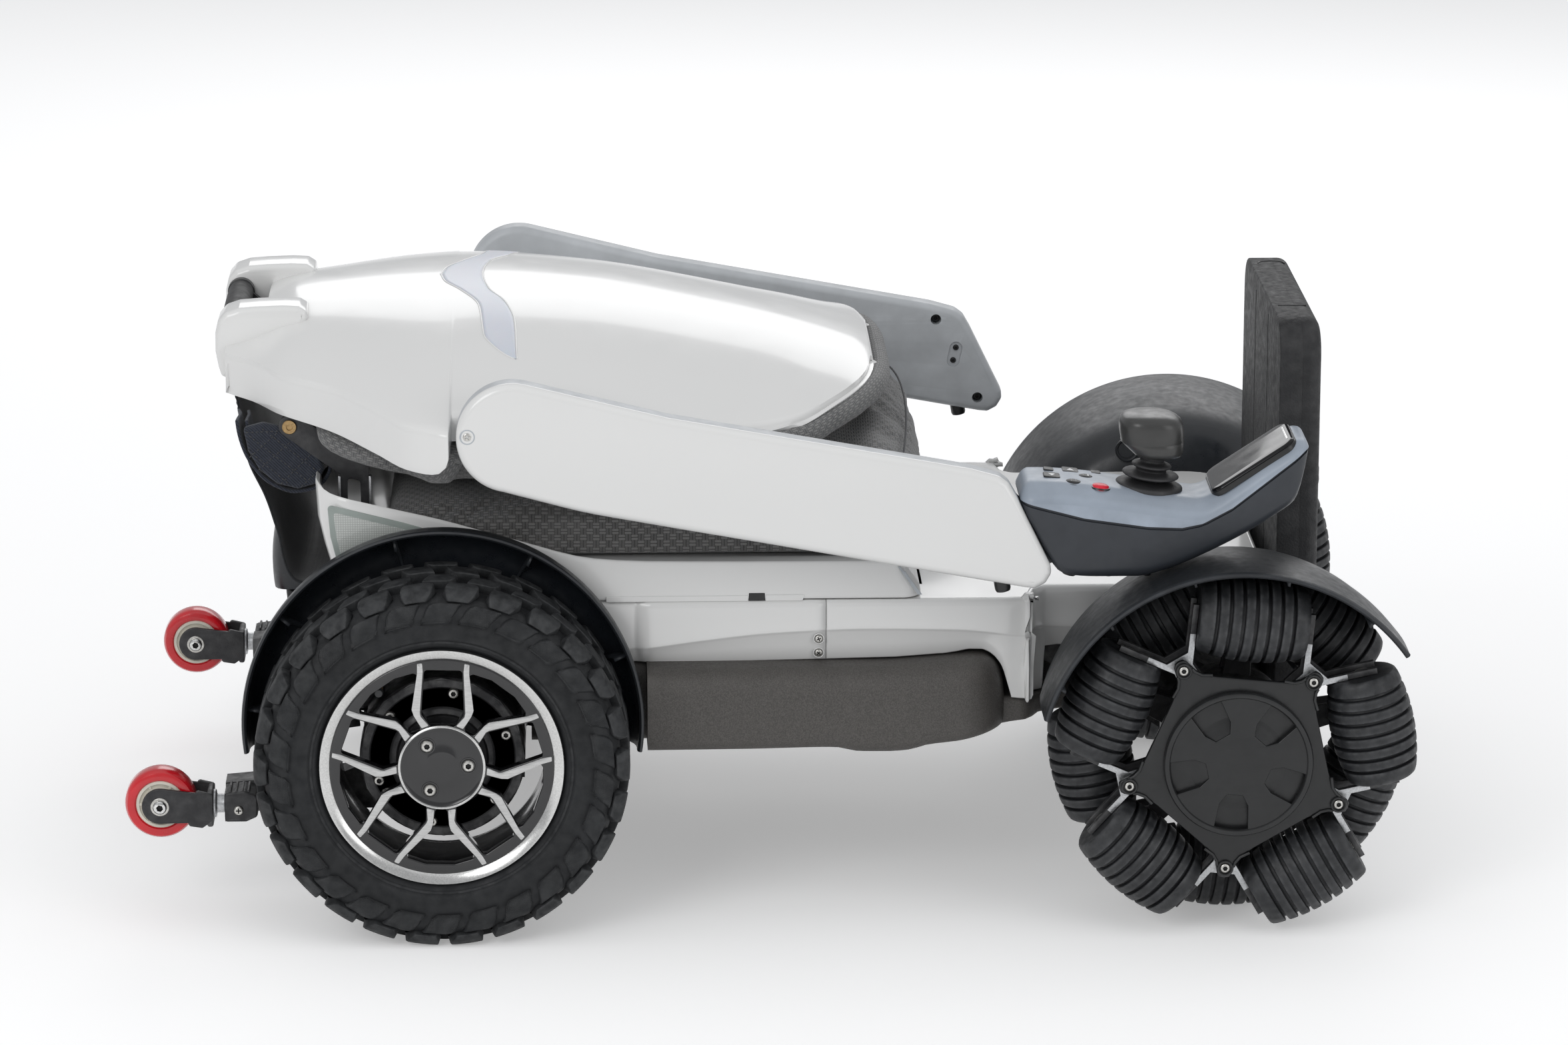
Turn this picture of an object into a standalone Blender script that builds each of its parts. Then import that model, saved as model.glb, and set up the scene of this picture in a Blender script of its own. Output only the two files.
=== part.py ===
"""Folding power wheelchair, shown folded: chassis, lift linkage, seat unit, backrest,
armrests, joystick controller, footplate, drive wheels, omnidirectional front wheels and casters.

Metres, +Z up, +X to the front, +Y to the occupant's left. The origin is on the floor, under the
middle of the folded chair. Lengths along the chair are measured from the rear axle.
"""
import math

import bmesh
import bpy
from mathutils import Matrix, Vector

# Driving dimensions of the chair.
WHEELBASE = 0.540
REAR_AXLE_X = -0.2228
CLEARANCE = 0.0003          # gap between pieces that seat on each other
RUNNING_GAP = 0.0012        # gap beside a piece that turns

# Drive wheels.
TYRE_DIAMETER = 0.255
TYRE_WIDTH = 0.080
REAR_TRACK = 0.472          # between the middles of the two tyres
BEAD_SEAT_RADIUS = 0.0762
RIM_FLANGE_RADIUS = 0.0825
RIM_WALL = 0.0062
SPOKE_DEPTH = 0.009
HUB_DISC_RADIUS = 0.0275
LUG_COUNT = 26
LUG_DEPTH = 0.0065

# Omnidirectional front wheels: two rows of five barrel rollers.
OMNI_DIAMETER = 0.249
FRONT_TRACK = 0.440
ROW_SPACING = 0.052
ROLLERS_PER_ROW = 5
ROLLER_LENGTH = 0.075
ROLLER_RADIUS = 0.029
ROLLER_GROOVES = 2
ROLLER_GROOVE_DEPTH = 0.0022
ROLLER_GROOVE_HALF = 0.0024
ROLLER_PHASE = 12.3         # degrees from the front to the first outboard roller
STAR_WIDTH = 0.022
STAR_WALL = 0.004
OMNI_CAP_RADIUS = 0.051
OMNI_HUB_RADIUS = 0.045
OMNI_COVER_FACE = 0.046      # of the five-point cover, from the middle of the wheel
OMNI_COVER_WALL = 0.004

# Fenders.
REAR_FENDER_RADIUS = 0.1375
REAR_FENDER_RISE = 0.0145   # of its centre above the axle
REAR_FENDER_BAND = 0.0308
REAR_FENDER_OPENING = 0.058
FRONT_FENDER_RADIUS = 0.1387
FRONT_FENDER_BAND = 0.1272
FRONT_FENDER_OPENING = 0.060
FENDER_WALL = 0.0035
FENDER_FILLET = 0.020

# Chassis.
CHASSIS_HALF_WIDTH = 0.186
WAIST_HALF_WIDTH = 0.190    # between the wheels
NOSE_HALF_WIDTH = 0.158     # between the front wheels
COVER_BOTTOM = 0.176
COVER_CREASE = 0.184
COVER_TOP = 0.220
NOSE_TOP = 0.2235
COVER_WALL = 0.003
COVER_SEAM = 0.263
DECK_TOP = 0.204
DECK_THICKNESS = 0.008
HOUSING_HALF_WIDTH = 0.212
HOUSING_HEIGHT = 0.058
HOUSING_LENGTH = 0.325
MOTOR_DRUM_RADIUS = 0.056

# Lift linkage under the seat.
LIFT_LINK_LENGTH = 0.160
LIFT_PIVOT_HEIGHT = 0.2225
LIFT_LOWER_REAR = 0.115
LIFT_LOWER_FRONT = 0.305
LIFT_BAR_HALF_GAUGE = 0.118  # middle of each bar from the centre line
LIFT_BAR_WIDTH = 0.009
LIFT_BAR_HEIGHT = 0.022
LIFT_TUBE_RADIUS = 0.0075
LIFT_TUBE_HALF_LENGTH = 0.134
PIVOT_EAR_INNER = 0.126
PIVOT_EAR_WIDTH = 0.006
FREE_PIVOT_GAP = 0.0015     # round the front link's upper tube, which the parallelogram leaves open

# Seat pan and cushions.
PAN_HALF_WIDTH = 0.188
PAN_LIP = 0.2203
PAN_FLOOR = 0.2465
PAN_WALL = 0.003
PAN_REAR = -0.086
PAN_FRONT = 0.327
SEAT_HALF_WIDTH = 0.181
SEAT_FRONT = 0.344
SEAT_REAR = -0.044
SEAT_BASE = 0.2468
SEAT_REAR_TOP = 0.2915
SEAT_SLOPE = 0.132

# Backrest, folded forward over the seat.
BACKREST_HINGE_X = -0.104
BACKREST_HINGE_Z = 0.335
HINGE_PLATE_INNER = 0.143
HINGE_PLATE_WIDTH = 0.004
HINGE_EYE_RADIUS = 0.0075
HINGE_PIN_RADIUS = 0.0042
CROSS_TUBE_X = -0.095
CROSS_TUBE_Z = 0.352
CROSS_TUBE_RADIUS = 0.0065
SHELL_WALL = 0.003

# Drag handle at the rear end of the backrest.
HANDLE_RADIUS = 0.0085
HANDLE_X = -0.146
HANDLE_Z = 0.3865
HANDLE_HALF_SPAN = 0.050
HANDLE_LUG_WIDTH = 0.0342

# Armrests.
ARM_OUTER_Y = 0.2587
ARM_THICKNESS = 0.022
ARM_PIVOT_X = 0.050
ARM_PIVOT_Z = 0.3528
ARM_END_RADIUS = 0.0377
ARM_HUB_RADIUS = 0.007
ARM_EDGE_RADIUS = 0.005

# Joystick controller.
CONTROLLER_Y = -0.225
CONTROLLER_HALF_WIDTH = 0.033
CONTROLLER_TOP_X = 0.402
CONTROLLER_TOP_Z = 0.3177
CONTROLLER_TOP_SLOPE = 6.65  # degrees down towards the front
JOYSTICK_X = 0.4755
BOOT_RADIUS = 0.022
KNOB_RADIUS = 0.022
STEM_RADIUS = 0.004
JOYSTICK_TILT = 18.0         # degrees each way
GIMBAL_HALF_HEIGHT = 0.003
GIMBAL_RADIUS = 0.0078
BUTTON_HEIGHT = 0.0022
BUTTON_TRAVEL = 0.0012
BUTTON_GAP = 0.0004

# Footplate, folded up.
FOOTPLATE_HALF_WIDTH = 0.117
FOOTPLATE_TOP = 0.395
FOOTPLATE_BOTTOM = 0.1185
FOOTPLATE_THICKNESS = 0.030
FOOTPLATE_REAR_X = 0.580
FOOTPLATE_HINGE_X = 0.600
FOOTPLATE_HINGE_Z = 0.112
FOOTPLATE_EYE_RADIUS = 0.0055
FOOTPLATE_PIN_RADIUS = 0.003
FOOTPLATE_BRACKET_HALF_WIDTH = 0.070

# Transport casters behind the drive wheels.
CASTER_GAUGE = 0.200
CASTER_RADIUS = 0.0245
CASTER_WIDTH = 0.020
CASTER_AXLE_X = -0.1947
CASTER_AXLE_Z = 0.0841
CASTER_STEM_Z = 0.082
CASTER_FORK_WALL = 0.003
CASTER_STEM_RADIUS = 0.0065

# Values that follow from the driving dimensions.
FRONT_AXLE_X = REAR_AXLE_X + WHEELBASE
REAR_AXLE_Z = TYRE_DIAMETER / 2
FRONT_AXLE_Z = OMNI_DIAMETER / 2
REAR_WHEEL_Y = REAR_TRACK / 2
FRONT_WHEEL_Y = FRONT_TRACK / 2
ROLLER_ORBIT = OMNI_DIAMETER / 2 - ROLLER_RADIUS
SIDES = {"right": -1.0, "left": 1.0}


def clear_scene():
    for obj in list(bpy.data.objects):
        bpy.data.objects.remove(obj, do_unlink=True)


clear_scene()
PARTS = bpy.data.collections.new("folding_power_wheelchair")
CUTTERS = bpy.data.collections.new("cutters")
bpy.context.scene.collection.children.link(PARTS)
bpy.context.scene.collection.children.link(CUTTERS)


# Materials

def material(name, colour, roughness, metallic=0.0):
    mat = bpy.data.materials.new(name)
    mat.use_nodes = True
    shader = mat.node_tree.nodes["Principled BSDF"]
    shader.inputs["Base Color"].default_value = (*colour, 1.0)
    shader.inputs["Roughness"].default_value = roughness
    shader.inputs["Metallic"].default_value = metallic
    mat.diffuse_color = (*colour, 1.0)
    return mat


COLOURS = {
    "white_gloss": ((0.80, 0.80, 0.79), 0.18, 0.0),
    "fender_black": ((0.024, 0.027, 0.030), 0.45, 0.0),
    "housing_grey": ((0.065, 0.060, 0.055), 0.65, 0.0),
    "frame_black": ((0.030, 0.030, 0.032), 0.40, 0.6),
    "tyre_rubber": ((0.020, 0.021, 0.023), 0.80, 0.0),
    "roller_rubber": ((0.018, 0.019, 0.022), 0.60, 0.0),
    "rim_metal": ((0.55, 0.55, 0.54), 0.30, 1.0),
    "hub_black": ((0.012, 0.012, 0.013), 0.35, 0.0),
    "mesh_fabric": ((0.18, 0.18, 0.185), 0.90, 0.0),
    "flap_fabric": ((0.015, 0.016, 0.018), 0.75, 0.0),
    "belt_webbing": ((0.016, 0.018, 0.026), 0.80, 0.0),
    "case_slate": ((0.042, 0.049, 0.060), 0.45, 0.0),
    "top_blue_grey": ((0.27, 0.33, 0.40), 0.40, 0.0),
    "display_glass": ((0.006, 0.006, 0.007), 0.08, 0.0),
    "button_black": ((0.015, 0.016, 0.017), 0.50, 0.0),
    "button_red": ((0.60, 0.010, 0.030), 0.45, 0.0),
    "knob_grey": ((0.060, 0.060, 0.058), 0.40, 0.0),
    "footplate_black": ((0.030, 0.030, 0.031), 0.60, 0.0),
    "caster_red": ((0.56, 0.006, 0.014), 0.15, 0.0),
}


def own_material(node, look):
    colour, roughness, metallic = COLOURS[look]
    return material(f"{node}_{look}", colour, roughness, metallic)


# Modelling helpers

def at(x, y, z):
    """A point given by its distance from the rear axle along the chair, its side and its height."""
    return Vector((REAR_AXLE_X + x, y, z))


def new_object(name, data, collection=PARTS):
    obj = bpy.data.objects.new(name, data)
    collection.objects.link(obj)
    return obj


def mesh_object(name, bm, collection=PARTS):
    mesh = bpy.data.meshes.new(name)
    bm.to_mesh(mesh)
    bm.free()
    return new_object(name, mesh, collection)


def bake(obj):
    """Turns a curve, or a mesh with modifiers, into a plain closed mesh in world space."""
    bpy.context.view_layer.update()
    graph = bpy.context.evaluated_depsgraph_get()
    mesh = bpy.data.meshes.new_from_object(obj.evaluated_get(graph))
    mesh.transform(obj.matrix_world)
    name = obj.name
    bpy.data.objects.remove(obj, do_unlink=True)
    bm = bmesh.new()
    bm.from_mesh(mesh)
    bmesh.ops.remove_doubles(bm, verts=bm.verts, dist=0.00001)
    bmesh.ops.dissolve_degenerate(bm, edges=bm.edges, dist=0.00001)
    bmesh.ops.recalc_face_normals(bm, faces=bm.faces)
    bm.to_mesh(mesh)
    bm.free()
    return new_object(name, mesh)


def box(name, low, high):
    """An upright block between two opposite corners."""
    bm = bmesh.new()
    bmesh.ops.create_cube(bm, size=1.0)
    low, high = Vector(low), Vector(high)
    size = high - low
    bmesh.ops.scale(bm, vec=size, verts=bm.verts)
    bmesh.ops.translate(bm, vec=(low + high) / 2, verts=bm.verts)
    return mesh_object(name, bm)


AXIS_TURN = {
    "X": Matrix.Rotation(math.radians(90), 4, "Y"),
    "Y": Matrix.Rotation(math.radians(-90), 4, "X"),
    "Z": Matrix.Identity(4),
}


def cylinder(name, centre, radius, length, axis="Y", segments=20, end_radius=None):
    """A round bar, or a cone when end_radius is given, about its middle point."""
    bm = bmesh.new()
    bmesh.ops.create_cone(bm, cap_ends=True, segments=segments, radius1=radius,
                          radius2=radius if end_radius is None else end_radius, depth=length)
    bm.transform(Matrix.Translation(Vector(centre)) @ AXIS_TURN[axis])
    return mesh_object(name, bm)


def turned(name, profile, centre, axis="Y", segments=32, closed=False):
    """Revolves a profile of (radius, distance along the axis) points about the axis."""
    bm = bmesh.new()
    verts = [bm.verts.new((radius, 0.0, along)) for radius, along in profile]
    for first, second in zip(verts, verts[1:]):
        bm.edges.new((first, second))
    if closed:
        bm.edges.new((verts[-1], verts[0]))
    obj = mesh_object(name, bm)
    screw = obj.modifiers.new("Screw", "SCREW")
    screw.axis = "Z"
    screw.angle = math.tau
    screw.steps = segments
    screw.render_steps = segments
    screw.use_merge_vertices = True
    screw.merge_threshold = 0.00001
    obj.matrix_world = Matrix.Translation(Vector(centre)) @ AXIS_TURN[axis]
    return bake(obj)


def plate(name, outline, low_y, high_y):
    """A flat plate across the chair: an outline of (x, z) points, filled between two y values."""
    curve = bpy.data.curves.new(name, "CURVE")
    curve.dimensions = "2D"
    curve.fill_mode = "BOTH"
    curve.extrude = abs(high_y - low_y) / 2
    spline = curve.splines.new("POLY")
    spline.points.add(len(outline) - 1)
    for point, (x, z) in zip(spline.points, outline):
        point.co = (x, z, 0.0, 1.0)
    spline.use_cyclic_u = True
    obj = new_object(name, curve)
    middle = Matrix.Translation(Vector((0.0, (low_y + high_y) / 2, 0.0)))
    obj.matrix_world = middle @ Matrix.Rotation(math.radians(90), 4, "X")
    return bake(obj)


def floor_plate(name, outline, low_z, high_z):
    """A flat plate seen from above: an outline of (x, y) points, filled between two heights."""
    curve = bpy.data.curves.new(name, "CURVE")
    curve.dimensions = "2D"
    curve.fill_mode = "BOTH"
    curve.extrude = (high_z - low_z) / 2
    spline = curve.splines.new("POLY")
    spline.points.add(len(outline) - 1)
    for point, (x, y) in zip(spline.points, outline):
        point.co = (x, y, 0.0, 1.0)
    spline.use_cyclic_u = True
    obj = new_object(name, curve)
    obj.location = (0.0, 0.0, (low_z + high_z) / 2)
    return bake(obj)


def arc(centre, radius, start, end, steps):
    """Points on an arc, from one angle in degrees to another, both ends included."""
    points = []
    for index in range(steps + 1):
        angle = math.radians(start + (end - start) * index / steps)
        points.append((centre[0] + radius * math.cos(angle), centre[1] + radius * math.sin(angle)))
    return points


def rounded(outline, radii, steps=3):
    """An outline whose corners are replaced by tangent arcs of the given radii."""
    points = []
    count = len(outline)
    for index in range(count):
        corner = Vector(outline[index])
        before = (Vector(outline[index - 1]) - corner).normalized()
        after = (Vector(outline[(index + 1) % count]) - corner).normalized()
        radius = radii[index]
        if radius <= 0.0:
            points.append(tuple(corner))
            continue
        half = before.angle(after) / 2
        centre = corner + (before + after).normalized() * (radius / math.sin(half))
        start = corner + before * (radius / math.tan(half)) - centre
        end = corner + after * (radius / math.tan(half)) - centre
        for step in range(steps + 1):
            spoke = start.lerp(end, step / steps).normalized() * radius
            points.append(tuple(centre + spoke))
    return points


def bevel(obj, width, segments=2, angle=40.0):
    """Rounds the sharp edges of a mesh."""
    mod = obj.modifiers.new("Bevel", "BEVEL")
    mod.width = width
    mod.segments = segments
    mod.limit_method = "ANGLE"
    mod.angle_limit = math.radians(angle)
    mod.use_clamp_overlap = True
    return bake(obj)


def combine(base, others, operation):
    """Joins or cuts a mesh with others, which are used up."""
    for other in others:
        mod = base.modifiers.new("Boolean", "BOOLEAN")
        mod.operation = operation
        mod.solver = "EXACT"
        mod.object = other
        base = bake(base)
        bpy.data.objects.remove(other, do_unlink=True)
    return base


def join(base, *others):
    return combine(base, others, "UNION")


def cut(base, *others):
    return combine(base, others, "DIFFERENCE")


def loft(name, rings, caps=True):
    """A skin through rings of equal point counts, each ring closed, with flat end caps."""
    bm = bmesh.new()
    rows = [[bm.verts.new(point) for point in ring] for ring in rings]
    count = len(rows[0])
    for first, second in zip(rows, rows[1:]):
        for index in range(count):
            following = (index + 1) % count
            bm.faces.new((first[index], first[following], second[following], second[index]))
    if caps:
        bm.faces.new(rows[0])
        bm.faces.new(list(reversed(rows[-1])))
    bmesh.ops.recalc_face_normals(bm, faces=bm.faces)
    return mesh_object(name, bm)


def grid_skin(name, rows, inside, ring=False, lid=False):
    """An open surface through rows of equal point counts, its faces turned away from a point inside.

    ring closes each row on itself, and lid closes the last row with one flat face.
    """
    bm = bmesh.new()
    verts = [[bm.verts.new(point) for point in row] for row in rows]
    count = len(verts[0])
    for first, second in zip(verts, verts[1:]):
        for index in range(count if ring else count - 1):
            after = (index + 1) % count
            bm.faces.new((first[index], first[after], second[after], second[index]))
    if lid:
        bm.faces.new(verts[-1])
    bmesh.ops.recalc_face_normals(bm, faces=bm.faces)
    bm.faces.ensure_lookup_table()
    inside = Vector(inside)
    facing = sum(face.calc_area() * face.normal.dot(face.calc_center_median() - inside) for face in bm.faces)
    if facing < 0.0:
        bmesh.ops.reverse_faces(bm, faces=bm.faces)
    return mesh_object(name, bm)


def thicken(obj, wall, offset=-1.0):
    """Gives an open surface a wall, inwards from its outer face."""
    mod = obj.modifiers.new("Solidify", "SOLIDIFY")
    mod.thickness = wall
    mod.offset = offset
    mod.use_even_offset = True
    mod.use_quality_normals = True
    obj.modifiers.new("Triangulate", "TRIANGULATE")
    return bake(obj)


def mirrored(obj, name):
    """The same piece on the other side of the chair."""
    mesh = obj.data.copy()
    mesh.transform(Matrix.Scale(-1.0, 4, (0.0, 1.0, 0.0)))
    mesh.flip_normals()
    return new_object(name, mesh)


def moved(obj, offset):
    obj.data.transform(Matrix.Translation(Vector(offset)))
    return obj


def turn_about(obj, centre, degrees, axis):
    """Turns a mesh about a line through a point, along a world axis."""
    centre = Vector(centre)
    obj.data.transform(Matrix.Translation(centre) @ Matrix.Rotation(math.radians(degrees), 4, axis)
                       @ Matrix.Translation(-centre))
    return obj


def between(value, table):
    """Straight-line reading of a table of (position, value) pairs."""
    if value <= table[0][0]:
        return table[0][1]
    for (low, first), (high, second) in zip(table, table[1:]):
        if value <= high:
            return first + (second - first) * (value - low) / (high - low)
    return table[-1][1]


BODIES = {}


def body(name, origin, parent=None):
    """An empty on a joint's axis that carries the pieces of one moving body."""
    empty = bpy.data.objects.new(f"{name}_axis", None)
    PARTS.objects.link(empty)
    empty.empty_display_size = 0.03
    empty.location = Vector(origin)
    BODIES[name] = empty
    bpy.context.view_layer.update()
    if parent:
        empty.parent = BODIES[parent]
        empty.matrix_parent_inverse = BODIES[parent].matrix_world.inverted()
        bpy.context.view_layer.update()
    return empty


def piece(obj, name, look, carrier):
    """Names a finished piece, gives it its material and puts its origin on its body's axis."""
    obj.name = name
    obj.data.name = name
    obj.data.materials.clear()
    obj.data.materials.append(own_material(name, look))
    obj.data.shade_smooth()
    obj.data.set_sharp_from_angle(angle=math.radians(35))
    origin = BODIES[carrier].matrix_world.translation.copy()
    obj.data.transform(Matrix.Translation(-origin))
    obj.parent = BODIES[carrier]
    obj.location = (0.0, 0.0, 0.0)
    return obj


# Drive wheels

def tyre(name, y, outward):
    """A block-tread tyre: staggered shoulder lugs stand on a plain carcass."""
    half = TYRE_WIDTH / 2
    radius = TYRE_DIAMETER / 2
    bead = BEAD_SEAT_RADIUS + CLEARANCE
    flange = half - 0.0096
    section = [
        (bead, flange, 0.0),
        (RIM_FLANGE_RADIUS + 0.0015, flange, 0.0),
        (0.82 * radius, half, 0.0),
        (radius - 0.0020, half - 0.0090, 1.0),
        (radius, half - 0.0260, 0.0),
    ]
    section += [(r, -s, -lug) for r, s, lug in reversed(section)]
    steps = 2 * LUG_COUNT
    bm = bmesh.new()
    rings = []
    for step in range(steps):
        angle = math.tau * step / steps - math.pi / 2
        ring = []
        for r, s, lug in section:
            groove = lug != 0.0 and (step % 2 == 0) == (lug > 0.0)
            reach = r - (LUG_DEPTH if groove else 0.0)
            ring.append(bm.verts.new((reach * math.cos(angle), s, reach * math.sin(angle))))
        rings.append(ring)
    count = len(section)
    for step in range(steps):
        first, second = rings[step], rings[(step + 1) % steps]
        for index in range(count):
            following = (index + 1) % count
            bm.faces.new((first[index], first[following], second[following], second[index]))
    bmesh.ops.recalc_face_normals(bm, faces=bm.faces)
    obj = mesh_object(name, bm)
    obj.data.transform(Matrix.Scale(outward, 4, (0.0, 1.0, 0.0)))
    if outward < 0.0:
        obj.data.flip_normals()
    return moved(obj, (REAR_AXLE_X, y, REAR_AXLE_Z))


def polar(radius, degrees):
    angle = math.radians(degrees)
    return (radius * math.cos(angle), radius * math.sin(angle))


def rim_window(name, outline, centre_angle, low_y, high_y):
    """A cutter for one opening of the wheel's web, in the wheel's own frame."""
    points = [polar(radius, centre_angle + offset) for radius, offset in outline]
    return plate(name, points, low_y, high_y)


def rim(name, y, outward):
    """A cast rim: barrel with two flanges and five forked spokes round a bolted hub."""
    half = TYRE_WIDTH / 2
    flange_in = half - 0.0096 + CLEARANCE
    flange_out = half - 0.0050
    barrel = BEAD_SEAT_RADIUS - RIM_WALL
    profile = [
        (RIM_FLANGE_RADIUS, flange_out), (RIM_FLANGE_RADIUS, flange_in + CLEARANCE),
        (BEAD_SEAT_RADIUS, flange_in + CLEARANCE), (BEAD_SEAT_RADIUS, -flange_in - CLEARANCE),
        (RIM_FLANGE_RADIUS, -flange_in - CLEARANCE), (RIM_FLANGE_RADIUS, -flange_out),
        (barrel, -flange_out), (barrel, flange_out),
    ]
    obj = turned(name, profile, (0, 0, 0), "Y", 22, closed=True)
    web_face = -flange_out + 0.0020
    web = cylinder("web", (0, web_face + SPOKE_DEPTH / 2, 0), barrel + 0.003, SPOKE_DEPTH, "Y", 24)
    shield = [(0.0690, -10.6), (0.0690, 10.6), (0.0396, 21.0), (0.0300, 15.8), (0.0300, -15.8),
              (0.0396, -21.0)]
    wide = [(0.0685, -21.7), (0.0695, -8.0), (0.0695, 8.0), (0.0685, 21.7), (0.0445, 7.5),
            (0.0300, 7.0), (0.0300, -7.0), (0.0445, -7.5)]
    low, high = web_face - 0.01, web_face + SPOKE_DEPTH + 0.01
    for spoke in range(5):
        web = cut(web, rim_window("shield", shield, 90 + 72 * spoke, low, high),
                  rim_window("wide", wide, 54 + 72 * spoke, low, high))
    hub_back = REAR_WHEEL_Y - drum_face_y() - 0.0005
    hub = cylinder("hub", (0, (web_face - 0.002 + hub_back) / 2, 0), HUB_DISC_RADIUS,
                   hub_back - web_face + 0.002, "Y", 14)
    obj = join(obj, join(web, hub))
    obj.data.transform(Matrix.Scale(-outward, 4, (0.0, 1.0, 0.0)))
    if outward > 0.0:
        obj.data.flip_normals()
    return moved(obj, (REAR_AXLE_X, y, REAR_AXLE_Z))


def drum_face_y():
    """How far the motor drum's outer face lies from the centre line."""
    return REAR_WHEEL_Y + 0.0095


def build_drive_wheels():
    for side, sign in SIDES.items():
        name = f"drive_wheel_{side}"
        body(name, at(0, sign * REAR_WHEEL_Y, REAR_AXLE_Z))
        piece(tyre(f"tyre_{side}", sign * REAR_WHEEL_Y, sign), f"rear_tyre_{side}", "tyre_rubber", name)
        piece(rim(f"rim_{side}", sign * REAR_WHEEL_Y, sign), f"rear_rim_{side}", "rim_metal", name)


# Omnidirectional front wheels

def roller_profile():
    """Half a barrel that completes the wheel's circle, with grooves between wide ribs."""
    half = ROLLER_LENGTH / 2
    wheel = OMNI_DIAMETER / 2

    def barrel(along):
        return math.sqrt(wheel ** 2 - along ** 2) - ROLLER_ORBIT

    points = [(0.0, half), (barrel(half) - 0.0008, half)]
    pitch = ROLLER_LENGTH / (ROLLER_GROOVES + 1)
    for index in range(ROLLER_GROOVES):
        middle = half - pitch * (index + 1)
        points += [(barrel(middle + ROLLER_GROOVE_HALF), middle + ROLLER_GROOVE_HALF),
                   (barrel(middle) - ROLLER_GROOVE_DEPTH, middle),
                   (barrel(middle - ROLLER_GROOVE_HALF), middle - ROLLER_GROOVE_HALF)]
    points += [(barrel(half) - 0.0008, -half), (0.0, -half)]
    return points


def star_outline(phase):
    """Outline of one star plate: five arms, each forked along the end faces of two rollers."""
    half = ROLLER_LENGTH / 2 + CLEARANCE
    step = 360.0 / ROLLERS_PER_ROW
    lean = math.radians(step / 2)
    tan, cos, sin = math.tan(lean), math.cos(lean), math.sin(lean)
    offset = half / cos
    tip = ROLLER_ORBIT + 0.010
    outer_u = tip * cos + half * sin
    outer_v = outer_u * tan - offset
    neck_u = (0.0070 + offset) / tan
    inner_u = outer_u + STAR_WALL * sin
    inner_v = outer_v - STAR_WALL * cos
    web_u = neck_u + 0.0085
    web_v = web_u * tan - offset - STAR_WALL / cos
    arm = [(OMNI_HUB_RADIUS - 0.004, -0.010), (neck_u, -0.0070), (outer_u, -outer_v), (inner_u, -inner_v),
           (web_u, -web_v), (web_u, web_v), (inner_u, inner_v), (outer_u, outer_v), (neck_u, 0.0070),
           (OMNI_HUB_RADIUS - 0.004, 0.010)]
    points = []
    for index in range(ROLLERS_PER_ROW):
        angle = math.radians(phase + step * (index + 0.5))
        for u, v in arm:
            points.append((u * math.cos(angle) - v * math.sin(angle),
                           u * math.sin(angle) + v * math.cos(angle)))
    return points


def cover_outline():
    """The five-point cover in front of the rollers; its points lie over the star's arms."""
    tip = [(0.061, -0.017), (0.071, -0.0070), (0.081, -0.0045), (0.081, 0.0045), (0.071, 0.0070), (0.061, 0.017)]
    points = []
    for index in range(ROLLERS_PER_ROW):
        angle = math.radians(ROLLER_PHASE + 360.0 / ROLLERS_PER_ROW * (index + 0.5))
        for u, v in tip:
            points.append((u * math.cos(angle) - v * math.sin(angle), u * math.sin(angle) + v * math.cos(angle)))
    return points


def omni_hub(name, sign):
    """Hub barrel with a domed cap, a five-point cover and a star plate for each row of rollers."""
    half_row = ROW_SPACING / 2
    outer = half_row + STAR_WIDTH / 2
    cap_face = half_row + ROLLER_RADIUS - 0.003
    inner_face = -half_row - 0.020
    profile = [
        (0.0, cap_face), (OMNI_CAP_RADIUS - 0.003, cap_face), (OMNI_CAP_RADIUS, cap_face - 0.003),
        (OMNI_CAP_RADIUS, outer + 0.004), (OMNI_HUB_RADIUS, outer + 0.002),
        (OMNI_HUB_RADIUS, inner_face), (0.0, inner_face),
    ]
    obj = turned(name, profile, (0, 0, 0), "Y", 16)
    for row, phase in ((1.0, ROLLER_PHASE), (-1.0, ROLLER_PHASE + 180.0 / ROLLERS_PER_ROW)):
        middle = row * half_row
        obj = join(obj, plate("star", star_outline(phase), middle - STAR_WIDTH / 2, middle + STAR_WIDTH / 2))
    obj = join(obj, plate("cover", cover_outline(), OMNI_COVER_FACE - OMNI_COVER_WALL, OMNI_COVER_FACE))
    # the profile is drawn with its cap towards +Y
    obj.data.transform(Matrix.Scale(sign, 4, (0.0, 1.0, 0.0)))
    if sign < 0.0:
        obj.data.flip_normals()
    return moved(obj, (FRONT_AXLE_X, sign * FRONT_WHEEL_Y, FRONT_AXLE_Z))


def build_omni_wheels():
    for side, sign in SIDES.items():
        wheel = f"omni_wheel_{side}"
        centre = Vector((FRONT_AXLE_X, sign * FRONT_WHEEL_Y, FRONT_AXLE_Z))
        body(wheel, centre)
        piece(omni_hub(wheel, sign), f"omni_hub_{side}", "hub_black", wheel)
        step = 360.0 / ROLLERS_PER_ROW
        for row, row_sign, start in (("outer", 1.0, ROLLER_PHASE), ("inner", -1.0, ROLLER_PHASE + step / 2)):
            for index in range(ROLLERS_PER_ROW):
                angle = start + step * index
                x, z = polar(ROLLER_ORBIT, angle)
                origin = centre + Vector((x, row_sign * sign * ROW_SPACING / 2, z))
                name = f"roller_{side}_{row}_{index + 1}"
                body(name, origin, wheel)
                obj = turned(name, roller_profile(), (0, 0, 0), "Z", 10)
                # one edge of the ten-sided barrel points away from the wheel's axis
                turn_about(obj, (0, 0, 0), -angle, "Y")
                moved(obj, origin)
                piece(obj, name, "roller_rubber", name)


# Fenders

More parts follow.
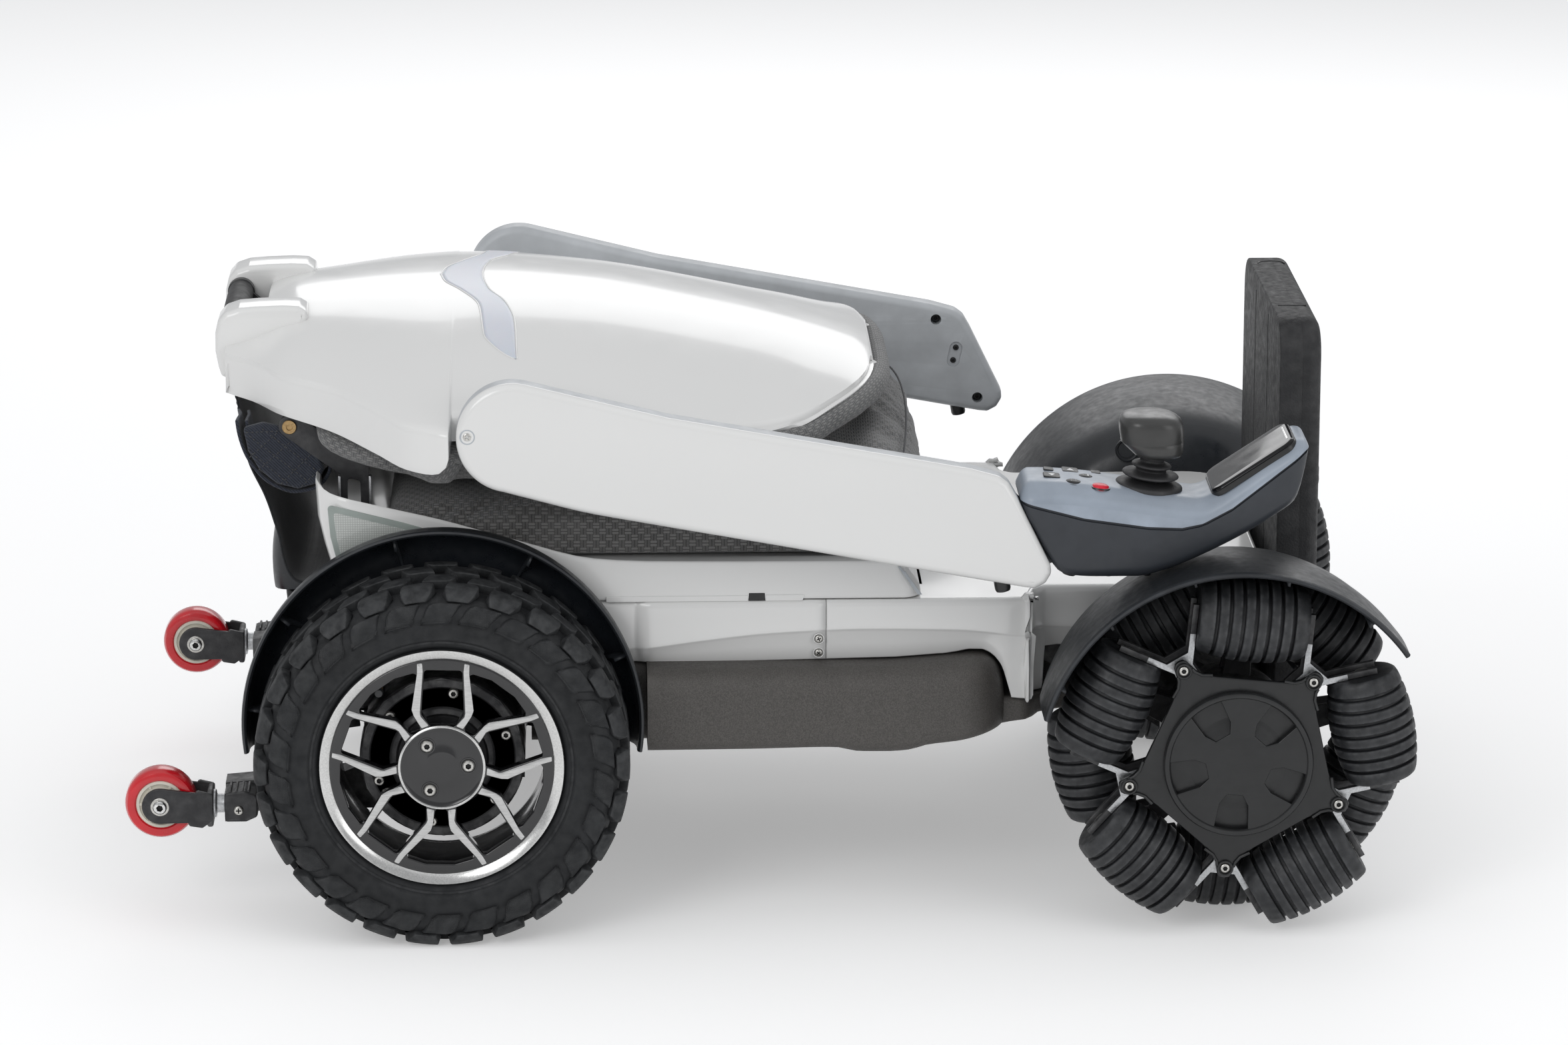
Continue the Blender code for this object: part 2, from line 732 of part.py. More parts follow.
def fender(name, x, z, section, start, end, steps):
    """The right-hand mudguard: a section of (radius, y) points swept round the wheel."""
    rows = []
    for step in range(steps + 1):
        angle = math.radians(start + (end - start) * step / steps)
        rows.append([(x + r * math.cos(angle), -y, z + r * math.sin(angle)) for r, y in section])
    obj = grid_skin(name, rows, (x, -section[0][1], z))
    return thicken(obj, FENDER_WALL)


def rear_fender_section():
    """A narrow band with a rolled lip, a round fillet and a wall towards the chassis."""
    inner = PAN_HALF_WIDTH + RUNNING_GAP
    outer = inner + REAR_FENDER_BAND
    radius = REAR_FENDER_RADIUS
    section = [(radius - 0.003, outer), (radius, outer - 0.002), (radius, inner + FENDER_FILLET)]
    for angle in (45, 90):
        turn = math.radians(angle)
        section.append((radius - FENDER_FILLET * (1 - math.cos(turn)), inner + FENDER_FILLET * (1 - math.sin(turn))))
    return section + [(REAR_FENDER_OPENING, inner)]


def front_fender_section():
    """A wide band that falls away towards the chassis and ends in a wall round the hub."""
    inner = NOSE_HALF_WIDTH + CLEARANCE
    outer = inner + FRONT_FENDER_BAND
    drops = [(0.0435, 0.0), (0.0775, 0.0042), (0.0955, 0.0072), (0.1095, 0.0127), (0.1205, 0.0237)]
    section = [(FRONT_FENDER_RADIUS - 0.003, outer), (FRONT_FENDER_RADIUS, outer - 0.0025)]
    section += [(FRONT_FENDER_RADIUS - drop, outer - way) for way, drop in drops]
    return section + [(FRONT_FENDER_RADIUS - 0.0467, inner), (FRONT_FENDER_OPENING, inner)]


def build_fenders():
    rear = fender("rear", REAR_AXLE_X, REAR_AXLE_Z + REAR_FENDER_RISE, rear_fender_section(), -8.6, 188.0, 13)
    front = fender("front", FRONT_AXLE_X, FRONT_AXLE_Z, front_fender_section(), 35.3, 164.7, 10)
    piece(mirrored(rear, "rear"), "rear_fender_left", "fender_black", "chassis")
    piece(mirrored(front, "front"), "front_fender_left", "fender_black", "chassis")
    piece(rear, "rear_fender_right", "fender_black", "chassis")
    piece(front, "front_fender_right", "fender_black", "chassis")


# Chassis

def ahead(outline):
    """Outline points measured from the rear axle, moved to where that axle is."""
    return [(REAR_AXLE_X + x, z) for x, z in outline]


def both_sides(path):
    """A path from the right-hand side to the middle, carried on to the left-hand side."""
    return path + [(x, -y) for x, y in reversed(path)]


def inset(path, distance, turn):
    """An open path moved sideways, to the left of its run when turn is 1 and to the right when -1."""
    points = []
    for index, point in enumerate(path):
        here = Vector(point)
        before = Vector(path[index - 1]) if index > 0 else here * 2 - Vector(path[index + 1])
        after = Vector(path[index + 1]) if index < len(path) - 1 else here * 2 - Vector(path[index - 1])
        first, second = (here - before).normalized(), (after - here).normalized()
        side = (Vector((-first.y, first.x)) + Vector((-second.y, second.x))).normalized() * turn
        stretch = max(0.5, (first + second).length / 2)
        points.append(tuple(here + side * (distance / stretch)))
    return points


def cover(name, path, turn, bottom, inside):
    """A white cover round the chassis: sides with a crease, a flat top and an open underside."""
    rows = []
    for distance, level in ((0.010, None), (0.0, COVER_CREASE), (0.0, COVER_TOP - 0.004), (0.004, COVER_TOP)):
        row = inset(path, distance, turn)
        rows.append([(x, y, bottom(px) if level is None else level)
                     for (x, y), (px, _) in zip(row, path)])
    obj = grid_skin(name, rows, inside, lid=True)
    return thicken(obj, COVER_WALL)


def build_covers():
    seam = REAR_AXLE_X + COVER_SEAM
    rear_path = both_sides(ahead([
        (COVER_SEAM - CLEARANCE / 2, -WAIST_HALF_WIDTH), (0.146, -WAIST_HALF_WIDTH),
        (0.132, -CHASSIS_HALF_WIDTH), (-0.034, -CHASSIS_HALF_WIDTH), (-0.050, -0.1825), (-0.0615, -0.171),
        (-0.066, -0.154)]))
    rear = cover("cover_rear", rear_path, -1, lambda x: COVER_BOTTOM, at(0.10, 0, 0.19))
    opening = box("opening", at(-0.0585, -0.150, 0.19), at(COVER_SEAM + 0.05, 0.150, 0.24))
    piece(cut(rear, opening), "chassis_cover_rear", "white_gloss", "chassis")

    def front_bottom(x):
        return 0.145 if 0.3870 < x - REAR_AXLE_X < 0.4160 else COVER_BOTTOM

    front_path = both_sides(ahead([
        (COVER_SEAM + CLEARANCE / 2, -WAIST_HALF_WIDTH), (0.3858, -WAIST_HALF_WIDTH), (0.3880, -WAIST_HALF_WIDTH),
        (0.3965, -WAIST_HALF_WIDTH), (0.4015, -0.1865), (0.4055, -0.177), (0.4075, -0.166),
        (0.414, -NOSE_HALF_WIDTH), (0.545, -NOSE_HALF_WIDTH), (0.562, -0.152), (0.571, -0.140), (0.5745, -0.120)]))
    front = cover("cover_front", front_path, 1, front_bottom, at(0.40, 0, 0.19))
    opening = box("opening", at(COVER_SEAM - 0.05, -0.150, 0.19), at(0.331, 0.150, 0.24))
    piece(cut(front, opening), "chassis_cover_front", "white_gloss", "chassis")
    return seam


def build_housing():
    top = COVER_BOTTOM - CLEARANCE
    waist = CHASSIS_HALF_WIDTH - 0.002
    wide = HOUSING_HALF_WIDTH
    corners = [(0.060, -waist), (0.1395, -waist), (0.1395, -wide), (0.060 + HOUSING_LENGTH, -wide),
               (0.060 + HOUSING_LENGTH, wide), (0.1395, wide), (0.1395, waist), (0.060, waist)]
    outline = rounded(ahead(corners), [0.0, 0.0, 0.006, 0.034, 0.034, 0.006, 0.0, 0.0], 3)
    obj = floor_plate("housing", outline, top - HOUSING_HEIGHT, top)
    piece(bevel(obj, 0.010, 1, 50.0), "lower_housing", "housing_grey", "chassis")


def bore_radius(radius, gap, segments):
    """Corner radius of a many-sided bore whose flats stay clear of a round bar."""
    return (radius + gap) / math.cos(math.pi / segments)


def pivot_ear(name, x, root_z, gap, side, tip_radius=0.011):
    """A lug with a bored eye at the lift's pivot height, standing on or hanging from a plate."""
    centre = (REAR_AXLE_X + x, LIFT_PIVOT_HEIGHT)
    sign = 1.0 if root_z > LIFT_PIVOT_HEIGHT else -1.0
    outline = arc(centre, tip_radius, 180.0 * (1 - sign) / 2 + 180.0, 180.0 * (1 - sign) / 2 + 360.0, 3)
    foot = tip_radius + 0.004
    outline += [(centre[0] + sign * foot, root_z), (centre[0] - sign * foot, root_z)]
    low = PIVOT_EAR_INNER if side > 0 else -PIVOT_EAR_INNER - PIVOT_EAR_WIDTH
    ear = plate(name, outline, low, low + PIVOT_EAR_WIDTH)
    hole = cylinder("hole", (centre[0], low + PIVOT_EAR_WIDTH / 2, centre[1]), bore_radius(LIFT_TUBE_RADIUS, gap, 8),
                    PIVOT_EAR_WIDTH + 0.01, "Y", 8)
    return cut(ear, hole)


def build_frame():
    deck = box("deck", at(-0.055, -0.148, DECK_TOP - DECK_THICKNESS), at(0.325, 0.148, DECK_TOP))
    axle = box("axle", at(-0.055, -PAN_HALF_WIDTH - RUNNING_GAP + CLEARANCE, 0.095),
               at(0.055, PAN_HALF_WIDTH + RUNNING_GAP - CLEARANCE, 0.171))
    spine = box("spine", at(-0.050, -0.130, 0.160), at(0.050, 0.130, DECK_TOP - 0.003))
    frame = join(deck, axle, spine)
    for side in (-1.0, 1.0):
        drum_root = CHASSIS_HALF_WIDTH + 0.0015
        drum = cylinder("drum", at(0, side * (drum_face_y() + drum_root) / 2, REAR_AXLE_Z), MOTOR_DRUM_RADIUS,
                        drum_face_y() - drum_root, "Y", 16)
        low, high = sorted((side * 0.104, side * 0.138))
        rail = plate("rail", ahead([(0.056, 0.1765), (0.384, 0.1765), (0.440, 0.150), (0.515, 0.100),
                                    (0.556, 0.100), (0.556, 0.150), (0.530, 0.156), (0.455, 0.2015),
                                    (0.060, 0.2015)]), low, high)
        rear_rail = plate("rear_rail", ahead([(-0.045, 0.074), (-0.045, 0.110), (-0.070, 0.100), (-0.151, 0.093),
                                              (-0.151, 0.072)]), *sorted((side * 0.168, side * 0.1885)))
        outrigger = box("outrigger", at(-0.1505, min(side * 0.170, side * 0.212), 0.0725),
                        at(-0.136, max(side * 0.170, side * 0.212), 0.0925))
        stub = cylinder("stub", (FRONT_AXLE_X, side * (0.150 + stub_end()) / 2, FRONT_AXLE_Z), 0.014,
                        stub_end() - 0.150, "Y", 10)
        frame = join(frame, drum, rail, join(rear_rail, outrigger), stub)
        for x in (LIFT_LOWER_REAR, LIFT_LOWER_FRONT):
            frame = join(frame, pivot_ear("ear", x, DECK_TOP - 0.002, CLEARANCE, side))
    beam = box("beam", (FRONT_AXLE_X - 0.018, -0.1575, FRONT_AXLE_Z - 0.020),
               (FRONT_AXLE_X + 0.018, 0.1575, FRONT_AXLE_Z + 0.020))
    bracket = plate("bracket", ahead([(0.545, 0.1065), (0.600, 0.1065), (0.600, 0.1125), (0.575, 0.1165),
                                      (0.545, 0.1165)]), -FOOTPLATE_BRACKET_HALF_WIDTH, FOOTPLATE_BRACKET_HALF_WIDTH)
    eye = cylinder("eye", at(FOOTPLATE_HINGE_X, 0, FOOTPLATE_HINGE_Z), FOOTPLATE_EYE_RADIUS,
                   2 * FOOTPLATE_BRACKET_HALF_WIDTH, "Y", 12)
    pin = cylinder("pin", at(FOOTPLATE_HINGE_X, 0, FOOTPLATE_HINGE_Z), FOOTPLATE_PIN_RADIUS,
                   2 * FOOTPLATE_BRACKET_HALF_WIDTH + 0.050, "Y", 8)
    frame = join(frame, beam, join(bracket, eye, pin))
    piece(frame, "chassis_frame", "frame_black", "chassis")


def stub_end():
    """Where the front axle's stub meets the inner face of the hub."""
    return FRONT_WHEEL_Y - ROW_SPACING / 2 - 0.020 - CLEARANCE


# Lift linkage

def lift_frame(name, lower_x, upper_x):
    """A ladder frame: two flat bars and two cross tubes that turn in the ears."""
    frame = None
    for x in (lower_x, upper_x):
        tube = cylinder("tube", at(x, 0, LIFT_PIVOT_HEIGHT), LIFT_TUBE_RADIUS, 2 * LIFT_TUBE_HALF_LENGTH, "Y", 8)
        frame = join(frame, tube) if frame else tube
    end_radius = LIFT_BAR_HEIGHT / 2
    for side in (-1.0, 1.0):
        outline = arc((upper_x, LIFT_PIVOT_HEIGHT), end_radius, 90, 270, 3)
        outline += arc((lower_x, LIFT_PIVOT_HEIGHT), end_radius, -90, 90, 3)
        middle = side * LIFT_BAR_HALF_GAUGE
        bar = plate("bar", ahead(outline), middle - LIFT_BAR_WIDTH / 2, middle + LIFT_BAR_WIDTH / 2)
        frame = join(frame, bar)
    frame.name = name
    return frame


def build_lift():
    body("lift_rear", at(LIFT_LOWER_REAR, 0, LIFT_PIVOT_HEIGHT), "chassis")
    body("lift_front", at(LIFT_LOWER_FRONT, 0, LIFT_PIVOT_HEIGHT), "chassis")
    piece(lift_frame("rear", LIFT_LOWER_REAR, LIFT_LOWER_REAR - LIFT_LINK_LENGTH), "lift_frame_rear",
          "frame_black", "lift_rear")
    piece(lift_frame("front", LIFT_LOWER_FRONT, LIFT_LOWER_FRONT - LIFT_LINK_LENGTH), "lift_frame_front",
          "frame_black", "lift_front")
    body("seat", at(LIFT_LOWER_REAR - LIFT_LINK_LENGTH, 0, LIFT_PIVOT_HEIGHT), "lift_rear")


# Seat

PAN_EDGE = [(-0.0865, 0.304), (-0.078, 0.297), (-0.066, 0.295), (-0.028, 0.2856), (-0.002, 0.2794),
            (0.104, 0.250), (0.300, 0.2466), (0.327, 0.2465)]
PAN_BACK = [(0.2203, -0.0660), (0.232, -0.0720), (0.255, -0.0790), (0.277, -0.0850), (0.304, -0.0865)]


def pan_ring(share, shrink):
    """One level of the pan's wall, from its lip (0) to its upper edge (1)."""
    rear_z = PAN_LIP + (0.304 - PAN_LIP) * share
    back = between(rear_z, PAN_BACK) + shrink
    front = PAN_FRONT - shrink
    half = PAN_HALF_WIDTH - shrink
    stations = [-0.030, -0.002, 0.104]
    side = [(back, -half)] + [(x, -half) for x in stations] + [(front, -half)]
    outline = side + [(x, -y) for x, y in reversed(side)]
    radii = [0.030] + [0.0] * 3 + [0.012, 0.012] + [0.0] * 3 + [0.030]
    ring = []
    for x, y in rounded(outline, radii, 2):
        top = between(x, PAN_EDGE)
        ring.append((REAR_AXLE_X + x, y, PAN_LIP + (top - PAN_LIP) * share))
    return ring


def build_pan():
    rows = [pan_ring(0.0, 0.002), pan_ring(0.06, 0.0), pan_ring(0.35, 0.0), pan_ring(1.0, 0.0)]
    wall = thicken(grid_skin("wall", rows, at(0.12, 0, 0.25), ring=True), PAN_WALL)
    inside = PAN_WALL / 2
    back = between(PAN_FLOOR, PAN_BACK) + 0.002
    half = PAN_HALF_WIDTH - inside
    floor = floor_plate("floor", rounded(ahead([(back, -half), (PAN_FRONT - inside, -half),
                                                (PAN_FRONT - inside, half), (back, half)]),
                                         [0.028, 0.010, 0.010, 0.028], 2), PAN_FLOOR - PAN_WALL, PAN_FLOOR)
    pan = join(wall, floor)
    hinge = (REAR_AXLE_X + BACKREST_HINGE_X, BACKREST_HINGE_Z)
    for side in (-1.0, 1.0):
        outline = ahead([(-0.050, 0.2445), (-0.050, 0.308), (-0.093, 0.3395)])
        outline += arc(hinge, HINGE_EYE_RADIUS, 50, 240, 4)
        outline += ahead([(-0.070, 0.301), (-0.070, 0.2445)])
        low, high = sorted((side * HINGE_PLATE_INNER, side * (HINGE_PLATE_INNER + HINGE_PLATE_WIDTH)))
        bracket = plate("bracket", outline, low, high)
        pin = cylinder("pin", (hinge[0], side * (HINGE_PLATE_INNER - 0.0015), hinge[1]), HINGE_PIN_RADIUS,
                       2 * HINGE_PLATE_WIDTH + 0.001, "Y", 8)
        pan = join(pan, join(bracket, pin))
        pan = join(pan, pivot_ear("ear", LIFT_LOWER_REAR - LIFT_LINK_LENGTH, PAN_FLOOR - 0.001, CLEARANCE, side),
                   pivot_ear("ear", LIFT_LOWER_FRONT - LIFT_LINK_LENGTH, PAN_FLOOR - 0.001, FREE_PIVOT_GAP, side,
                             tip_radius=0.013))
    piece(pan, "seat_pan", "white_gloss", "seat")


SEAT_TOP = [(SEAT_REAR, SEAT_REAR_TOP), (0.285, 0.3180), (0.298, 0.3245), (0.310, 0.3280), (0.322, 0.3210),
            (0.334, 0.306), (SEAT_FRONT, 0.284)]
SEAT_CROWN = [(0.0, 1.0), (0.25, 0.99), (0.50, 0.95), (0.75, 0.86), (0.90, 0.72), (1.0, 0.50)]
SEAT_BOW = 0.013             # how far the front edge curves back at its corners
SEAM_X = 0.3245
SEAM_DEPTH = 0.0015


def seat_bow(x, y):
    """How far a point of the straight-fronted seat moves back to give its front a curve."""
    return SEAT_BOW * (y / SEAT_HALF_WIDTH) ** 2 * between(x, [(0.200, 0.0), (0.300, 1.0)])


def seat_top(x, y):
    """Height of the seat cushion's upper side over a point; x is measured from the rear axle."""
    straight = x + seat_bow(x + seat_bow(x, y), y)
    share = between(min(1.0, abs(y) / SEAT_HALF_WIDTH), SEAT_CROWN)
    return SEAT_BASE + (between(straight, SEAT_TOP) - SEAT_BASE) * share


def build_seat_cushion():
    rings = []
    stations = [(SEAT_REAR, 0.012), (SEAT_REAR + 0.006, 0.002), (0.030, 0.0), (0.120, 0.0), (0.210, 0.0), (0.285, 0.0),
                (0.298, 0.0), (0.310, 0.0), (SEAM_X - 0.002, 0.0), (SEAM_X, 0.0), (SEAM_X + 0.002, 0.0), (0.334, 0.0),
                (0.340, 0.001), (SEAT_FRONT, 0.004)]
    for x, shrink in stations:
        scale = (SEAT_HALF_WIDTH - shrink) / SEAT_HALF_WIDTH
        sunk = SEAM_DEPTH if x == SEAM_X else 0.0
        top = []
        for share, height in SEAT_CROWN:
            z = SEAT_BASE + (between(x, SEAT_TOP) - SEAT_BASE) * height
            top.append((share * SEAT_HALF_WIDTH, z - shrink - sunk))
        right = [(-y * scale, z) for y, z in reversed(top)]
        left = [(y * scale, z) for y, z in top[1:]]
        base = [(0.176 * scale, SEAT_BASE + shrink), (-0.176 * scale, SEAT_BASE + shrink)]
        rings.append([at(x - seat_bow(x, y), y, z) for y, z in right + left + base])
    piece(loft("seat", rings), "seat_cushion", "mesh_fabric", "seat")


# Backrest

# the shell steps in ahead of the armrest's round end, which turns past the step
SHOULDER_X = ARM_PIVOT_X - ARM_END_RADIUS - 0.0031
SHELL_CREST = [(-0.150, 0.389), (-0.131, 0.393), (-0.104, 0.401), (-0.077, 0.404), (-0.039, 0.407),
               (0.0, 0.4085), (0.030, 0.4095), (0.100, 0.405), (0.200, 0.388), (0.290, 0.366), (0.301, 0.362)]
SHELL_HALF = [(-0.150, 0.095), (-0.131, 0.113), (-0.109, 0.148), (-0.071, 0.180), (-0.042, 0.215),
              (-0.022, 0.240), (-0.003, 0.250), (SHOULDER_X - 0.002, 0.254), (SHOULDER_X, 0.234), (0.100, 0.225),
              (0.150, 0.214), (0.215, 0.195), (0.244, 0.180), (0.270, 0.148), (0.285, 0.123), (0.295, 0.092), (0.299, 0.057)]
SHELL_CREASE = [(-0.150, 0.374), (-0.131, 0.373), (-0.109, 0.3705), (-0.071, 0.3676), (-0.042, 0.362),
                (-0.022, 0.357), (SHOULDER_X - 0.002, 0.356), (SHOULDER_X, 0.354), (0.100, 0.352), (0.150, 0.348),
                (0.215, 0.344), (0.244, 0.347), (0.270, 0.353), (0.285, 0.357), (0.301, 0.361)]
SHELL_SKIRT = [(-0.142, 0.346), (-0.104, 0.3432), (-0.080, 0.340), (-0.042, 0.3326), (-0.020, 0.328),
               (-0.006, 0.3267), (0.003, 0.329), (SHOULDER_X - 0.002, 0.338), (SHOULDER_X, 0.346), (0.100, 0.345),
               (0.150, 0.344), (0.215, 0.340), (0.244, 0.3435), (0.270, 0.350), (0.285, 0.354), (0.301, 0.358)]
CROWN_POWER = 2.2
SHELL_REAR_LIP = 0.352


def shell_height(x, y):
    """Height of the shell's outer face; x is measured from the rear axle."""
    half = between(x, SHELL_HALF)
    crease = between(x, SHELL_CREASE)
    share = min(1.0, abs(y) / half)
    return crease + (between(x, SHELL_CREST) - crease) * (1.0 - share ** CROWN_POWER)


def build_shell():
    shares = [-1.0, -0.88, -0.68, -0.40, 0.0, 0.40, 0.68, 0.88, 1.0]
    stations = [-0.150, -0.131, -0.109, -0.071, -0.042, -0.022, -0.003, SHOULDER_X - 0.002, SHOULDER_X, 0.055,
                0.100, 0.150, 0.215, 0.244, 0.270, 0.288, 0.299]

    def row(x, fall, shift):
        half = between(x, SHELL_HALF)
        crease = between(x, SHELL_CREASE)
        skirt = between(x, SHELL_SKIRT)
        waist = max(crease - 0.004, 0.6 * crease + 0.4 * skirt)
        points = [at(x + shift, -half - 0.0005, skirt), at(x + shift, -half - 0.0002, waist)]
        points += [at(x + shift, share * half, shell_height(x, share * half)) for share in shares]
        points += [at(x + shift, half + 0.0002, waist), at(x + shift, half + 0.0005, skirt)]
        if fall:
            points = [Vector((p.x, p.y, skirt if x > 0 else SHELL_REAR_LIP)) for p in points]
        return points

    rows = [row(-0.150, True, 0.003)] + [row(x, False, 0.0) for x in stations] + [row(0.299, True, 0.002)]
    shell = thicken(grid_skin("shell", rows, at(0.05, 0, 0.30)), SHELL_WALL)
    half = HANDLE_HALF_SPAN + 0.002
    notch = box("notch", at(-0.170, -half, 0.330), at(-0.124, half, 0.420))
    shell = cut(shell, notch)
    for side in (-1.0, 1.0):
        low, high = sorted((side * HANDLE_HALF_SPAN, side * (HANDLE_HALF_SPAN + HANDLE_LUG_WIDTH)))
        lug = plate("lug", ahead([(-0.1575, 0.373), (-0.157, 0.392), (-0.151, 0.400), (-0.138, 0.4035), (-0.104, 0.404),
                                  (-0.097, 0.400), (-0.097, 0.372), (-0.138, 0.364), (-0.1435, 0.356),
                                  (-0.1500, 0.3535), (-0.1545, 0.3575)]), low, high)
        shell = join(shell, lug)
        hub_root = between(ARM_PIVOT_X, SHELL_HALF) - SHELL_WALL - 0.001
        hub_face = ARM_OUTER_Y - ARM_THICKNESS - CLEARANCE
        hub = cylinder("hub", at(ARM_PIVOT_X, side * (hub_root + hub_face) / 2, ARM_PIVOT_Z), ARM_HUB_RADIUS,
                       hub_face - hub_root, "Y", 8)
        shell = join(shell, hub)
    piece(shell, "back_shell", "white_gloss", "backrest")


REAR_UNDERSIDE = [(-0.087, 0.3385), (-0.079, 0.325), (-0.058, 0.313), (-0.034, 0.302), (-0.015, 0.298),
                  (0.030, 0.298), (0.150, 0.312), (0.250, 0.326), (0.296, 0.3335)]
# outer edge of the cushion's roll, which stands out a little below the shell's rim
CUSHION_EDGE = [(-0.087, 0.1610), (-0.071, 0.1735), (-0.042, 0.188), (-0.020, 0.188), (0.020, 0.2345), (0.100, 0.231),
                (0.150, 0.220), (0.215, 0.201), (0.244, 0.187), (0.273, 0.153), (0.289, 0.1275), (0.3005, 0.095),
                (0.305, 0.058), (0.3065, 0.030)]
ROLL_RADIUS = 0.0085


def cushion_under(x, y, rim, roll):
    """Underside of the backrest's cushion: it lies on the seat and rises to the roll at its edge."""
    base = between(x, REAR_UNDERSIDE) - 0.016 * (1 - min(1.0, abs(y) / 0.150))
    rise = min(1.0, max(0.0, (abs(y) / rim - 0.6) / 0.4)) ** 2
    if x > 0.280:
        rise = 1.0
    return max(seat_top(x, y) + 0.0010, base, base + (roll - ROLL_RADIUS - base) * rise)


def cushion_section(x):
    """One half of the cushion's section, from the middle of its top round the roll to its underside."""
    edge = between(x, CUSHION_EDGE)
    rim = min(edge - 0.006, between(x, SHELL_HALF))
    inner = rim - 0.0065
    roll = max(between(x, SHELL_SKIRT) - 0.0105, between(x, REAR_UNDERSIDE) + 0.009 if x < 0.0 else 0.0)
    lid = between(x, SHELL_CREASE) - 0.0065
    outer, under = [], []
    for share in (0.0, 0.45, 0.75, 0.95):
        y = share * inner
        low = cushion_under(x, y, rim, roll)
        # the nearest stations on either side of the shell's step share its lower height
        ahead_by = 0.016 if -0.03 < x < 0.03 else 0.004
        high = min(shell_height(x, y), shell_height(x + ahead_by, y)) - SHELL_WALL - 0.0032
        if x > 0.294:
            high = min(high, roll + ROLL_RADIUS)
        outer.append((y, min(high, low + 0.095)))
    outer.append((inner, min(roll + 0.0145, lid, outer[-1][1])))
    outer += [(rim - 0.0045, roll + 0.0091), (rim + 0.0015, roll + 0.0082), (edge - 0.0010, roll + 0.0045),
              (edge, roll), (edge - 0.0025, roll - 0.0055), (edge - 0.0090, roll - ROLL_RADIUS)]
    for share in (0.88, 0.62, 0.0):
        y = share * (edge - 0.0090)
        under.append((y, min(cushion_under(x, y, rim, roll), roll - ROLL_RADIUS if x > 0.0 and share > 0.8 else 1.0)))
    return outer + under


def build_back_cushion():
    stations = [(-0.087, 0.70), (-0.081, 0.95), (-0.065, 1.0), (-0.045, 1.0), (-0.020, 1.0), (0.0, 1.0), (0.020, 1.0),
                (0.055, 1.0), (0.100, 1.0), (0.150, 1.0), (0.215, 1.0), (0.244, 1.0), (0.273, 1.0), (0.2885, 1.0),
                (0.2965, 1.0), (0.3030, 0.90), (0.3065, 0.45)]
    rings = []
    for x, closing in stations:
        half = cushion_section(x)
        level = (max(z for _, z in half) + min(z for _, z in half)) / 2
        half = [(y, level + (z - level) * closing) for y, z in half]
        ring = half + [(-y, z) for y, z in reversed(half[1:-1])]
        rings.append([at(x, y, z) for y, z in ring])
    cushion = loft("cushion", rings)
    for side in (-1.0, 1.0):
        low, high = sorted((side * (HINGE_PLATE_INNER - 0.002), side * (HINGE_PLATE_INNER + HINGE_PLATE_WIDTH + 0.002)))
        slot = box("slot", at(-0.100, low, 0.270), at(-0.046, high, 0.352))
        cushion = cut(cushion, slot)
    piece(cushion, "backrest_cushion", "mesh_fabric", "backrest")


def build_backrest_frame():
    hinge = (BACKREST_HINGE_X, BACKREST_HINGE_Z)
    ear_outer = HINGE_PLATE_INNER - CLEARANCE
    ear_inner = ear_outer - HINGE_PLATE_WIDTH
    frame = cylinder("tube", at(CROSS_TUBE_X, 0, CROSS_TUBE_Z), CROSS_TUBE_RADIUS, 2 * ear_outer - 0.001, "Y", 10)
    handle = cylinder("handle", at(HANDLE_X, 0, HANDLE_Z), HANDLE_RADIUS, 2 * (HANDLE_HALF_SPAN - CLEARANCE), "Y", 10)
    frame = join(frame, handle)
    for side in (-1.0, 1.0):
        outline = arc(hinge, HINGE_EYE_RADIUS, 170, 350, 5) + arc((CROSS_TUBE_X, CROSS_TUBE_Z), 0.0065, -10, 170, 5)
        ear = plate("ear", ahead(outline), *sorted((side * ear_inner, side * ear_outer)))
        hole = cylinder("hole", at(hinge[0], side * (ear_inner + ear_outer) / 2, hinge[1]),
                        bore_radius(HINGE_PIN_RADIUS, CLEARANCE, 8), 0.012, "Y", 8)
        strut = plate("strut", ahead([(-0.104, 0.346), (-0.096, 0.357), (-0.118, 0.369), (-0.142, 0.391),
                                      (-0.1515, 0.383), (-0.122, 0.356)]), *sorted((side * 0.040, side * 0.046)))
        frame = join(frame, cut(ear, hole), strut)
    piece(frame, "backrest_frame", "frame_black", "backrest")


def build_flap():
    line = [(-0.1475, 0.3506, 0.086), (-0.1440, 0.3385, 0.090), (-0.134, 0.303, 0.130), (-0.126, 0.283, 0.130),
            (-0.116, 0.251, 0.130), (-0.113, 0.238, 0.130), (-0.107, 0.224, 0.130), (-0.096, 0.218, 0.130),
            (-0.083, 0.2215, 0.130), (-0.0707, 0.230, 0.130)]
    rows = [[at(x, -half, z), at(x, half, z)] for x, z, half in line]
    flap = thicken(grid_skin("flap", rows, at(0.0, 0, 0.30)), 0.003)
    piece(flap, "rear_flap", "flap_fabric", "seat")
    strap = plate("belt", ahead([(-0.130, 0.3305), (-0.1265, 0.3335), (-0.1235, 0.3310), (-0.106, 0.312),
                                 (-0.0845, 0.2895), (-0.0882, 0.2855), (-0.110, 0.306)]), -0.1415, -0.1105)
    piece(strap, "seat_belt", "belt_webbing", "seat")


# Armrests

ARM_OUTLINE = [(0.0831, 0.3048), (0.1081, 0.2987), (0.1679, 0.2878), (0.2279, 0.2769), (0.3230, 0.2594),
               (0.3950, 0.2462), (0.4014, 0.2456), (0.4084, 0.2493), (0.4123, 0.2560), (0.4118, 0.2615), (0.3884, 0.3095),
               (0.3830, 0.3190), (0.3766, 0.3238), (0.3576, 0.3291), (0.1531, 0.3661)]


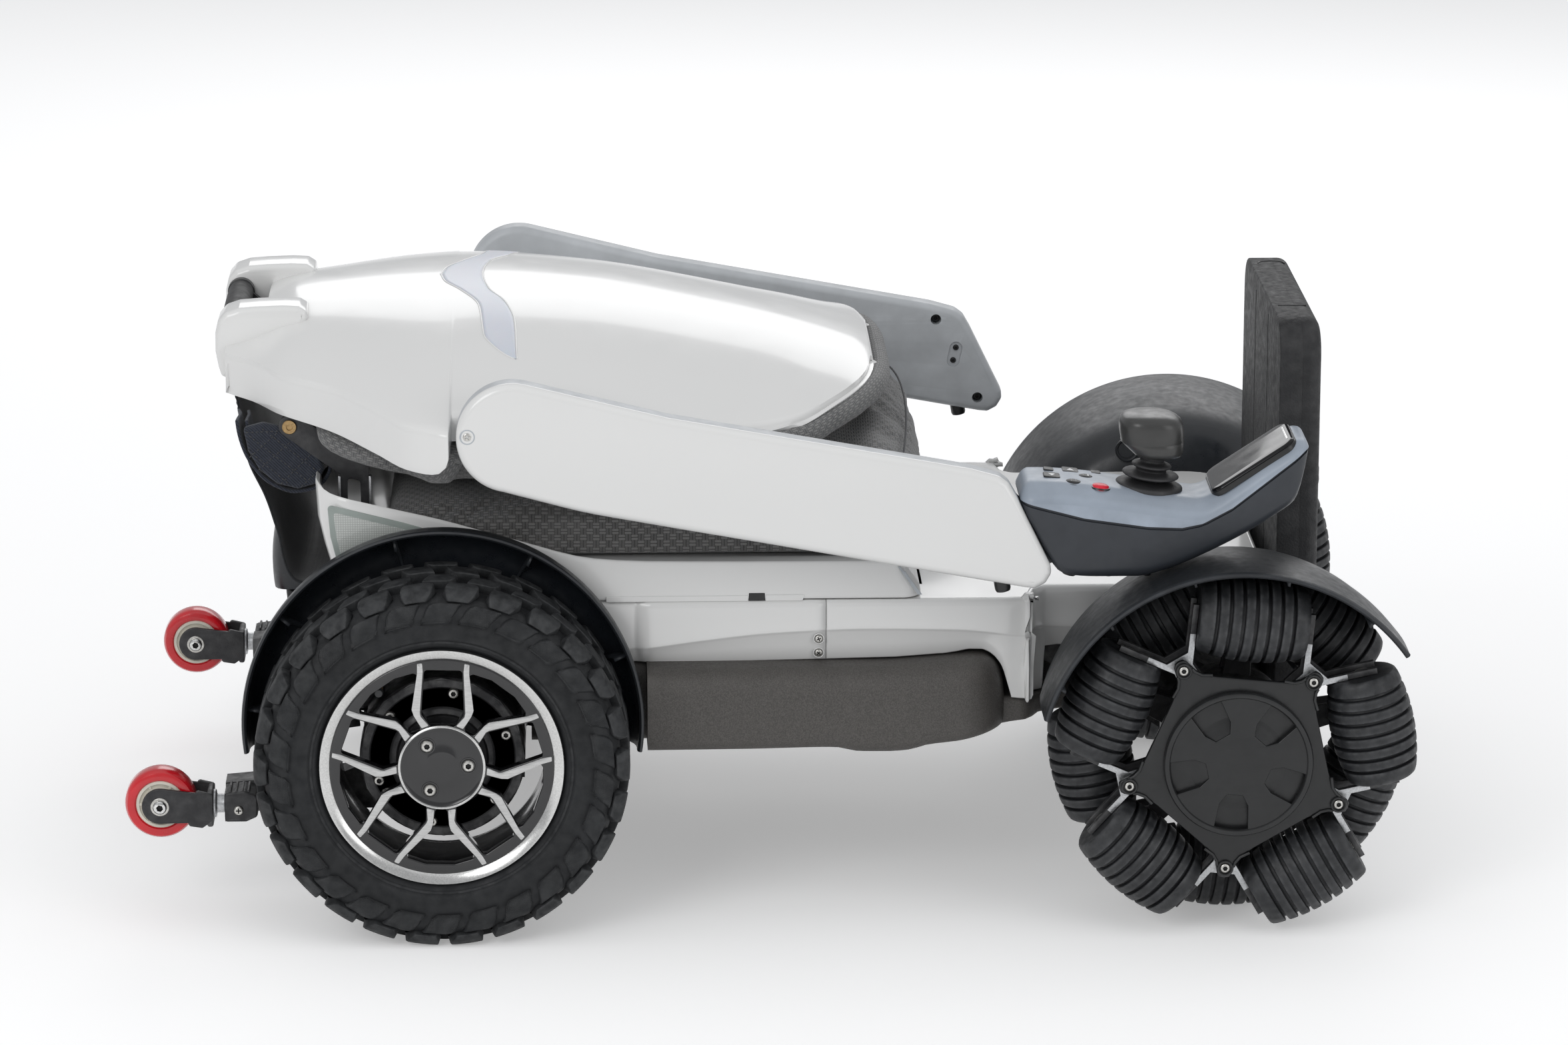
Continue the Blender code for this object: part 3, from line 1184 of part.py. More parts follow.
def build_arms():
    for side, sign in SIDES.items():
        name = f"arm_{side}"
        body(name, at(ARM_PIVOT_X, sign * (ARM_OUTER_Y - ARM_THICKNESS / 2), ARM_PIVOT_Z), "backrest")
        outline = ahead(ARM_OUTLINE + arc((ARM_PIVOT_X, ARM_PIVOT_Z), ARM_END_RADIUS, 76, 262, 9))
        inner, outer = ARM_OUTER_Y - ARM_THICKNESS, ARM_OUTER_Y
        arm = bevel(plate("arm", outline, *sorted((sign * inner, sign * outer))), ARM_EDGE_RADIUS, 1)
        drills = []
        for x, z in ((0.3621, 0.3176), (0.3937, 0.2571), (0.3763, 0.2908)):
            drills.append(cylinder("drill", at(x, sign * inner, z), 0.004, 0.012, "Y", 8))
        pad = cylinder("pad", at(0.380, sign * (inner + outer) / 2, 0.2475), 0.005, 0.010, "Z", 8)
        arm = join(cut(arm, *drills), pad)
        piece(arm, name, "white_gloss", name)


# Controller

def on_top(x, height=0.0):
    """A point on the controller's sloping top, in x and z, and a height above it."""
    lean = math.radians(CONTROLLER_TOP_SLOPE)
    z = CONTROLLER_TOP_Z - (x - CONTROLLER_TOP_X) * math.tan(lean)
    return x + height * math.sin(lean), z + height * math.cos(lean)


def stand_on_top(obj, x, y):
    """Sets a piece that was made upright at the origin on the controller's sloping top."""
    turn_about(obj, (0, 0, 0), CONTROLLER_TOP_SLOPE, "Y")
    px, pz = on_top(x)
    return moved(obj, at(px, y, pz))


BUTTONS = [
    ("button_square_rear", "rect", 0.4135, -0.2290, (0.0055, 0.0050), "button_black"),
    ("button_square_inner", "rect", 0.4275, -0.2095, (0.0055, 0.0050), "button_black"),
    ("button_round_outer", "round", 0.4275, -0.2400, 0.0044, "button_black"),
    ("button_round_middle", "round", 0.4370, -0.2225, 0.0044, "button_black"),
    ("button_red", "round", 0.4455, -0.2435, 0.0050, "button_red"),
]


def button_solid(kind, size, low, high, grow):
    if kind == "rect":
        return box("button", (-size[0] - grow, -size[1] - grow, low), (size[0] + grow, size[1] + grow, high))
    return cylinder("button", (0, 0, (low + high) / 2), size + grow, high - low, "Z", 10)


def build_controller():
    low, high = CONTROLLER_Y - CONTROLLER_HALF_WIDTH, CONTROLLER_Y + CONTROLLER_HALF_WIDTH
    seam = [(0.5820, 0.3388), (0.5340, 0.3008), (0.5140, 0.2900), (0.5000, 0.2872), (0.4770, 0.2881), (0.4340, 0.2944),
            (0.3912, 0.3058)]
    case = plate("case", ahead([(0.4128, 0.2623), (0.4200, 0.2545), (0.4420, 0.2515), (0.4700, 0.2515),
                                (0.4900, 0.2565), (0.5050, 0.2620), (0.5430, 0.2810), (0.5760, 0.3030),
                                (0.5830, 0.3270), (0.5840, 0.3362)] + seam), low, high)
    case = bevel(case, 0.0025, 1)
    tongue = plate("tongue", ahead([(0.354, 0.3220), (0.354, 0.3080), (0.374, 0.2840), (0.388, 0.2530),
                                    (0.424, 0.2600), (0.412, 0.2960), (0.392, 0.3035), (0.372, 0.3220)]),
                   -(ARM_OUTER_Y - ARM_THICKNESS) + CLEARANCE, -0.2310)
    piece(join(case, tongue), "controller_case", "case_slate", "arm_right")
    ramp = [(0.5855, 0.3410), (0.5815, 0.3450), (0.5750, 0.3440), (0.5170, 0.3055), on_top(0.506), on_top(0.402),
            (0.3945, 0.3170)]
    top = plate("top", ahead([(x, z + CLEARANCE) for x, z in reversed(seam)] + ramp), low, high)
    top = bevel(top, 0.0025, 1)
    for name, kind, x, y, size, look in BUTTONS:
        pocket = button_solid(kind, size, -0.0034, 0.010, BUTTON_GAP)
        top = cut(top, stand_on_top(pocket, x, y))
    well = stand_on_top(cylinder("well", (0, 0, 0), 0.0088, 0.018, "Z", 12), JOYSTICK_X, CONTROLLER_Y)
    piece(cut(top, well), "controller_top", "top_blue_grey", "arm_right")
    for name, kind, x, y, size, look in BUTTONS:
        px, pz = on_top(x)
        body(name, at(px, y, pz), "arm_right")
        cap = button_solid(kind, size, -0.0019, BUTTON_HEIGHT, 0.0)
        piece(stand_on_top(cap, x, y), name, look, name)


def build_joystick():
    px, pz = on_top(JOYSTICK_X)
    body("joystick_tilt_fore", at(px, CONTROLLER_Y, pz), "arm_right")
    body("joystick_tilt_side", at(px, CONTROLLER_Y, pz), "joystick_tilt_fore")
    lean = math.radians(JOYSTICK_TILT)
    hole = bore_radius(STEM_RADIUS / math.cos(lean) + GIMBAL_HALF_HEIGHT * math.tan(lean), CLEARANCE, 12)
    ring = turned("ring", [(hole, GIMBAL_HALF_HEIGHT), (GIMBAL_RADIUS, GIMBAL_HALF_HEIGHT),
                           (GIMBAL_RADIUS, -GIMBAL_HALF_HEIGHT), (hole, -GIMBAL_HALF_HEIGHT)],
                  (0, 0, 0), "Z", 12, closed=True)
    piece(stand_on_top(ring, JOYSTICK_X, CONTROLLER_Y), "joystick_gimbal", "frame_black", "joystick_tilt_fore")
    boot = turned("boot", [(BOOT_RADIUS, 0.0003), (BOOT_RADIUS, 0.0024), (0.0160, 0.0046), (0.0188, 0.0088),
                           (0.0116, 0.0112), (0.0133, 0.0152), (0.0085, 0.0178), (0.0095, 0.0208),
                           (0.0060, 0.0208), (0.0105, 0.0003)], (0, 0, 0), "Z", 10, closed=True)
    piece(stand_on_top(boot, JOYSTICK_X, CONTROLLER_Y), "joystick_boot", "button_black", "arm_right")
    knob = turned("knob", [(0.0, 0.0512), (0.0175, 0.0500), (0.0210, 0.0470), (KNOB_RADIUS, 0.0400),
                           (KNOB_RADIUS, 0.0300), (0.0200, 0.0250), (0.0130, 0.0211), (STEM_RADIUS, 0.0211),
                           (STEM_RADIUS, -0.0050), (0.0, -0.0050)], (0, 0, 0), "Z", 12)
    piece(stand_on_top(knob, JOYSTICK_X, CONTROLLER_Y), "joystick_knob", "knob_grey", "joystick_tilt_side")


# Footplate

def build_footplate():
    body("footplate", at(FOOTPLATE_HINGE_X, 0, FOOTPLATE_HINGE_Z), "chassis")
    rear, front = FOOTPLATE_REAR_X, FOOTPLATE_REAR_X + FOOTPLATE_THICKNESS
    low, top = FOOTPLATE_BOTTOM, FOOTPLATE_TOP
    outline = [(rear + 0.004, low), (front - 0.004, low), (front, low + 0.008), (front - 0.001, top - 0.007),
               (front - 0.006, top), (front - 0.014, top), (rear, top - 0.016), (rear, low + 0.006)]
    slab = bevel(plate("slab", ahead(outline), -FOOTPLATE_HALF_WIDTH, FOOTPLATE_HALF_WIDTH), 0.003, 1)
    hinge = (FOOTPLATE_HINGE_X, FOOTPLATE_HINGE_Z)
    for side in (-1.0, 1.0):
        low_y, high_y = sorted((side * (FOOTPLATE_BRACKET_HALF_WIDTH + CLEARANCE), side * 0.096))
        lug = plate("lug", ahead(arc(hinge, 0.0068, 180, 360, 5) + [(hinge[0] + 0.0068, low + 0.006),
                                                                    (hinge[0] - 0.0068, low + 0.006)]), low_y, high_y)
        slab = join(slab, lug)
    bore = cylinder("bore", at(hinge[0], 0, hinge[1]), bore_radius(FOOTPLATE_PIN_RADIUS, CLEARANCE, 8), 0.240, "Y", 8)
    piece(cut(slab, bore), "footplate", "footplate_black", "footplate")


# Casters

def build_casters():
    axle = (CASTER_AXLE_X, CASTER_AXLE_Z)
    for side, sign in SIDES.items():
        y = sign * CASTER_GAUGE
        fork_body, wheel_body = f"caster_fork_{side}", f"caster_wheel_{side}"
        body(fork_body, at(-0.151, y, CASTER_STEM_Z), "chassis")
        body(wheel_body, at(axle[0], y, axle[1]), fork_body)
        fork = box("web", at(-0.1625, y - 0.0145, 0.0685), at(-0.1585, y + 0.0145, 0.0925))
        for cheek in (-1.0, 1.0):
            outline = arc(axle, 0.012, 90, 270, 3) + [(-0.166, 0.0685), (-0.1585, 0.0740), (-0.1585, 0.0925)]
            inner = y + cheek * (CASTER_WIDTH / 2 + 0.0013)
            outer = inner + cheek * CASTER_FORK_WALL
            fork = join(fork, plate("cheek", ahead(outline), *sorted((inner, outer))))
        pin = cylinder("pin", at(axle[0], y, axle[1]), 0.0040, CASTER_WIDTH + 0.012, "Y", 6)
        stem = cylinder("stem", at(-0.1548, y, CASTER_STEM_Z), CASTER_STEM_RADIUS, 0.0080, "X", 8)
        fork = join(fork, pin, stem)
        piece(fork, fork_body, "frame_black", fork_body)
        half = CASTER_WIDTH / 2
        profile = [(0.0043, half - 0.0010), (0.0130, half - 0.0010), (CASTER_RADIUS - 0.003, half),
                   (CASTER_RADIUS, half - 0.003)]
        profile += [(r, -s) for r, s in reversed(profile)]
        wheel = turned("wheel", profile, at(axle[0], y, axle[1]), "Y", 14, closed=True)
        piece(wheel, wheel_body, "caster_red", wheel_body)


def build():
    body("chassis", (0.0, 0.0, 0.0))
    build_housing()
    build_frame()
    build_covers()
    build_fenders()
    build_lift()
    build_pan()
    build_seat_cushion()
    body("backrest", at(BACKREST_HINGE_X, 0, BACKREST_HINGE_Z), "seat")
    build_shell()
    build_back_cushion()
    build_backrest_frame()
    build_flap()
    build_arms()
    build_controller()
    build_joystick()
    build_footplate()
    build_drive_wheels()
    build_casters()
    build_omni_wheels()


build()
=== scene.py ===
import math

import bmesh
import bpy
from mathutils import Matrix, Vector, noise
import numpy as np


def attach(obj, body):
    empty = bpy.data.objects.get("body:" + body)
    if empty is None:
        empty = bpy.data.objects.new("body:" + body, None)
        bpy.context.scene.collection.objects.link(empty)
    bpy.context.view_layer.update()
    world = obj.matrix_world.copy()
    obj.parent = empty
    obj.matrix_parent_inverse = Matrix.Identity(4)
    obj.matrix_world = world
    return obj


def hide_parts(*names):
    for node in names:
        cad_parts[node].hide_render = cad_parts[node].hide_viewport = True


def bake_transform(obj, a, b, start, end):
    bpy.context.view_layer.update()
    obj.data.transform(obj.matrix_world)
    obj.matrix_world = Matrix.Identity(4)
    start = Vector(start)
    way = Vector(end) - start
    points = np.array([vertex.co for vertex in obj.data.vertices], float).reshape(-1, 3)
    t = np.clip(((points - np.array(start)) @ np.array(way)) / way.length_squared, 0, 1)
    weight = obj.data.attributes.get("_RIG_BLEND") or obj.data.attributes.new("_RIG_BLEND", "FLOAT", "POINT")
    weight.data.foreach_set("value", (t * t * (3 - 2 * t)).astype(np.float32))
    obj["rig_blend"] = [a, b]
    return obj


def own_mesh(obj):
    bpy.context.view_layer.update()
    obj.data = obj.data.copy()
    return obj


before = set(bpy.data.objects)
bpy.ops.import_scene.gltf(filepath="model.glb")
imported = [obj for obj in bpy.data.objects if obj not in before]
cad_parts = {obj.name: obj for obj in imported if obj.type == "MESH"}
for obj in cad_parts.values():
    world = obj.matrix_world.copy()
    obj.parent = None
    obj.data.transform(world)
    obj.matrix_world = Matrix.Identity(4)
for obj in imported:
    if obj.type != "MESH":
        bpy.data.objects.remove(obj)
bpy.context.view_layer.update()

SIDES = {"right": -1.0, "left": 1.0}
QUARTER = math.pi / 2

# the axles, in metres: along the chair, above the floor, and to each side
REAR_X = -0.2228
REAR_Z = 0.1275
REAR_HALF_TRACK = 0.236
FRONT_X = 0.3172
FRONT_Z = 0.1245
FRONT_HALF_TRACK = 0.220


# Shape helpers. Lengths in the tables are millimetres from the rear axle, the middle and the floor.

def at(x, y, z):
    return Vector((REAR_X + x / 1000, y / 1000, z / 1000))


def between(value, table):
    """Straight-line reading of a table of (position, value) pairs."""
    if value <= table[0][0]:
        return table[0][1]
    for (low, first), (high, second) in zip(table, table[1:]):
        if value <= high:
            return first + (second - first) * (value - low) / (high - low)
    return table[-1][1]


def flowing(value, table):
    """Smooth reading of a table: a monotone cubic through its points."""
    if value <= table[0][0]:
        return table[0][1]
    if value >= table[-1][0]:
        return table[-1][1]
    rises = [(b[1] - a[1]) / (b[0] - a[0]) for a, b in zip(table, table[1:])]
    slopes = [rises[0]]
    for first, second in zip(rises, rises[1:]):
        slopes.append(0.0 if first * second <= 0 else 2 * first * second / (first + second))
    slopes.append(rises[-1])
    index = next(i for i in range(len(table) - 1) if value <= table[i + 1][0])
    (x0, y0), (x1, y1) = table[index:index + 2]
    width = x1 - x0
    t = (value - x0) / width
    a = (1 + 2 * t) * (1 - t) ** 2 * y0 + t * (1 - t) ** 2 * width * slopes[index]
    b = t * t * (3 - 2 * t) * y1 + t * t * (t - 1) * width * slopes[index + 1]
    return a + b


def spaced(low, high, count):
    return [low + (high - low) * index / (count - 1) for index in range(count)]


def polar(radius, degrees):
    angle = math.radians(degrees)
    return radius * math.cos(angle), radius * math.sin(angle)


def spun(points, degrees):
    """Flat points turned about the origin."""
    c, s = math.cos(math.radians(degrees)), math.sin(math.radians(degrees))
    return [(u * c - v * s, u * s + v * c) for u, v in points]


def arc(centre, radius, start, end, step):
    """Points of an arc, one every few degrees."""
    return [(centre[0] + radius * math.cos(math.radians(a)), centre[1] + radius * math.sin(math.radians(a)))
            for a in range(start, end, step)]


def circle(centre, radius, count):
    return [(centre[0] + radius * math.cos(math.tau * i / count),
             centre[1] + radius * math.sin(math.tau * i / count)) for i in range(count)]


def rectangle(low_u, high_u, low_v, high_v):
    return [(low_u, low_v), (high_u, low_v), (high_u, high_v), (low_u, high_v)]


def mirrored(points, middle=()):
    """A path that runs out on one side, over the points between, and back on the other side."""
    return [*points, *middle, *[(u, -v) for u, v in reversed(points)]]


def outward(sign, near, far):
    """Two distances from the chair's middle as a low and a high y."""
    return sorted((sign * near, sign * far))


def around(centre, radius, degrees, side):
    """A point beside an axle; radius and side in millimetres."""
    u, v = polar(radius, degrees)
    return centre + Vector((u / 1000, side / 1000, v / 1000))


def facing(centre, normal, spin=0.0):
    """A placement whose Z axis points along a normal."""
    turn = Vector(normal).normalized().to_track_quat("Z", "Y").to_matrix().to_4x4()
    return Matrix.Translation(Vector(centre)) @ turn @ Matrix.Rotation(math.radians(spin), 4, "Z")


def upright(centre, sign=1.0):
    """A placement in the plane of the chair's side: u forward, v up, and its Z axis to one side."""
    return Matrix.Translation(centre) @ Matrix(((1, 0, 0, 0), (0, 0, sign, 0), (0, 1, 0, 0), (0, 0, 0, 1)))


SIDE_PLANE = upright((REAR_X, 0, 0))
GROUND_PLANE = Matrix.Translation((REAR_X, 0, 0))


def finish_mesh(name, bm, look, body, angle, weld=0.00001):
    """Turns a mesh in world space into a piece with its material that rides on a body."""
    if weld:
        bmesh.ops.remove_doubles(bm, verts=bm.verts, dist=weld)
    mesh = bpy.data.meshes.new(name)
    bm.to_mesh(mesh)
    bm.free()
    mesh.shade_smooth()
    if angle:
        mesh.set_sharp_from_angle(angle=math.radians(angle))
    obj = bpy.data.objects.new(name, mesh)
    bpy.context.scene.collection.objects.link(obj)
    if look:
        mesh.materials.append(look)
    if body:
        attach(obj, body)
    return obj


def stands_for(obj, node):
    """Hides the CAD node whose place a piece takes."""
    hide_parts(node)


def solid(obj, wall, offset=-1.0, even=True):
    mod = obj.modifiers.new("Wall", "SOLIDIFY")
    mod.thickness = wall
    mod.offset = offset
    mod.use_even_offset = even
    mod.use_quality_normals = True


def soft_edges(obj, width, segments, angle):
    mod = obj.modifiers.new("Edges", "BEVEL")
    mod.width = width
    mod.segments = segments
    mod.limit_method = "ANGLE"
    mod.angle_limit = math.radians(angle)
    mod.harden_normals = False


def smoothed(obj):
    mod = obj.modifiers.new("Subdivision", "SUBSURF")
    mod.levels = 1
    mod.render_levels = 1


def evaluated_mesh(obj):
    return bpy.data.meshes.new_from_object(obj.evaluated_get(bpy.context.evaluated_depsgraph_get()))


def fill_grid(bm, rows, ring=False, caps=False):
    """Adds a surface through rows of equal point counts; ring closes each row on itself."""
    verts = [[bm.verts.new(point) for point in row] for row in rows]
    count = len(verts[0])
    for first, second in zip(verts, verts[1:]):
        for index in range(count if ring else count - 1):
            after = (index + 1) % count
            bm.faces.new((first[index], first[after], second[after], second[index]))
    if caps:
        bm.faces.new(verts[0])
        bm.faces.new(tuple(reversed(verts[-1])))


def face_out(bm, inside):
    """Turns the normals of an open surface away from a point."""
    bmesh.ops.recalc_face_normals(bm, faces=bm.faces)
    outer = sum(f.calc_area() * f.normal.dot(f.calc_center_median() - inside) for f in bm.faces)
    if outer < 0.0:
        bmesh.ops.reverse_faces(bm, faces=bm.faces)


def skin(name, rows, look, body, angle, ring=False, caps=False, inside=None):
    """A surface through rows of points; inside is a point that an open one faces away from."""
    bm = bmesh.new()
    fill_grid(bm, rows, ring, caps)
    if inside is not None:
        face_out(bm, Vector(inside))
    elif caps or ring:
        bmesh.ops.recalc_face_normals(bm, faces=bm.faces)
    return finish_mesh(name, bm, look, body, angle)


def turned_rows(bm, profile, place, segments, shape=None):
    """Revolves (radius, height) points; shape may change a radius by its angle and its index."""
    rings = []
    for index, (radius, height) in enumerate(profile):
        if radius <= 1e-7:
            rings.append([bm.verts.new(place @ Vector((0, 0, height)))])
            continue
        ring = []
        for step in range(segments):
            angle = math.tau * step / segments
            reach = radius if shape is None else shape(index, radius, angle)
            spot = Vector((reach * math.cos(angle), reach * math.sin(angle), height))
            ring.append(bm.verts.new(place @ spot))
        rings.append(ring)
    for first, second in zip(rings, rings[1:]):
        for step in range(segments):
            after = (step + 1) % segments
            corners = [first[step % len(first)], first[after % len(first)],
                       second[after % len(second)], second[step % len(second)]]
            unique = list(dict.fromkeys(corners))
            if len(unique) > 2:
                bm.faces.new(unique)


def turned(name, profile, place, look, body, segments, angle=35.0, closed=False, shape=None):
    """A turned piece from (radius, height) points in millimetres."""
    bm = bmesh.new()
    points = list(profile) + ([profile[0]] if closed else [])
    turned_rows(bm, [(r / 1000, h / 1000) for r, h in points], place, segments, shape)
    bmesh.ops.remove_doubles(bm, verts=bm.verts, dist=0.000002)
    bmesh.ops.recalc_face_normals(bm, faces=bm.faces)
    return finish_mesh(name, bm, look, body, angle, 0)


def outline_solid(name, outlines, low, high, edge, place, look, body, angle=40.0, segments=3):
    """Extrudes an outline with holes between two heights, its edges rounded; millimetres."""
    curve = bpy.data.curves.new(name, "CURVE")
    curve.dimensions = "2D"
    curve.fill_mode = "BOTH"
    curve.extrude = (high - low) / 2 - edge
    curve.bevel_depth = edge
    curve.bevel_resolution = segments
    curve.offset = -edge
    for outline in outlines:
        spline = curve.splines.new("POLY")
        spline.points.add(len(outline) - 1)
        for point, (u, v) in zip(spline.points, outline):
            point.co = (u, v, 0.0, 1.0)
        spline.use_cyclic_u = True
    holder = bpy.data.objects.new(name, curve)
    bpy.context.scene.collection.objects.link(holder)
    bpy.context.view_layer.update()
    mesh = evaluated_mesh(holder)
    bpy.data.objects.remove(holder, do_unlink=True)
    bm = bmesh.new()
    bm.from_mesh(mesh)
    bpy.data.meshes.remove(mesh)
    bm.transform(place @ Matrix.Scale(0.001, 4) @ Matrix.Translation((0, 0, (low + high) / 2)))
    bmesh.ops.remove_doubles(bm, verts=bm.verts, dist=0.000005)
    bmesh.ops.recalc_face_normals(bm, faces=bm.faces)
    for face in bm.faces:
        face.material_index = 0
    return finish_mesh(name, bm, look, body, angle, 0)


def side_plate(name, outline, sides, edge, look, body, holes=(), segments=3):
    """A plate in the plane of the chair's side, between two values of y."""
    low, high = sides
    return outline_solid(name, [outline, *holes], low, high, edge, SIDE_PLANE, look, body, segments=segments)


def rounded(outline, radii, steps):
    """An outline whose corners are replaced by tangent arcs of the given radii."""
    points = []
    for index in range(len(outline)):
        corner = Vector(outline[index])
        back = Vector(outline[index - 1]) - corner
        ahead = Vector(outline[(index + 1) % len(outline)]) - corner
        before, after = back.normalized(), ahead.normalized()
        radius = radii[index] if isinstance(radii, (list, tuple)) else radii
        half = before.angle(after) / 2
        radius = min(radius, 0.5 * min(back.length, ahead.length) * math.tan(half))
        if radius <= 0.0 or half > 1.55:
            points.append(tuple(corner))
            continue
        centre = corner + (before + after).normalized() * (radius / math.sin(half))
        start = corner + before * (radius / math.tan(half)) - centre
        end = corner + after * (radius / math.tan(half)) - centre
        for step in range(steps + 1):
            points.append(tuple(centre + start.lerp(end, step / steps).normalized() * radius))
    return points


def tube(name, points, radius, look, body, sides):
    """A round bar along points in world space."""
    bm = bmesh.new()
    last = len(points) - 1
    rows = []
    reference = None
    for index, point in enumerate(points):
        along = (points[min(index + 1, last)] - points[max(index - 1, 0)]).normalized()
        if reference is None:
            reference = along.orthogonal().normalized()
        reference = (reference - along * reference.dot(along)).normalized()
        other = along.cross(reference)
        reach = radius(index / last) if callable(radius) else radius
        turns = [math.tau * s / sides for s in range(sides)]
        rows.append([point + (reference * math.cos(t) + other * math.sin(t)) * reach for t in turns])
    fill_grid(bm, rows, ring=True, caps=True)
    bmesh.ops.recalc_face_normals(bm, faces=bm.faces)
    return finish_mesh(name, bm, look, body, 50)


def block(name, low, high, edge, look, body, segments=2):
    """A block with rounded edges between two opposite corners, in millimetres along the chair."""
    bm = bmesh.new()
    bmesh.ops.create_cube(bm, size=1.0)
    low, high = at(*low), at(*high)
    bmesh.ops.scale(bm, vec=high - low, verts=bm.verts)
    bmesh.ops.translate(bm, vec=(low + high) / 2, verts=bm.verts)
    bmesh.ops.bevel(bm, geom=bm.edges[:], offset=edge / 1000, segments=segments, profile=0.5, affect="EDGES")
    return finish_mesh(name, bm, look, body, 40)


def hex_wall(angle, size):
    """How far a hexagonal socket's wall is from its middle."""
    return size * 0.866 / math.cos((angle + math.pi / 6) % (math.pi / 3) - math.pi / 6)


def cross_wall(angle, size):
    within = (angle + math.pi / 4) % QUARTER - math.pi / 4
    return min(size / max(math.cos(within), 0.01), size * 0.24 / max(abs(math.sin(within)), 0.01))


# a socket's wall, and its width as a share of the head
RECESSES = {"hex": (hex_wall, 0.5), "cross": (cross_wall, 0.56)}


def screw(name, centre, normal, radius, height, recess, look, body, spin=0.0):
    """A screw head with a driver recess; radius and height in millimetres."""
    wall, share = RECESSES[recess]
    reach = radius * share
    floor = height - height * 0.62
    profile = [(radius, 0.0), (radius, height * 0.25), (radius * 0.93, height * 0.62),
               (radius * 0.78, height * 0.88)]
    brink = len(profile)
    profile += [(reach, height), (reach, height), (reach * 0.9, floor), (0.0, floor)]

    def shape(index, reached, angle):
        if index == brink:
            return reached * 1.08 if recess == "cross" else max(reached, wall(angle, reach / 1000) * 1.03)
        if index > brink:
            return wall(angle, reach / 1000) * (1.0 if index == brink + 1 else 0.86)
        return reached

    place = facing(centre, normal, spin)
    head = turned(name, profile, place, look, body, 48, 30, shape=shape)
    # the faces down in the driver recess take a near-black material: painted shade in the recess
    head.data.materials.append(LOOKS["recess"])
    back = place.inverted()
    for polygon in head.data.polygons:
        spot = back @ polygon.center
        inner = math.hypot(spot.x, spot.y) < reach * 1.1 / 1000
        if inner and spot.z < (height - height * 0.62 * 0.25) / 1000:
            polygon.material_index = 1


# Materials

def shade(colour, factor):
    return tuple(channel * factor for channel in colour)


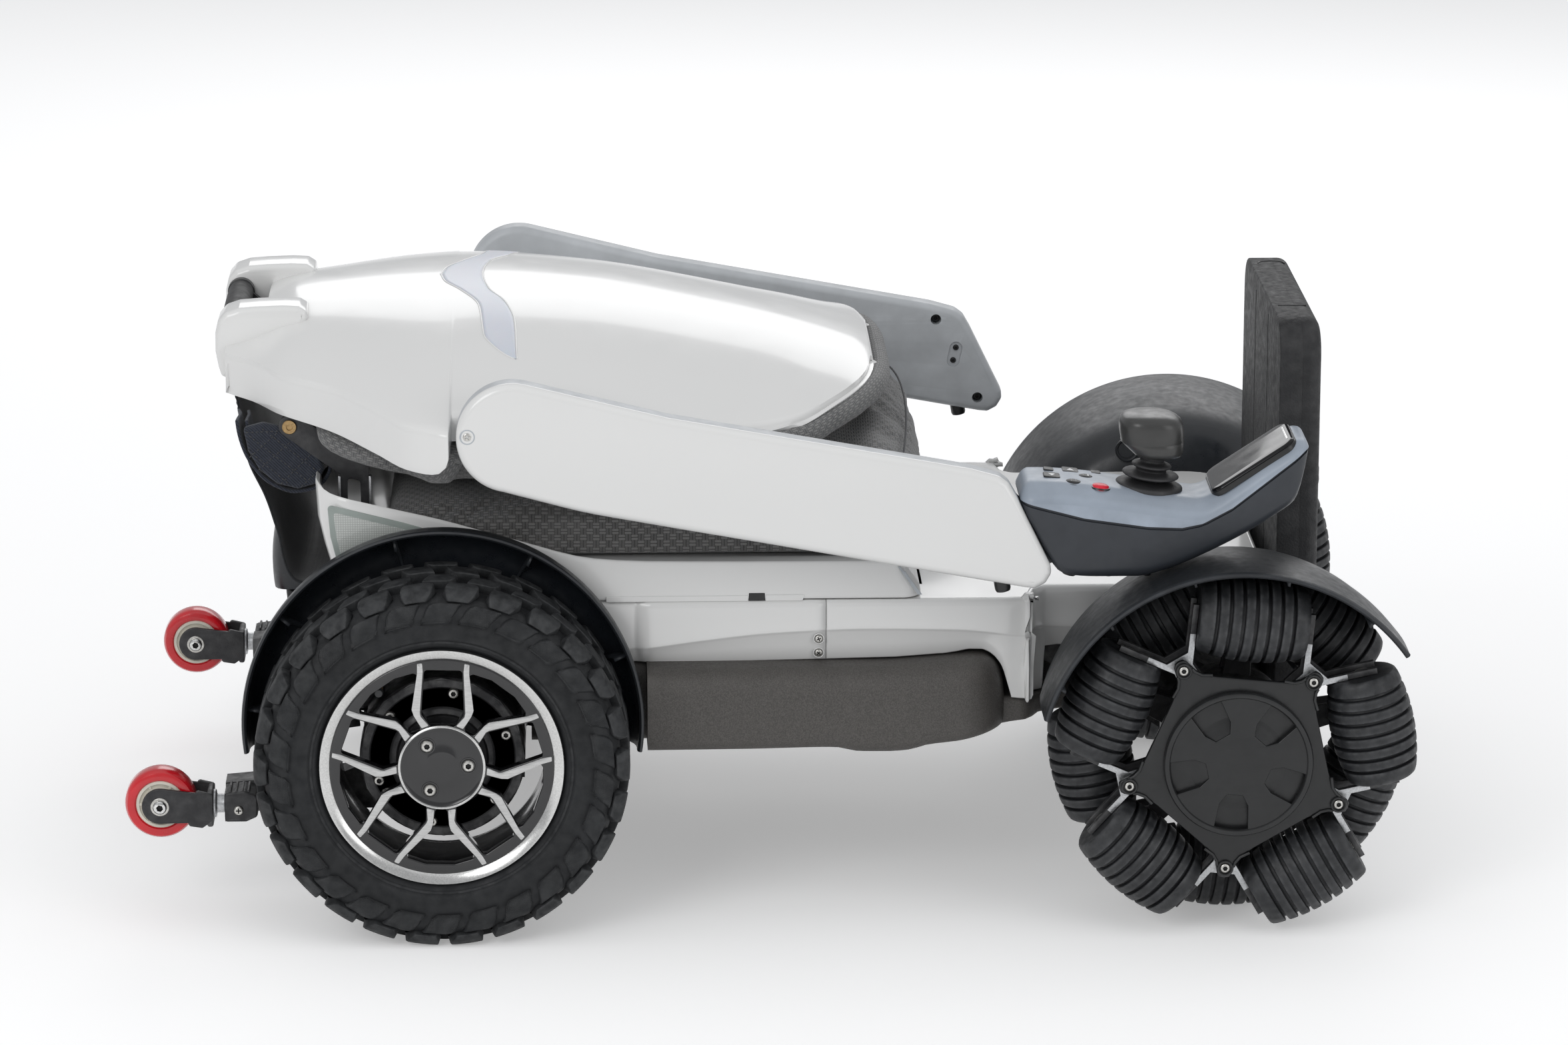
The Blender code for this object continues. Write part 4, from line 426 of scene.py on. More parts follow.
class Look:
    """A procedural material: one shader, with its colour, roughness and relief built from nodes."""

    def __init__(self, name, colour, roughness, metallic=0.0, **constants):
        self.mat = bpy.data.materials.new(name)
        self.mat.use_nodes = True
        self.tree = self.mat.node_tree
        self.shader = self.tree.nodes["Principled BSDF"]
        self.colour = colour
        self.shader.inputs["Base Color"].default_value = (*colour, 1.0)
        self.shader.inputs["Roughness"].default_value = roughness
        self.shader.inputs["Metallic"].default_value = metallic
        for socket, value in constants.items():
            self.shader.inputs[socket.replace("_", " ")].default_value = value
        self.coords = self.tree.nodes.new("ShaderNodeTexCoord").outputs["Object"]
        self.relief = None

    def node(self, kind, links=(), **settings):
        made = self.tree.nodes.new(kind)
        for key, value in settings.items():
            setattr(made, key, value)
        for socket, value in links:
            if isinstance(value, bpy.types.NodeSocket):
                self.tree.links.new(value, made.inputs[socket])
            else:
                made.inputs[socket].default_value = value
        return made

    def grain(self, scale, detail=3.0, coords=None, distortion=0.0):
        links = [("Vector", coords or self.coords), ("Scale", scale), ("Detail", detail),
                 ("Distortion", distortion)]
        return self.node("ShaderNodeTexNoise", links).outputs["Fac"]

    def cells(self, scale, randomness=1.0):
        links = [("Vector", self.coords), ("Scale", scale), ("Randomness", randomness)]
        return self.node("ShaderNodeTexVoronoi", links).outputs["Distance"]

    def waves(self, scale, direction, distortion=0.0):
        links = [("Vector", self.coords), ("Scale", scale), ("Distortion", distortion)]
        return self.node("ShaderNodeTexWave", links, wave_type="BANDS",
                         bands_direction=direction).outputs["Fac"]

    def maths(self, operation, first, second=0.5):
        return self.node("ShaderNodeMath", [(0, first), (1, second)], operation=operation).outputs[0]

    def vectors(self, operation, first, second):
        return self.node("ShaderNodeVectorMath", [(0, first), (1, second)], operation=operation).outputs[0]

    def spread(self, value, low, high, to_low=0.0, to_high=1.0):
        made = self.node("ShaderNodeMapRange", [("Value", value), ("From Min", low), ("From Max", high),
                                                ("To Min", to_low), ("To Max", to_high)])
        return made.outputs["Result"]

    def mixed(self, factor, first, second):
        made = self.node("ShaderNodeMix", [("Factor", factor)], data_type="RGBA")
        for socket, value in ((6, first), (7, second)):
            if isinstance(value, bpy.types.NodeSocket):
                self.tree.links.new(value, made.inputs[socket])
            else:
                made.inputs[socket].default_value = (*value, 1.0)
        return made.outputs[2]

    def drift(self, scale, detail, dark, light, low=0.3, high=0.7):
        """The look's own colour, wandering between a darker and a lighter shade."""
        patches = self.spread(self.grain(scale, detail), low, high)
        return self.mixed(patches, shade(self.colour, dark), shade(self.colour, light))

    def worn(self, amount, edge_colour, base=None, scale=60.0):
        """A lighter or darker tone along convex edges, broken up by noise."""
        pointiness = self.node("ShaderNodeNewGeometry").outputs["Pointiness"]
        edge = self.spread(pointiness, 0.505, 0.56)
        broken = self.maths("MULTIPLY", edge, self.spread(self.grain(scale, 4.0), 0.35, 0.65))
        factor = self.maths("MULTIPLY", broken, amount)
        return self.mixed(factor, base if base is not None else self.colour, edge_colour)

    def paint(self, colour):
        self.tree.links.new(colour, self.shader.inputs["Base Color"])

    def gloss(self, scale, detail, smooth, rough, low=0.3, high=0.7):
        """Roughness that varies in patches between two values."""
        patches = self.spread(self.grain(scale, detail), low, high, smooth, rough)
        self.tree.links.new(patches, self.shader.inputs["Roughness"])

    def bump(self, height, distance, strength):
        links = [("Height", height), ("Distance", distance), ("Strength", strength)]
        if self.relief is not None:
            links.append(("Normal", self.relief))
        self.relief = self.node("ShaderNodeBump", links).outputs["Normal"]
        self.tree.links.new(self.relief, self.shader.inputs["Normal"])


def white_gloss():
    look = Look("white_gloss", (0.80, 0.80, 0.79), 0.16, Specular_IOR_Level=0.45, Coat_Weight=0.35,
                Coat_Roughness=0.06)
    look.paint(look.drift(5.0, 2.0, 0.985, 1.0))
    look.gloss(38.0, 4.0, 0.13, 0.21)
    look.bump(look.grain(90.0, 2.0), 0.00003, 0.25)
    return look.mat


def moulded_black(name, colour, roughness, relief=0.00006):
    look = Look(name, colour, roughness, Specular_IOR_Level=0.5)
    look.paint(look.worn(0.5, shade(colour, 3.0), look.drift(22.0, 4.0, 0.82, 1.3, 0.3, 0.75)))
    look.gloss(160.0, 3.0, roughness - 0.05, roughness + 0.09)
    look.bump(look.grain(1900.0, 2.0), relief, 0.7)
    look.bump(look.grain(30.0, 3.0), 0.0003, 0.3)
    return look.mat


def textured_grey():
    look = Look("housing_grey", (0.076, 0.071, 0.066), 0.55, Specular_IOR_Level=0.5)
    look.paint(look.worn(0.35, shade(look.colour, 2.2), look.drift(1300.0, 2.0, 0.72, 1.35, 0.35, 0.7)))
    look.gloss(400.0, 3.0, 0.48, 0.66)
    look.bump(look.cells(1500.0), 0.0001, 0.6)
    look.bump(look.grain(700.0, 3.0), 0.00012, 0.5)
    return look.mat


def powder_coat():
    look = Look("frame_black", (0.028, 0.028, 0.030), 0.45, 0.35)
    look.paint(look.worn(0.7, (0.16, 0.16, 0.16), look.drift(26.0, 5.0, 0.8, 1.25), 120.0))
    look.gloss(220.0, 3.0, 0.38, 0.56)
    look.bump(look.cells(900.0), 0.00012, 0.5)
    return look.mat


def tread_rubber(name="tyre_rubber", dotted=False):
    """Rubber whose block tops are scuffed to a dusty grey, while the grooves stay dark."""
    look = Look(name, (0.0105, 0.0115, 0.013), 0.72, Specular_IOR_Level=0.4)
    scuffs = look.spread(look.grain(95.0, 8.0, distortion=0.6), 0.40, 0.72)
    height = look.node("ShaderNodeAttribute", attribute_name="scuff").outputs["Fac"]
    dusty = look.maths("MULTIPLY", look.maths("MULTIPLY", scuffs, height), 0.62)
    tone = look.mixed(dusty, look.drift(18.0, 4.0, 0.75, 1.25), (0.064, 0.067, 0.069))
    look.paint(look.worn(0.5, (0.062, 0.064, 0.066), tone, 200.0))
    look.gloss(120.0, 5.0, 0.52, 0.82)
    look.bump(look.grain(420.0, 6.0), 0.00022, 0.6)
    look.bump(look.grain(2200.0, 2.0), 0.00006, 0.6)
    if dotted:
        look.bump(look.cells(900.0, 0.0), 0.0005, 0.8)
    return look.mat


def roller_rubber():
    look = Look("roller_rubber", (0.0125, 0.0135, 0.0155), 0.50, Specular_IOR_Level=0.5)
    bloom = look.spread(look.grain(85.0, 7.0, distortion=0.4), 0.45, 0.8)
    tone = look.mixed(look.maths("MULTIPLY", bloom, 0.35), look.colour, (0.045, 0.048, 0.052))
    look.paint(look.worn(0.6, (0.10, 0.103, 0.108), tone, 150.0))
    look.gloss(160.0, 4.0, 0.42, 0.66)
    look.bump(look.grain(900.0, 4.0), 0.00008, 0.6)
    return look.mat


def machined(name, colour, grain, roughness):
    look = Look(name, colour, roughness, 1.0)
    stretched = look.node("ShaderNodeMapping", [("Vector", look.coords), ("Scale", grain)]).outputs["Vector"]
    lines = look.grain(900.0, 2.0, stretched)
    look.paint(look.mixed(look.spread(lines, 0.3, 0.7), shade(colour, 0.86), shade(colour, 1.05)))
    look.gloss(70.0, 4.0, roughness - 0.05, roughness + 0.08)
    look.bump(lines, 0.00003, 0.5)
    return look.mat


def gloss_black():
    look = Look("rim_black", (0.008, 0.008, 0.009), 0.16, Specular_IOR_Level=0.5, Coat_Weight=0.5,
                Coat_Roughness=0.08)
    look.paint(look.worn(0.35, (0.05, 0.05, 0.052), None, 90.0))
    look.gloss(60.0, 4.0, 0.12, 0.26)
    look.bump(look.grain(240.0, 2.0), 0.00003, 0.4)
    return look.mat


def zinc(name="zinc", colour=(0.60, 0.59, 0.56), roughness=0.34):
    look = Look(name, colour, roughness, 1.0)
    look.paint(look.drift(700.0, 4.0, 0.75, 1.1))
    look.gloss(900.0, 3.0, roughness - 0.08, roughness + 0.12)
    look.bump(look.grain(1500.0, 2.0), 0.00003, 0.5)
    return look.mat


# near-black for the inside of screw recesses: painted shade
def painted_shade_socket():
    look = Look("recess_painted_shade", (0.006, 0.006, 0.006), 0.7)
    look.gloss(300.0, 3.0, 0.55, 0.8)
    look.bump(look.grain(800.0), 0.00005, 0.5)
    return look.mat


def woven(name, thread_a, thread_b, pitch, axes, gold=0.0, relief=0.00022, laid_out=False):
    """A basket weave of two yarns that cross at right angles, in the plane of two axes."""
    look = Look(name, thread_a, 0.86, Sheen_Weight=0.25, Sheen_Roughness=0.6, Specular_IOR_Level=0.25)
    if laid_out:
        look.coords = look.node("ShaderNodeUVMap", uv_map="cloth").outputs["UV"]
    wobble = look.node("ShaderNodeTexNoise", [("Vector", look.coords), ("Scale", 30.0), ("Detail", 2.0)])
    bend = look.vectors("MULTIPLY", wobble.outputs["Color"], (0.0012, 0.0012, 0.0012))
    split = look.node("ShaderNodeSeparateXYZ", [(0, look.vectors("ADD", look.coords, bend))])
    across, down = [look.maths("MULTIPLY", split.outputs[axis], math.pi / pitch) for axis in axes]
    rise_a, rise_b = [look.maths("ABSOLUTE", look.maths("SINE", angle)) for angle in (across, down)]
    halves = [look.maths("SINE", look.maths("MULTIPLY", angle, 0.5)) for angle in (across, down)]
    over = look.spread(look.maths("MULTIPLY", *halves), -0.12, 0.12)
    height = look.node("ShaderNodeMix", [("Factor", over), (2, rise_a), (3, rise_b)],
                       data_type="FLOAT").outputs[0]
    # the weave's low places are darkened towards 0.3 of the first yarn: painted shade between the yarns
    tone = look.mixed(look.spread(height, 0.0, 0.75), shade(thread_a, 0.30),
                      look.mixed(over, thread_a, thread_b))
    mottle = look.spread(look.grain(45.0, 5.0), 0.35, 0.7)
    tone = look.mixed(look.maths("MULTIPLY", mottle, 0.25), tone, shade(thread_b, 1.25))
    if gold:
        dots = look.spread(look.grain(1100.0, 1.0), 0.62, 0.72)
        tone = look.mixed(look.maths("MULTIPLY", dots, gold), tone, (0.30, 0.24, 0.13))
    fibre = look.spread(look.grain(2600.0, 4.0), 0.3, 0.7, 0.8, 1.15)
    look.paint(look.node("ShaderNodeVectorMath", [(0, tone), ("Scale", fibre)],
                         operation="SCALE").outputs[0])
    look.bump(height, relief, 0.8)
    look.bump(look.grain(2600.0, 3.0), 0.00006, 0.5)
    return look.mat


def webbing(name="belt_webbing", colour=(0.020, 0.024, 0.036), pitch=0.0016):
    look = Look(name, colour, 0.7, Sheen_Weight=0.2, Specular_IOR_Level=0.3)
    ribs = look.waves(1.0 / pitch / 2.2, "DIAGONAL", 0.4)
    # the ribs' hollows are darker and their crests lighter, in step with their relief: painted shade and
    # painted light
    tone = look.mixed(ribs, shade(colour, 0.45), shade(colour, 1.6))
    look.paint(look.mixed(look.spread(look.grain(300.0, 4.0), 0.5, 0.8, 0.0, 0.5), tone,
                          (0.05, 0.055, 0.07)))
    look.bump(ribs, 0.0003, 0.8)
    look.bump(look.grain(1800.0), 0.00008, 0.6)
    return look.mat


def sheet_fabric():
    look = Look("flap_fabric", (0.014, 0.015, 0.017), 0.62, Sheen_Weight=0.15, Specular_IOR_Level=0.35)
    weave = look.maths("MULTIPLY", look.waves(420.0, "Y"), look.waves(420.0, "Z"))
    look.paint(look.drift(24.0, 5.0, 1.0, 2.0, 0.35, 0.7))
    look.bump(weave, 0.00012, 0.6)
    look.bump(look.grain(35.0, 4.0), 0.0012, 0.5)
    return look.mat


def smooth_plastic(name, colour, roughness, coat=0.0, fine=1400.0):
    look = Look(name, colour, roughness, Specular_IOR_Level=0.5, Coat_Weight=coat, Coat_Roughness=0.2)
    look.paint(look.worn(0.35, shade(colour, 1.7), look.drift(40.0, 4.0, 0.9, 1.1)))
    look.gloss(130.0, 4.0, roughness - 0.06, roughness + 0.08)
    look.bump(look.grain(fine, 2.0), 0.00005, 0.5)
    return look.mat


def display_glass():
    look = Look("display_glass", (0.004, 0.004, 0.005), 0.05, Specular_IOR_Level=0.22, Coat_Weight=0.12,
                Coat_Roughness=0.03)
    look.gloss(50.0, 4.0, 0.04, 0.14, 0.4, 0.8)
    look.bump(look.grain(60.0, 1.0), 0.00002, 0.3)
    return look.mat


def diffuser():
    look = Look("light_strip", (0.68, 0.69, 0.75), 0.34, Specular_IOR_Level=0.4, Coat_Weight=0.1,
                Coat_Roughness=0.20, Subsurface_Weight=0.15)
    clouds = look.spread(look.grain(16.0, 3.0), 0.3, 0.7)
    look.paint(look.mixed(clouds, (0.65, 0.66, 0.73), (0.69, 0.70, 0.76)))
    look.bump(look.waves(260.0, "Y"), 0.00006, 0.3)
    return look.mat


def reflex(name, colour):
    """A reflector: clear plastic over small corner prisms."""
    look = Look(name, colour, 0.12, Specular_IOR_Level=0.7, Coat_Weight=0.8, Coat_Roughness=0.04)
    prisms = look.cells(620.0, 0.0)
    look.paint(look.mixed(look.spread(prisms, 0.0, 0.6), shade(colour, 1.25), shade(colour, 0.6)))
    look.bump(prisms, 0.0004, 0.6)
    return look.mat


def anti_slip():
    look = Look("footplate_black", (0.016, 0.0162, 0.0175), 0.62, Specular_IOR_Level=0.4)
    look.paint(look.worn(0.6, (0.12, 0.12, 0.12), look.drift(30.0, 5.0, 0.75, 1.5, 0.35, 0.7), 90.0))
    look.gloss(200.0, 4.0, 0.5, 0.74)
    look.bump(look.cells(700.0), 0.00025, 0.6)
    return look.mat


LOOKS = {}


def make_looks():
    seat_yarns = (0.150, 0.152, 0.155), (0.235, 0.235, 0.235)
    # the seat's side mesh: a weave of its own, with yarns darker than the top's as painted shade
    shaded_side_yarns = (0.120, 0.119, 0.117), (0.215, 0.212, 0.208)
    roll_yarns = (0.135, 0.137, 0.140), (0.225, 0.225, 0.222)
    mesh_yarns = (0.085, 0.084, 0.083), (0.165, 0.163, 0.160)
    flat, ends, sides = (0, 1), (2, 1), (0, 2)
    LOOKS.update(
        white=white_gloss(),
        fender=moulded_black("fender_black", (0.016, 0.018, 0.021), 0.38),
        plastic=moulded_black("hub_black", (0.009, 0.0095, 0.010), 0.33, 0.00004),
        grip=moulded_black("handle_rubber", (0.018, 0.018, 0.019), 0.55, 0.00012),
        housing=textured_grey(),
        frame=powder_coat(),
        tread=tread_rubber(),
        tread_dotted=tread_rubber("tyre_rubber_dotted", True),
        roller=roller_rubber(),
        rim=gloss_black(),
        spoke=machined("spoke_face", (0.55, 0.55, 0.545), (0.15, 1.0, 1.0), 0.24),
        lip=machined("rim_lip", (0.64, 0.64, 0.63), (1.0, 1.0, 1.0), 0.22),
        # grey for the armrests' inner side and the inner part of their edges: painted shade
        edge=smooth_plastic("arm_shade_grey", (0.47, 0.49, 0.51), 0.4),
        # a darker copy of the fender plastic for its inner wall: painted shade
        fender_wall=moulded_black("fender_wall", (0.010, 0.012, 0.015), 0.30, 0.00001),
        zinc=zinc(),
        chrome=zinc("chrome", (0.72, 0.72, 0.71), 0.14),
        brass=zinc("brass", (0.40, 0.27, 0.13), 0.36),
        steel=zinc("painted_steel", (0.52, 0.53, 0.54), 0.36),
        recess=painted_shade_socket(),
        seat_top=woven("seat_fabric", *seat_yarns, 0.0017, flat, 0.35),
        seat_front=woven("seat_front_fabric", *seat_yarns, 0.0017, ends, 0.35),
        seat_side=woven("seat_side_mesh", *shaded_side_yarns, 0.0022, sides, 0.1, 0.0004),
        roll=woven("roll_fabric", *roll_yarns, 0.0017, flat, 0.15, laid_out=True),
        under=woven("spacer_mesh", *mesh_yarns, 0.0024, flat, 0.0, 0.0004),
        under_side=woven("spacer_mesh_side", *mesh_yarns, 0.0024, sides, 0.0, 0.0004),
        thread=webbing("stitch_thread", (0.055, 0.056, 0.060), 0.0008),
        belt=webbing(),
        flap=sheet_fabric(),
        case=smooth_plastic("case_slate", (0.026, 0.030, 0.037), 0.42),
        top=smooth_plastic("top_blue_grey", (0.305, 0.350, 0.412), 0.34),
        button=smooth_plastic("button_black", (0.012, 0.013, 0.014), 0.40),
        red=smooth_plastic("button_red", (0.62, 0.010, 0.030), 0.34),
        mark=smooth_plastic("white_mark", (0.78, 0.79, 0.80), 0.45),
        knob=smooth_plastic("knob_grey", (0.036, 0.036, 0.035), 0.34, 0.12),
        glass=display_glass(),
        light=diffuser(),
        pale_reflector=reflex("reflector_pale", (0.66, 0.69, 0.66)),
        reflector_frame=smooth_plastic("reflector_frame", (0.30, 0.34, 0.32), 0.35),
        amber=reflex("reflector_amber", (0.85, 0.24, 0.02)),
        footplate=anti_slip(),
        red_tyre=smooth_plastic("caster_red", (0.58, 0.004, 0.012), 0.20, 0.5, 500.0),
        cream=smooth_plastic("caster_cream", (0.70, 0.67, 0.58), 0.35),
        trim=smooth_plastic("grey_trim", (0.44, 0.47, 0.50), 0.30),
    )


# Camera, floor and light

SENSOR_WIDTH = 36.0
LENS = 138.22
CAMERA_SPOT = (-0.1199, -4.15995, 1.3425)
CAMERA_TILT = 0.2624            # radians below the horizon
CAMERA_PAN = -0.033
FLOOR_LIFT = 0.30               # glow that the camera sees on top of the floor's own shading
WORLD_LIGHT = 0.52
AIM = (0.0, 0.0, 0.2)


def set_camera():
    data = bpy.data.cameras.new("camera")
    data.sensor_width = SENSOR_WIDTH
    data.lens = LENS
    data.clip_end = 100.0
    camera = bpy.data.objects.new("camera", data)
    camera.location = CAMERA_SPOT
    camera.rotation_euler = (QUARTER - CAMERA_TILT, 0.0, CAMERA_PAN)
    bpy.context.scene.collection.objects.link(camera)
    bpy.context.scene.camera = camera


def joined(tree, kind, *sources):
    """A shader node with its first inputs linked in order."""
    made = tree.nodes.new(kind)
    for socket, source in zip(made.inputs, sources):
        tree.links.new(source, socket)
    return made


def set_floor():
    bm = bmesh.new()
    bmesh.ops.create_grid(bm, x_segments=2, y_segments=2, size=14.0)
    floor = finish_mesh("floor", bm, None, None, 0)
    mat = bpy.data.materials.new("floor_paper")
    mat.use_nodes = True
    tree = mat.node_tree
    shader = tree.nodes["Principled BSDF"]
    shader.inputs["Base Color"].default_value = (0.90, 0.90, 0.90, 1.0)
    shader.inputs["Roughness"].default_value = 0.9
    shader.inputs["Specular IOR Level"].default_value = 0.1
    glow = tree.nodes.new("ShaderNodeEmission")
    glow.inputs["Color"].default_value = (1, 1, 1, 1)
    glow.inputs["Strength"].default_value = FLOOR_LIFT
    both = joined(tree, "ShaderNodeAddShader", shader.outputs[0], glow.outputs[0])
    path = tree.nodes.new("ShaderNodeLightPath")
    seen = path.outputs["Is Camera Ray"]
    for ray in ("Is Glossy Ray", "Is Transmission Ray"):
        either = joined(tree, "ShaderNodeMath", seen, path.outputs[ray])
        either.operation = "MAXIMUM"
        seen = either.outputs[0]
    mix = joined(tree, "ShaderNodeMixShader", seen, shader.outputs[0], both.outputs[0])
    tree.links.new(mix.outputs[0], tree.nodes["Material Output"].inputs["Surface"])
    floor.data.materials.append(mat)


def set_world():
    world = bpy.data.worlds.new("studio")
    bpy.context.scene.world = world
    world.use_nodes = True
    tree = world.node_tree
    light = tree.nodes["Background"]
    light.inputs["Color"].default_value = (0.97, 0.98, 1.0, 1.0)
    light.inputs["Strength"].default_value = WORLD_LIGHT
    path = tree.nodes.new("ShaderNodeLightPath")
    white = tree.nodes.new("ShaderNodeBackground")
    white.inputs["Color"].default_value = (1, 1, 1, 1)
    mix = joined(tree, "ShaderNodeMixShader", path.outputs["Is Camera Ray"], light.outputs[0],
                 white.outputs[0])
    tree.links.new(mix.outputs[0], tree.nodes["World Output"].inputs["Surface"])


def lamp(name, place, size, power):
    data = bpy.data.lights.new(name, "AREA")
    data.shape = "RECTANGLE"
    data.size, data.size_y = size
    data.energy = power
    obj = bpy.data.objects.new(name, data)
    obj.location = place
    obj.rotation_euler = (Vector(AIM) - Vector(place)).to_track_quat("-Z", "Y").to_euler()
    bpy.context.scene.collection.objects.link(obj)


def set_stage():
    bpy.context.scene.view_settings.view_transform = "Standard"
    set_floor()
    set_world()
    lamp("overhead", (0.1, -0.6, 2.8), (5.0, 4.0), 17.0)
    lamp("key", (-1.6, -2.6, 1.7), (1.4, 1.4), 22.0)
    lamp("fill", (2.4, -2.2, 1.2), (1.6, 1.6), 13.0)
    lamp("rim", (0.4, 2.8, 1.6), (2.4, 1.2), 15.0)


# Drive wheels

TYRE_SECTION = [(76.6, 30.2), (79.0, 30.6), (83.0, 31.0), (84.6, 32.6), (86.6, 34.4), (89.5, 35.6),
                (91.0, 37.0), (93.5, 37.4), (97.0, 38.0), (101.0, 38.5), (104.0, 38.7), (108.0, 38.4),
                (112.0, 37.6), (116.0, 35.8), (119.0, 32.6), (120.6, 28.0), (121.2, 20.0), (121.4, 10.0)]
TYRE_CROWN = (121.5, 0.0)
TREAD_BLOCKS = 26
BLOCK_FLARE = 1.16              # a block's foot against its top
SHOULDER_PATH = [(126.9, 21.5), (127.4, 24.0), (127.4, 29.0), (126.2, 33.6), (122.8, 37.4), (118.6, 39.2)]
PANEL_PATH = [(117.2, 38.0), (115.6, 39.0), (112.0, 39.7), (107.6, 39.9), (104.6, 39.7), (103.6, 39.0)]
CENTRE_PATH = [(127.3, 3.0), (127.5, 5.0), (127.5, 12.0), (127.4, 17.0), (127.2, 19.0)]
# half a block's width along its path, in degrees
SHOULDER_WIDTHS = [(0, 3.2), (0.25, 4.9), (0.7, 4.9), (1, 3.4)]
PANEL_WIDTHS = [(0, 4.4), (0.5, 4.9), (1, 4.2)]
CENTRE_WIDTHS = [(0, 3.6), (0.6, 4.8), (1, 3.6)]


def border(grid):
    """The points round the edge of a grid."""
    down = [line[-1] for line in grid[1:]]
    back = [line[0] for line in reversed(grid[1:-1])]
    return grid[0] + down + list(reversed(grid[-1]))[1:] + back


def tread_block(bm, centre, sign, path, angle, widths, lean, depth, scuff, slices=4, material=0):
    """One rubber block: its top follows a path of (radius, side), its flanks fall to the carcass."""
    def spot(radius, side, turn):
        return bm.verts.new(centre + Vector((radius * math.cos(turn), sign * side,
                                             radius * math.sin(turn))) / 1000)

    layer = bm.verts.layers.float["scuff"]
    last = len(path) - 1
    rows = []
    for index, (radius, side) in enumerate(path):
        share = index / last
        middle = angle + lean * (share - 0.5)
        half = between(share, widths)
        before, after = path[max(index - 1, 0)], path[min(index + 1, last)]
        along = Vector((after[0] - before[0], after[1] - before[1])).normalized()
        inward = Vector((-along.y, along.x))
        if inward.x > 0.2 or (abs(inward.x) <= 0.2 and inward.y > 0):
            inward = -inward
        turns = [math.radians(middle + half * (2 * step / slices - 1)) for step in range(slices + 1)]
        rows.append((radius, side, turns, inward))
    top = [[spot(radius, side, turn) for turn in turns] for radius, side, turns, _ in rows]
    for line in top:
        for vert in line:
            vert[layer] = scuff
    low = []
    for radius, side, turns, inward in rows:
        middle = sum(turns) / len(turns)
        low.append([spot(radius + inward.x * depth, side + inward.y * depth,
                         middle + (turn - middle) * BLOCK_FLARE)
                    for turn in turns])
    faces = []
    for first, second in zip(top, top[1:]):
        for step in range(slices):
            faces.append(bm.faces.new((first[step], first[step + 1], second[step + 1], second[step])))
    rim, foot = border(top), border(low)
    for step in range(len(rim)):
        after = (step + 1) % len(rim)
        faces.append(bm.faces.new((rim[step], foot[step], foot[after], rim[after])))
    for line in low:
        for vert in line:
            if not vert.link_faces:
                bm.verts.remove(vert)
    for face in faces:
        face.material_index = material


def build_tyre(side, sign):
    body = f"drive_wheel_{side}"
    centre = Vector((REAR_X, sign * REAR_HALF_TRACK, REAR_Z))
    place = facing(centre, (0, sign, 0))
    bm = bmesh.new()
    bm.verts.layers.float.new("scuff")
    turned_rows(bm, [(r / 1000, s / 1000) for r, s in mirrored(TYRE_SECTION, [TYRE_CROWN])], place, 104)
    pitch = 360.0 / TREAD_BLOCKS
    for index in range(TREAD_BLOCKS):
        for half in (1.0, -1.0):
            angle = index * pitch + (0.0 if half > 0 else pitch / 2)
            between_them = angle + pitch / 2
            flip = sign * half
            tread_block(bm, centre, flip, SHOULDER_PATH, angle, SHOULDER_WIDTHS, 1.6, 6.0, 1.0)
            tread_block(bm, centre, flip, PANEL_PATH, between_them, PANEL_WIDTHS, 5.2, 1.9, 0.45,
                        material=index % 2)
            tread_block(bm, centre, flip, CENTRE_PATH, between_them, CENTRE_WIDTHS, 3.4, 6.4, 1.0, 3)
    bmesh.ops.recalc_face_normals(bm, faces=bm.faces)
    obj = finish_mesh(f"tyre_{side}", bm, LOOKS["tread"], body, 32, 0)
    obj.data.materials.append(LOOKS["tread_dotted"])
    soft_edges(obj, 0.0007, 2, 40)
    stands_for(obj, f"rear_tyre_{side}")
    # a thin raised ring on the smooth side wall
    turned(f"tyre_ring_{side}", [(87.4, 34.9), (87.9, 35.9), (88.9, 36.2), (89.6, 35.9)], place,
           LOOKS["tread"], body, 96, 0)


RIM_BARREL = [(82.4, 34.6), (82.6, 33.6), (82.4, 31.4), (80.0, 30.9), (76.3, 30.6), (76.2, 28), (74.0, 22),
              (74.0, -22), (76.2, -28), (76.3, -30.6), (82.4, -31.4), (82.4, -35.0), (80.6, -35.4),
              (78.0, -34.0), (75.0, -31.0), (71.0, -26.0), (70.0, -18.0), (70.0, 18.0), (71.5, 24.0),
              (73.4, 27.6), (75.2, 29.6), (76.2, 31.0)]
RIM_LIP = [(75.4, 31.3), (76.0, 32.0), (81.0, 34.4), (82.5, 34.7), (82.9, 34.2), (82.5, 33.4), (75.6, 30.6)]
HUB_DISC = [(28.9, 24), (28.9, 32.6), (28.2, 33.3), (27.4, 33.4), (26.6, 33.0), (25.4, 32.6), (24.0, 32.5),
            (12.5, 32.5), (11.6, 32.9), (10.0, 33.0), (0, 33.0)]
HUB_RING = [(29.7, 32.2), (29.5, 33.2), (28.6, 33.6), (28.0, 33.4), (28.4, 32.2)]
BOLT_CUP = [(5.9, 0.0), (5.7, 0.45), (4.9, 0.5), (4.5, 0.1), (0, 0.05)]
VALVE = [(2.6, -6), (2.6, 0), (2.1, 0.6), (2.1, 4.0), (1.8, 4.2), (0, 4.2)]
VALVE_CAP = [(0, 3.4), (3.0, 3.4), (3.1, 4.0), (3.1, 8.6), (2.5, 9.6), (0, 9.8)]
GEAR_CASE = [(56.3, -20), (56.3, -1.6), (54.6, 0.2), (50.0, 0.6), (49.0, 0.0), (36.0, 0.0), (34.4, 1.6),
             (31.6, 2.4), (30.0, 1.4), (0, 1.4)]
